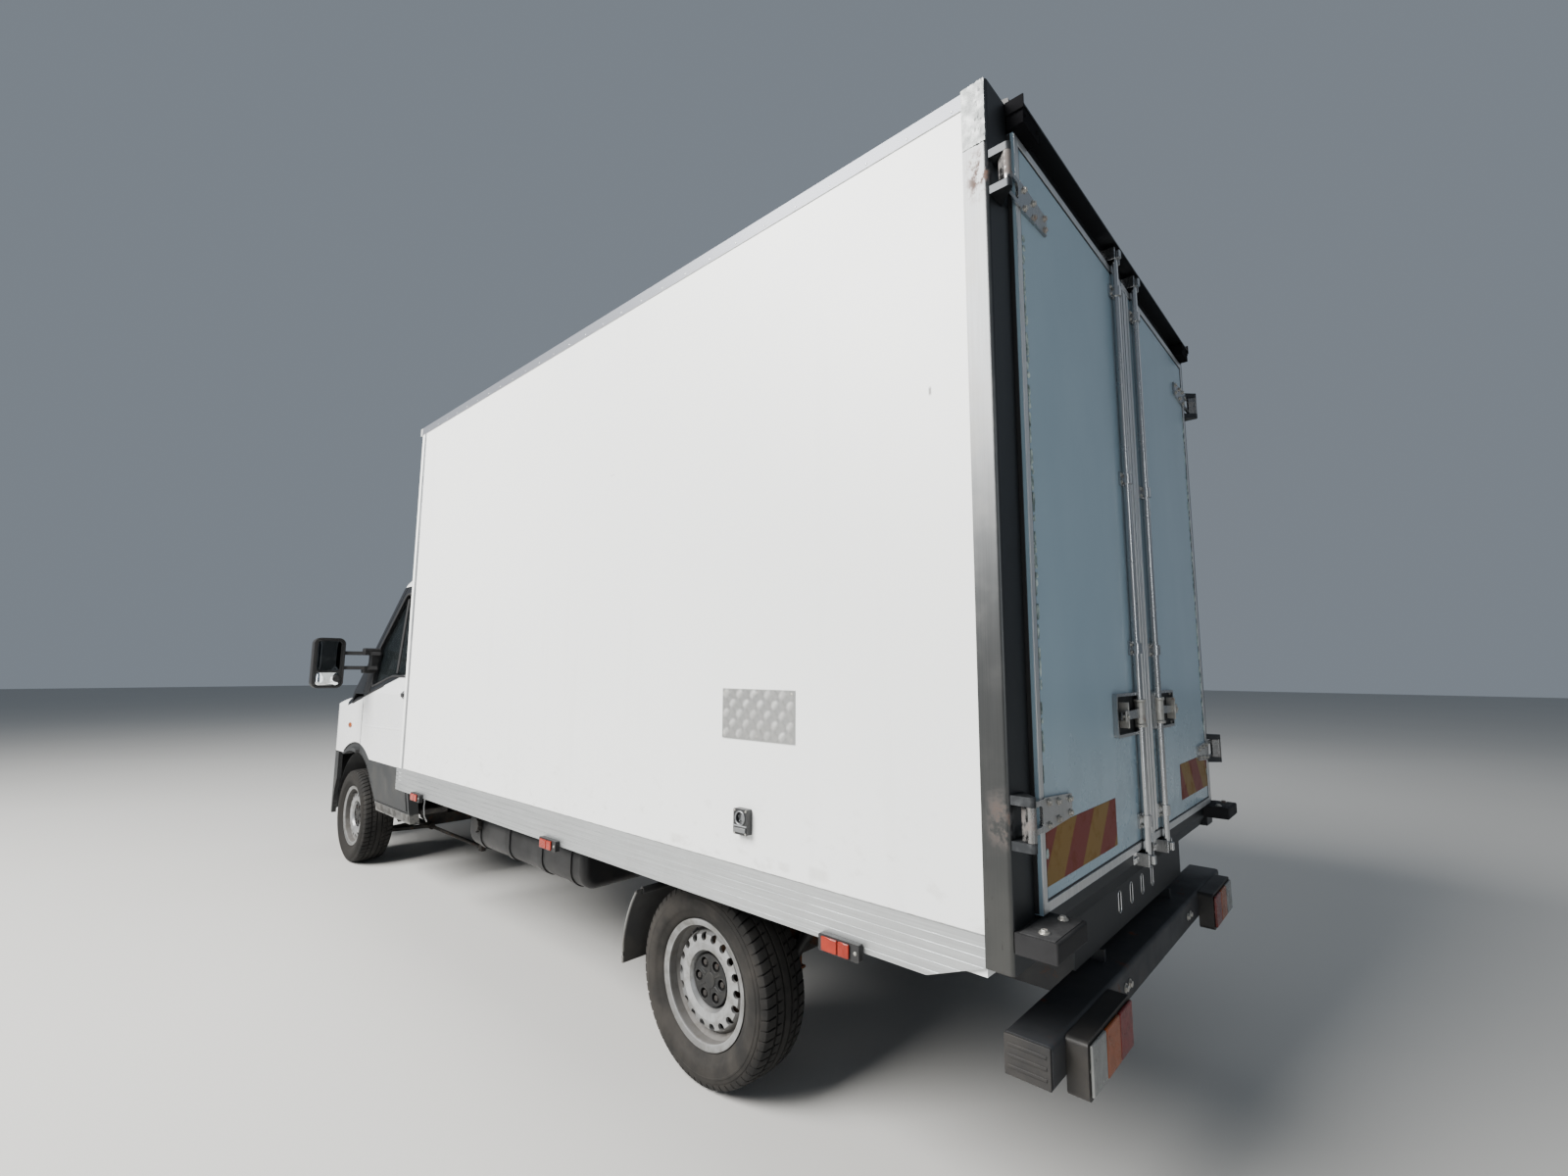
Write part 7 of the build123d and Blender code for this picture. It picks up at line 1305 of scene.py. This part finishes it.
def add_bumper_parts():
    """Blank plate on its holder, fog lamps and intake mesh."""
    bumper = skin_of("front_bumper")
    plate = bmesh.new()
    block(plate, -0.267, 0.267, -3.2120, -3.2020, 0.403, 0.529)
    for x in (-0.18, 0.18):
        block(plate, x - 0.015, x + 0.015, -3.2040, -3.1640, 0.440, 0.492)
    add_piece(plate, "plate_holder", "grille_plastic", 0.003)
    plate = bmesh.new()
    block(plate, -0.260, 0.260, -3.2138, -3.2110, 0.410, 0.522)
    add_piece(plate, "plate_blank", "plate_white", 0.001)
    fogs, rings = bmesh.new(), bmesh.new()
    for _, side in SIDES:
        centre = meet(bumper, (side * 0.725, -4.0, 0.600), (0.0, 1.0, 0.0))
        tilt = Vector((side * 0.42, -0.90, 0.0)).normalized()
        round_bar(rings, centre - tilt * 0.030, centre + tilt * 0.004, 0.058, 0.054, 36)
        ball(fogs, centre - tilt * 0.012, 0.046, (1.0, 0.5, 1.0), 28)
    add_piece(rings, "fog_rims", "grille_plastic", 0.002)
    add_piece(fogs, "fog_lenses", "clear_lens")
    mesh_bars = bmesh.new()
    for z in (0.392, 0.424, 0.456, 0.488, 0.520):
        round_bar(mesh_bars, (-0.40, -3.165, z), (0.40, -3.165, z), 0.005, sides=10)
    for index in range(27):
        x = -0.39 + index * 0.030
        round_bar(mesh_bars, (x, -3.165, 0.372), (x, -3.165, 0.540), 0.003, sides=8)
    add_piece(mesh_bars, "intake_mesh", "grille_plastic")


def add_lid_and_roof_creases():
    lid = skin_of("bonnet")
    for name, side in SIDES:
        crease = bmesh.new()
        path = [(side * (0.36 + 0.18 * share), -3.02 + 0.42 * share, 3.0) for share in steps(0.0, 1.0, 14)]
        beading(crease, lid, path, (0, 0, -1), 0.032, 0.0024)
        add_piece(crease, "bonnet_crease_" + name, "cab_paint", 0.002, body="bonnet")
    roof = skin_of("cab_roof")
    ribs = bmesh.new()
    for x in (-0.48, -0.16, 0.16, 0.48):
        path = [(x, y, 3.0) for y in steps(-1.62, -1.10, 10)]
        beading(ribs, roof, path, (0, 0, -1), 0.050, 0.006)
    add_piece(ribs, "roof_ribs", "cab_paint", 0.002)


plain_look("plate_white", (0.60, 0.60, 0.58), 0.35, other=(0.52, 0.52, 0.50), patch=20.0)
plain_look("sill_scuffed", (0.11, 0.11, 0.107), 0.5, 0.3, other=(0.035, 0.035, 0.035), patch=16.0,
           grain=(260.0, 0.2, 0.0006), dust=0.5, dust_top=0.9)
# main mirror glass near black: a painted dark reflection, not the silvered glass's own tone
mirror_look("mirror_dark_reflection", (0.014, 0.016, 0.018), (0.028, 0.030, 0.032))
for name, side in SIDES:
    door_skin = skin_of("cab_door_" + name)
    side_skin = skin_of("cab_sides", "front_wings")
    add_cab_cladding(name, side, door_skin, side_skin)
    add_window_trim(name, side, door_skin, side_skin)
    add_door_parts(name, side, door_skin)
    add_mirror(name, side)
    add_wing_parts(name, side, side_skin)
add_screen_parts()
add_grille_parts()
add_headlamp_parts()
add_bumper_parts()
add_lid_and_roof_creases()


# ---------------------------------------------------------------- cooling unit, box inside
def add_cooling_details():
    """Condenser mesh behind the louvres, seams, screws, side vents and feet."""
    unit = skin_of("cooling_unit")
    tall = 0.470
    dark = bmesh.new()
    for index in range(7):
        low = 2.330 + tall * (0.32 + 0.068 * index)
        block(dark, -0.4495, 0.4495, -1.2490, -1.2455, low + 0.0005, low + tall * 0.068 * 0.56 - 0.0005)
        for column in range(60):
            x = -0.4425 + column * 0.015
            round_bar(dark, (x, -1.2515, low + 0.001), (x, -1.2515, low + 0.017), 0.0016, sides=6)
    add_piece(dark, "condenser_fins", "engine_metal")
    seam = bmesh.new()
    for x in (-0.36, 0.36):
        path = [(x, -4.0, z) for z in steps(2.352, 2.462, 4)]
        beading(seam, unit, path, (0, 1, 0), 0.006, 0.003)
    path = [(x, -4.0, 2.462) for x in steps(-0.50, 0.50, 20)]
    beading(seam, unit, path, (0, 1, 0), 0.006, 0.003)
    add_piece(seam, "unit_seams", "seal_rubber")
    screws = bmesh.new()
    for x in (-0.47, -0.30, 0.30, 0.47):
        for z in (2.385, 2.440):
            place = meet(unit, (x, -4.0, z), (0, 1, 0))
            bolt(screws, place + Vector((0, 0.001, 0)), (0, -1, 0), 0.007, 0.005)
    for side in (-1, 1):
        for y in (-0.95, -1.10):
            bolt(screws, (side * 0.5595, y, 2.400), (side, 0, 0), 0.008, 0.006)
            bolt(screws, (side * 0.5595, y, 2.640), (side, 0, 0), 0.008, 0.006)
    add_piece(screws, "unit_screws", "bolt_zinc", 0.0005)
    vents = bmesh.new()
    for side in (-1, 1):
        for index in range(8):
            z = 2.455 + index * 0.020
            side_block(vents, side, 0.5595, 0.5625, -1.185, -1.005, z, z + 0.009)
    add_piece(vents, "unit_side_vents", "grille_plastic", 0.001)
    feet = bmesh.new()
    for x in (-0.44, 0.44):
        prism(feet, [(-0.8905, 2.262), (-0.8905, 2.3295), (-1.06, 2.3295), (-1.06, 2.318), (-0.905, 2.262)], 0,
              x - 0.020, x + 0.020)
        bolt(feet, (x, -0.904, 2.285), (0, -1, 0), 0.008, 0.006)
    add_piece(feet, "unit_feet", "galvanised", 0.0015)


def add_evaporator_parts():
    """Fans, guards and outlet of the evaporator."""
    fans, guards = bmesh.new(), bmesh.new()
    for x in (-0.3, 0.0, 0.3):
        centre = Vector((x, -0.6594, 2.8005))
        for index in range(5):
            turn = math.tau * index / 5
            blade = []
            for reach, sweep_turn in ((0.028, 0.0), (0.072, 0.10), (0.072, 0.75), (0.028, 0.60)):
                angle = turn + sweep_turn
                rise = 0.016 if sweep_turn > 0.5 else 0.006
                blade.append(centre + Vector((reach * math.cos(angle), reach * math.sin(angle), rise)))
            low = [fans.verts.new(point) for point in blade]
            high = [fans.verts.new(point + Vector((0, 0, 0.002))) for point in blade]
            fans.faces.new(low[::-1])
            fans.faces.new(high)
            join_rings(fans, low, high)
        round_bar(fans, centre + Vector((0, 0, 0.003)), centre + Vector((0, 0, 0.022)), 0.029, sides=24)
        for reach in (0.018, 0.036, 0.054, 0.072, 0.084):
            ring = [centre + Vector((a, b, -0.004)) for a, b in circle_section(reach, 32)]
            sweep(guards, ring, circle_section(0.0018, 6), True)
        for index in range(4):
            angle = math.tau * index / 4 + 0.4
            tip = centre + Vector((0.088 * math.cos(angle), 0.088 * math.sin(angle), -0.004))
            round_bar(guards, centre + Vector((0, 0, -0.004)), tip, 0.002, sides=8)
            round_bar(guards, tip, tip + Vector((0, 0, 0.005)), 0.003, sides=8)
    add_piece(fans, "evaporator_fans", "grille_plastic", 0.0005)
    add_piece(guards, "fan_guards", "bolt_zinc")
    outlet = bmesh.new()
    for index in range(7):
        share = 0.12 + index * 0.13
        y, z = -0.4994 + 0.11 * share, 2.8004 + 0.13 * share
        block(outlet, -0.45, 0.45, y - 0.002, y + 0.010, z - 0.006, z + 0.001)
    for x in (-0.451, -0.15, 0.15, 0.451):
        sweep(outlet, [(x, -0.494, 2.803), (x, -0.396, 2.919)], [(-0.004, -0.002), (0.004, -0.002), (0.004, 0.010),
                                                                  (-0.004, 0.010)])
    add_piece(outlet, "evaporator_outlet", "lamp_plastic", 0.0006)


def add_box_inside():
    """Kick rails, lashing rails, ceiling lamp and threshold of the load space."""
    kick, lash, slot_shade = bmesh.new(), bmesh.new(), bmesh.new()
    for _, side in SIDES:
        side_block(kick, side, 1.0398, 1.0365, -0.800, 3.050, 0.8905, 1.060)
        for z in (0.925, 0.965, 1.005, 1.045):
            side_block(kick, side, 1.0370, 1.0350, -0.800, 3.050, z - 0.003, z + 0.003)
        for height in (1.55, 2.25):
            x0, x1 = side * 1.0398, side * 1.0300
            prism(lash, [(x0, height - 0.040), (x1, height - 0.026), (x1, height + 0.026), (x0, height + 0.040)], 1,
                  -0.78, 3.03)
            for index in range(37):
                y = -0.72 + index * 0.1
                # painted shade: thin black plates on the rail's face stand for its slots
                side_block(slot_shade, side, 1.0302, 1.0290, y - 0.010, y + 0.010, height - 0.019,
                      height + 0.019)
    block(kick, -1.034, 1.034, -0.8095, -0.8060, 0.8905, 1.060)
    block(kick, -0.965, 0.965, 2.990, 3.064, 0.8902, 0.8935)
    add_piece(kick, "kick_rails", "rail_aluminium", 0.0008)
    add_piece(lash, "lashing_rails", "galvanised", 0.0015)
    add_piece(slot_shade, "lashing_slots", "seal_rubber")
    lamp = bmesh.new()
    for y in (0.85, 2.25):
        block(lamp, -0.10, 0.10, y - 0.055, y + 0.055, 2.962, 2.9895)
    add_piece(lamp, "ceiling_lamps", "unit_white", 0.008, rounds=4)
    cover = bmesh.new()
    for index in range(17):
        x = -0.90 + index * 0.1125
        round_bar(cover, (x, 3.000, 0.8935), (x, 3.060, 0.8935), 0.0022, sides=8)
    add_piece(cover, "threshold_ribs", "strip_aluminium")


# ---------------------------------------------------------------- under the truck and at the rear
def damper(mesh, low, high, radius):
    """Telescopic damper with an eye at each end."""
    low, high = Vector(low), Vector(high)
    middle = low.lerp(high, 0.48)
    round_bar(mesh, low, middle, radius * 0.80)
    round_bar(mesh, middle - (high - low) * 0.03, high, radius)
    for end in (low, high):
        round_bar(mesh, end - Vector((0.022, 0, 0)), end + Vector((0.022, 0, 0)), radius * 0.85, sides=20)
        bolt(mesh, end + Vector((0.022 if end.x > 0 else -0.022, 0, 0)), (1 if end.x > 0 else -1, 0, 0), 0.010, 0.008)


def add_under_details():
    """Spring bolts, brake pipes, dampers, edges of the mudguards, front arch liners and the tank's cap."""
    bolts, pipes, dampers, edges = (bmesh.new() for _ in range(4))
    for _, side in SIDES:
        for dx in (-0.047, 0.047):
            for dy in (-0.048, 0.048):
                x, y = side * 0.500 + dx, REAR_AXLE_Y + dy
                round_bar(bolts, (x, y, 0.262), (x, y, 0.474), 0.0065, sides=12)
                bolt(bolts, (x, y, 0.268), (0, 0, -1), 0.0105, 0.012)
            x = side * 0.500 + dx
            round_bar(bolts, (x, REAR_AXLE_Y - 0.048, 0.472), (x, REAR_AXLE_Y + 0.048, 0.472), 0.0065, sides=12)
        block(bolts, side * 0.500 - 0.060, side * 0.500 + 0.060, REAR_AXLE_Y - 0.066, REAR_AXLE_Y + 0.066, 0.268,
              0.277)
        for y in (REAR_AXLE_Y - 0.62, REAR_AXLE_Y + 0.62):
            bolt(bolts, (side * 0.5525, y, 0.545), (side, 0, 0), 0.013, 0.012)
        damper(dampers, (side * 0.600, REAR_AXLE_Y + 0.085, 0.300), (side * 0.462, REAR_AXLE_Y + 0.235, 0.612), 0.029)
        damper(dampers, (side * 0.590, FRONT_AXLE_Y - 0.020, 0.262), (side * 0.470, FRONT_AXLE_Y - 0.010, 0.622),
               0.027)
        for y in (-2.55, -1.62, -0.72, 0.10, 1.02, 2.66):
            for z in (0.535, 0.605):
                bolt(bolts, (side * 0.4302, y, z), (side, 0, 0), 0.009, 0.007)
        arc = [on_wheel(side * 0.9845, REAR_AXLE_Y, 0.437, math.radians(angle)) for angle in steps(145.0, 184.8, 14)]
        sweep(edges, arc, circle_section(0.0055, 10))
        for angle in (150.0, 154.0):
            turn = math.radians(angle)
            for x in (0.80, 0.93):
                bolt(bolts, on_wheel(side * x, REAR_AXLE_Y, 0.4395, turn), (0, math.cos(turn), math.sin(turn)), 0.009,
                     0.006)
    for z in (0.585, 0.602):
        sweep(pipes, [(0.4365, y, z) for y in steps(-1.02, -0.25, 6)], circle_section(0.0042, 8))
        sweep(pipes, [(0.4365, y, z) for y in steps(1.06, 1.60, 5)], circle_section(0.0042, 8))
    for y in (-0.95, -0.60, -0.30, 1.12, 1.45):
        block(pipes, 0.4302, 0.4420, y - 0.010, y + 0.010, 0.577, 0.611)
    add_piece(bolts, "chassis_bolts", "cast_iron", 0.0006)
    add_piece(pipes, "brake_pipes", "seal_rubber")
    add_piece(dampers, "dampers", "tank_plastic", 0.001)
    add_piece(edges, "guard_edges", "guard_edge")
    # liners of the front arches, with a lip towards the cab
    for name, side in SIDES:
        liner = bmesh.new()
        for inner, outer, near, deep, last in ((0.4745, 0.4775, 0.735, 0.926, 165.0),
                                               (0.452, 0.490, 0.884, 0.888, 100.0)):
            turns = [math.radians(angle) for angle in steps(18.0, last, 30)]
            outline = [(FRONT_AXLE_Y + outer * math.cos(turn), HUB_Z + outer * math.sin(turn)) for turn in turns]
            outline += [(FRONT_AXLE_Y + inner * math.cos(turn), HUB_Z + inner * math.sin(turn))
                        for turn in turns[::-1]]
            prism(liner, outline, 0, *sorted((side * near, side * deep)))
        add_piece(liner, "arch_liner_" + name, "tank_plastic", smooth=30.0)
    cap = bmesh.new()
    tank = skin_of("fuel_tank")
    centre = meet(tank, (2.0, -0.05, 0.610), (-1, 0, 0))
    round_bar(cap, centre - Vector((0.002, 0, 0)), centre + Vector((0.022, 0, 0)), 0.040, 0.037, 36)
    for index in range(10):
        turn = math.tau * index / 10
        place = centre + Vector((0.010, 0.0385 * math.cos(turn), 0.0385 * math.sin(turn)))
        round_bar(cap, place - Vector((0.008, 0, 0)), place + Vector((0.011, 0, 0)), 0.0045, sides=8)
    add_piece(cap, "tank_cap", "mirror_housing", 0.0015)


def add_rear_details():
    """Buffer bolts and lighter tops, worn and with painted light, bar caps and reflectors, header lamp lenses, light
    rims of the apron's slots.
    """
    bolts, tops, caps = bmesh.new(), bmesh.new(), bmesh.new()
    for _, side in SIDES:
        for x in (0.945, 1.062):
            round_bar(bolts, (side * x, 3.185, 0.8836), (side * x, 3.185, 0.8856), 0.013, sides=24)
            bolt(bolts, (side * x, 3.185, 0.8854), (0, 0, 1), 0.009, 0.007)
        # lighter plates on the buffers' tops: wear, and painted light where the tops catch the light
        side_block(tops, side, 0.915, 1.095, 3.140, 3.222, 0.8815, 0.8838)
        side_block(caps, side, 0.9802, 0.9865, 3.043, 3.157, 0.503, 0.597)
        for z in (0.525, 0.550, 0.575):
            side_block(caps, side, 0.9860, 0.9885, 3.052, 3.148, z - 0.004, z + 0.004)
        for x in (0.375, 0.415):
            bolt(bolts, (side * x, 3.1602, 0.550), (0, 1, 0), 0.010, 0.009)
    add_piece(bolts, "rear_bolts", "bolt_zinc", 0.0006)
    add_piece(tops, "buffer_tops", "rubber_worn_lit", 0.001)
    add_piece(caps, "bar_caps", "grille_plastic", 0.002)
    lamp = skin_of("lamps")
    lenses = bmesh.new()
    for _, side in SIDES:
        place = meet(lamp, (side * 0.915, 5.0, 3.088), (0, -1, 0))
        block(lenses, side * 0.915 - 0.040, side * 0.915 + 0.040, place.y - 0.001, place.y + 0.004, 3.078, 3.098)
    add_piece(lenses, "top_lenses", "red_lens", 0.0015)
    rims = bmesh.new()
    for index in range(4):
        x = (index - 1.5) * SLOT_PITCH
        half = SLOT_TALL / 2 - SLOT_WIDE / 2
        ring = []
        for k in range(9):
            turn = math.pi * k / 8
            ring.append((x + SLOT_WIDE / 2 * math.cos(turn), SLOT_Z + half + SLOT_WIDE / 2 * math.sin(turn)))
        for k in range(9):
            turn = math.pi + math.pi * k / 8
            ring.append((x + SLOT_WIDE / 2 * math.cos(turn), SLOT_Z - half + SLOT_WIDE / 2 * math.sin(turn)))
        sweep(rims, [(a, 3.0905, b) for a, b in ring], circle_section(0.0016, 6), True, (0.0, 1.0, 0.0))
    covers = bmesh.new()
    for _, side in SIDES:
        for way in (-1, 1):
            for low, high in ((2.9885, 3.0335), (0.8405, 0.8825)):
                near, far, foot = (side * 0.122 + way * reach for reach in (0.0283, 0.0302, 0.0480))
                block(covers, *sorted((near, far)), 3.1305, 3.1745, low, high)
                block(covers, *sorted((side * 0.122 + way * 0.0208, far)), 3.1738, 3.1756, low, high)
                block(covers, *sorted((near, foot)), 3.1302, 3.1332, low + 0.003, high - 0.003)
                bolt(covers, ((far + foot) / 2, 3.1330, (low + high) / 2), (0, 1, 0), 0.0065, 0.006)
    add_piece(covers, "keeper_covers", "keeper_chrome", 0.0006)
    # black ends of the header, below the top lamps
    ends = bmesh.new()
    for _, side in SIDES:
        side_block(ends, side, 0.866, 0.978, 3.1320, 3.1800, 2.990, 3.043)
        side_block(ends, side, 0.9796, 0.9840, 3.1305, 3.1850, 3.030, 3.0710)
        for x in (0.880, 0.964):
            bolt(ends, (side * x, 3.1798, 3.018), (0, 1, 0), 0.005, 0.004)
    add_piece(ends, "marker_brackets", "marker_black", 0.004, rounds=3)
    add_piece(rims, "apron_rims", "strip_aluminium")


metal_look("keeper_chrome", (0.62, 0.63, 0.64), 0.22, UP_STREAK, 0.25)
plain_look("guard_edge", (0.16, 0.16, 0.155), 0.55, other=(0.10, 0.10, 0.095), patch=14.0, grain=(300.0, 0.2, 0.0006),
           dust=0.4, dust_top=0.7)
plain_look("rubber_worn_lit", (0.032, 0.032, 0.033), 0.75, other=(0.018, 0.018, 0.019), patch=30.0,
           grain=(200.0, 0.4, 0.0008))
add_cooling_details()
add_evaporator_parts()
add_box_inside()
add_under_details()
add_rear_details()


# ---------------------------------------------------------------- cab inside
def cushion(name, low, high, lean, crown, channels):
    """Padded block between two corners: sheared along Y by its lean, crowned by cloth pressure."""
    low, high = Vector(low), Vector(high)
    size = high - low
    mesh = bmesh.new()
    bmesh.ops.create_cube(mesh, size=1.0)
    bmesh.ops.scale(mesh, vec=size * 0.955, verts=mesh.verts)
    bmesh.ops.bevel(mesh, geom=mesh.edges[:], offset=min(size) * 0.24, segments=4, profile=0.6, affect="EDGES")
    item = add_piece(mesh, name, "seat_fabric", smooth=80.0)
    remesh = item.modifiers.new("even", "REMESH")
    remesh.mode = "VOXEL"
    remesh.voxel_size = 0.010
    data = freeze(item)
    before = [vert.co.copy() for vert in data.vertices]
    cloth = item.modifiers.new("stuffing", "CLOTH")
    cloth.settings.use_pressure = True
    cloth.settings.uniform_pressure_force = 4.0
    cloth.settings.effector_weights.gravity = 0.0
    cloth.settings.quality = 4
    for step in range(1, 17):
        bpy.context.scene.frame_set(step)
    data = freeze(item)
    bpy.context.scene.frame_set(1)
    half = size / 2
    upright = size.z > size.y * 1.5
    for vert, start in zip(data.vertices, before):
        shift = vert.co - start
        if shift.length > crown:
            vert.co = start + shift.normalized() * crown
        place = vert.co
        # sewn channels run down the front and the top
        run = place.z / half.z if upright else place.y / half.y
        out = -place.y if upright else place.z
        depth = half.y if upright else half.z
        near = max(0.0, min(1.0, (out / depth - 0.55) / 0.3))
        groove = 0.0
        for channel in channels:
            gap = abs(place.x / half.x - channel) * half.x
            groove += math.exp(-(gap / 0.006) ** 2) * 0.009 * near
        for across in (-0.62, 0.62):
            gap = abs(run - across) * (half.z if upright else half.y)
            if abs(place.x / half.x) < 0.72:
                groove += math.exp(-(gap / 0.006) ** 2) * 0.007 * near
        # side bolsters stand proud of the middle
        swell = 0.014 * near * (max(0.0, abs(place.x / half.x) - 0.55) / 0.45) ** 1.5
        push = swell - groove
        if upright:
            place.y -= push
            place.y += lean * (place.z / size.z + 0.5)
        else:
            place.z += push
        vert.co = place + (low + high) / 2
    data.materials.clear()
    data.materials.append(looks["seat_fabric"])
    data.polygons.foreach_set("use_smooth", [True] * len(data.polygons))
    even = item.modifiers.new("rounding", "SUBSURF")
    even.levels = even.render_levels = 1
    return item


def add_seats():
    places = (("driver", 0.155, 0.635, (-0.45, 0.45)), ("bench_inner", -0.268, 0.098, (-0.5, 0.5)),
              ("bench_outer", -0.638, -0.272, (-0.5, 0.5)))
    for name, x0, x1, channels in places:
        seat = cushion("seat_cushion_" + name, (x0, -1.668, SEAT_LOW), (x1, -1.265, SEAT_HIGH), 0.0, 0.016,
                       channels)
        cushion("seat_back_" + name, (x0 + 0.008, -1.302, 1.168), (x1 - 0.008, -1.190, 1.742), 0.066, 0.016, channels)
        middle = (x0 + x1) / 2
        cushion("headrest_" + name, (middle - 0.125, -1.220, 1.800), (middle + 0.125, -1.130, 1.970), 0.0, 0.010, ())
        stems = bmesh.new()
        for dx in (-0.055, 0.055):
            round_bar(stems, (middle + dx, -1.172, 1.715), (middle + dx, -1.172, 1.830), 0.0055, sides=14)
        add_piece(stems, "headrest_stems_" + name, "chrome")
        if name == "driver":
            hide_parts("seats")
        shell = bmesh.new()
        block(shell, x0 + 0.020, x1 - 0.020, -1.640, -1.200, 1.0605, 1.082)
        prism(shell, [(-1.180, 1.080), (-1.150, 1.080), (-1.112, 1.700), (-1.128, 1.700)], 0, x0 + 0.030, x1 - 0.030)
        add_piece(shell, "seat_shell_" + name, "interior_plastic", 0.006)


def add_cab_inside():
    """Vents, screen, cluster hood and gear lever on the dashboard; hub and stalks of the steering wheel."""
    dash = skin_of("dashboard")
    vents, dials = bmesh.new(), bmesh.new()
    for x in (-0.72, -0.10, 0.10, 0.78):
        for index in range(4):
            place = meet(dash, (x, -1.0, 1.150 + index * 0.016), (0, -1, 0))
            block(vents, x - 0.052, x + 0.052, place.y - 0.004, place.y + 0.006, place.z - 0.0025, place.z + 0.0025)
        place = meet(dash, (x, -1.0, 1.174), (0, -1, 0))
        block(vents, x - 0.060, x - 0.056, place.y - 0.006, place.y + 0.008, 1.140, 1.206)
        block(vents, x + 0.056, x + 0.060, place.y - 0.006, place.y + 0.008, 1.140, 1.206)
    add_piece(vents, "dash_vents", "lamp_plastic", 0.001)
    block(dials, -0.085, 0.085, -2.040, -2.028, 1.222, 1.262)
    foot = meet(dash, (0.38, -2.13, 3.0), (0, 0, -1)).z
    arch = []
    for reach, rise, turns in ((0.150, 0.062, steps(0.0, 180.0, 16)), (0.140, 0.052, steps(180.0, 0.0, 16))):
        for angle in turns:
            turn = math.radians(angle)
            arch.append((0.38 + reach * math.cos(turn), foot - 0.004 + rise * math.sin(turn) ** 0.6))
    prism(dials, arch, 1, -2.190, -2.090)
    add_piece(dials, "cluster_hood", "interior_plastic", 0.002)
    knobs = bmesh.new()
    for x in (-0.045, 0.0, 0.045):
        place = meet(dash, (x, -1.0, 1.118), (0, -1, 0))
        round_bar(knobs, place - Vector((0, 0.002, 0)), place + Vector((0, 0.018, 0)), 0.016, 0.014, 24)
    lever_foot = meet(dash, (0.155, -1.0, 1.120), (0, -1, 0))
    round_bar(knobs, lever_foot - Vector((0, 0.004, 0)), lever_foot + Vector((0, 0.055, 0.085)), 0.008, sides=14)
    ball(knobs, lever_foot + Vector((0, 0.058, 0.092)), 0.024, (1, 1, 1.2), 20)
    add_piece(knobs, "dash_controls", "interior_plastic", 0.001)
    hub = bmesh.new()
    tilt = math.radians(38.0)
    axis = Vector((0.0, math.cos(tilt), math.sin(tilt)))
    centre = Vector((0.380, -1.900, 1.235))
    round_bar(hub, centre + axis * 0.004, centre + axis * 0.030, 0.066, 0.050, 32)
    cross = Vector((1.0, 0.0, 0.0))
    for way in (-1, 1):
        round_bar(hub, centre + cross * way * 0.060 + axis * 0.006, centre + cross * way * 0.180 + axis * 0.004, 0.013,
                  0.010, 14)
    add_piece(hub, "wheel_hub_pad", "interior_plastic", 0.006, rounds=3, body="steering_wheel")


add_seats()
add_cab_inside()


# ---------------------------------------------------------------- stage, light and camera
def add_stage():
    mesh = bmesh.new()
    bmesh.ops.create_grid(mesh, x_segments=1, y_segments=1, size=60.0)
    data = bpy.data.meshes.new("studio_floor")
    mesh.to_mesh(data)
    mesh.free()
    floor = bpy.data.objects.new("studio_floor", data)
    bpy.context.scene.collection.objects.link(floor)
    look = Look("studio_floor")
    tone = look.mix(look.noise(0.4, 3.0), (0.45, 0.445, 0.43), (0.48, 0.475, 0.46))
    look.finish(tone, 0.85)
    data.materials.append(look.material)


def add_light(name, place, target, size, power, colour):
    lamp = bpy.data.lights.new(name, "AREA")
    lamp.shape = "RECTANGLE"
    lamp.size, lamp.size_y = size
    lamp.energy = power
    lamp.color = colour
    item = bpy.data.objects.new(name, lamp)
    bpy.context.scene.collection.objects.link(item)
    item.location = place
    item.rotation_euler = (Vector(target) - Vector(place)).to_track_quat("-Z", "Y").to_euler()


add_stage()
LIGHTS = (  # name, place, target, size, power, colour
    ("key", (9.0, -1.5, 8.5), (0.6, 0.2, 1.2), (7.0, 7.0), 4900.0, (1.0, 0.985, 0.955)),
    ("fill", (-6.0, 12.0, 7.0), (0.0, 1.5, 1.4), (8.0, 6.0), 60.0, (0.92, 0.96, 1.0)),
    ("edge", (4.6, 8.8, 2.4), (0.1, 3.16, 1.9), (0.6, 4.5), 70.0, (0.95, 0.98, 1.0)),
    ("far", (-9.0, -4.5, 7.0), (0.0, 0.0, 1.4), (8.0, 6.0), 260.0, (0.95, 0.975, 1.0)),
)
for light in LIGHTS:
    add_light(*light)
world = bpy.data.worlds.new("studio")
bpy.context.scene.world = world
world.use_nodes = True
world.node_tree.nodes["Background"].inputs["Color"].default_value = (0.66, 0.76, 0.88, 1.0)
world.node_tree.nodes["Background"].inputs["Strength"].default_value = 0.30

ahead = Vector((math.sin(YAW) * math.cos(PITCH), math.cos(YAW) * math.cos(PITCH), math.sin(PITCH)))
level_right = Vector((math.cos(YAW), -math.sin(YAW), 0.0))
level_up = level_right.cross(ahead)
right = level_right * math.cos(ROLL) + level_up * math.sin(ROLL)
up = level_up * math.cos(ROLL) - level_right * math.sin(ROLL)
lens = bpy.data.cameras.new("photo_view")
lens.sensor_width = 36.0
lens.lens = CAMERA_LENS
lens.clip_end = 200.0
camera = bpy.data.objects.new("photo_view", lens)
bpy.context.scene.collection.objects.link(camera)
camera.matrix_world = Matrix.Translation(CAMERA_PLACE) @ Matrix(
    ((right.x, up.x, -ahead.x), (right.y, up.y, -ahead.y), (right.z, up.z, -ahead.z))).to_4x4()
bpy.context.scene.camera = camera
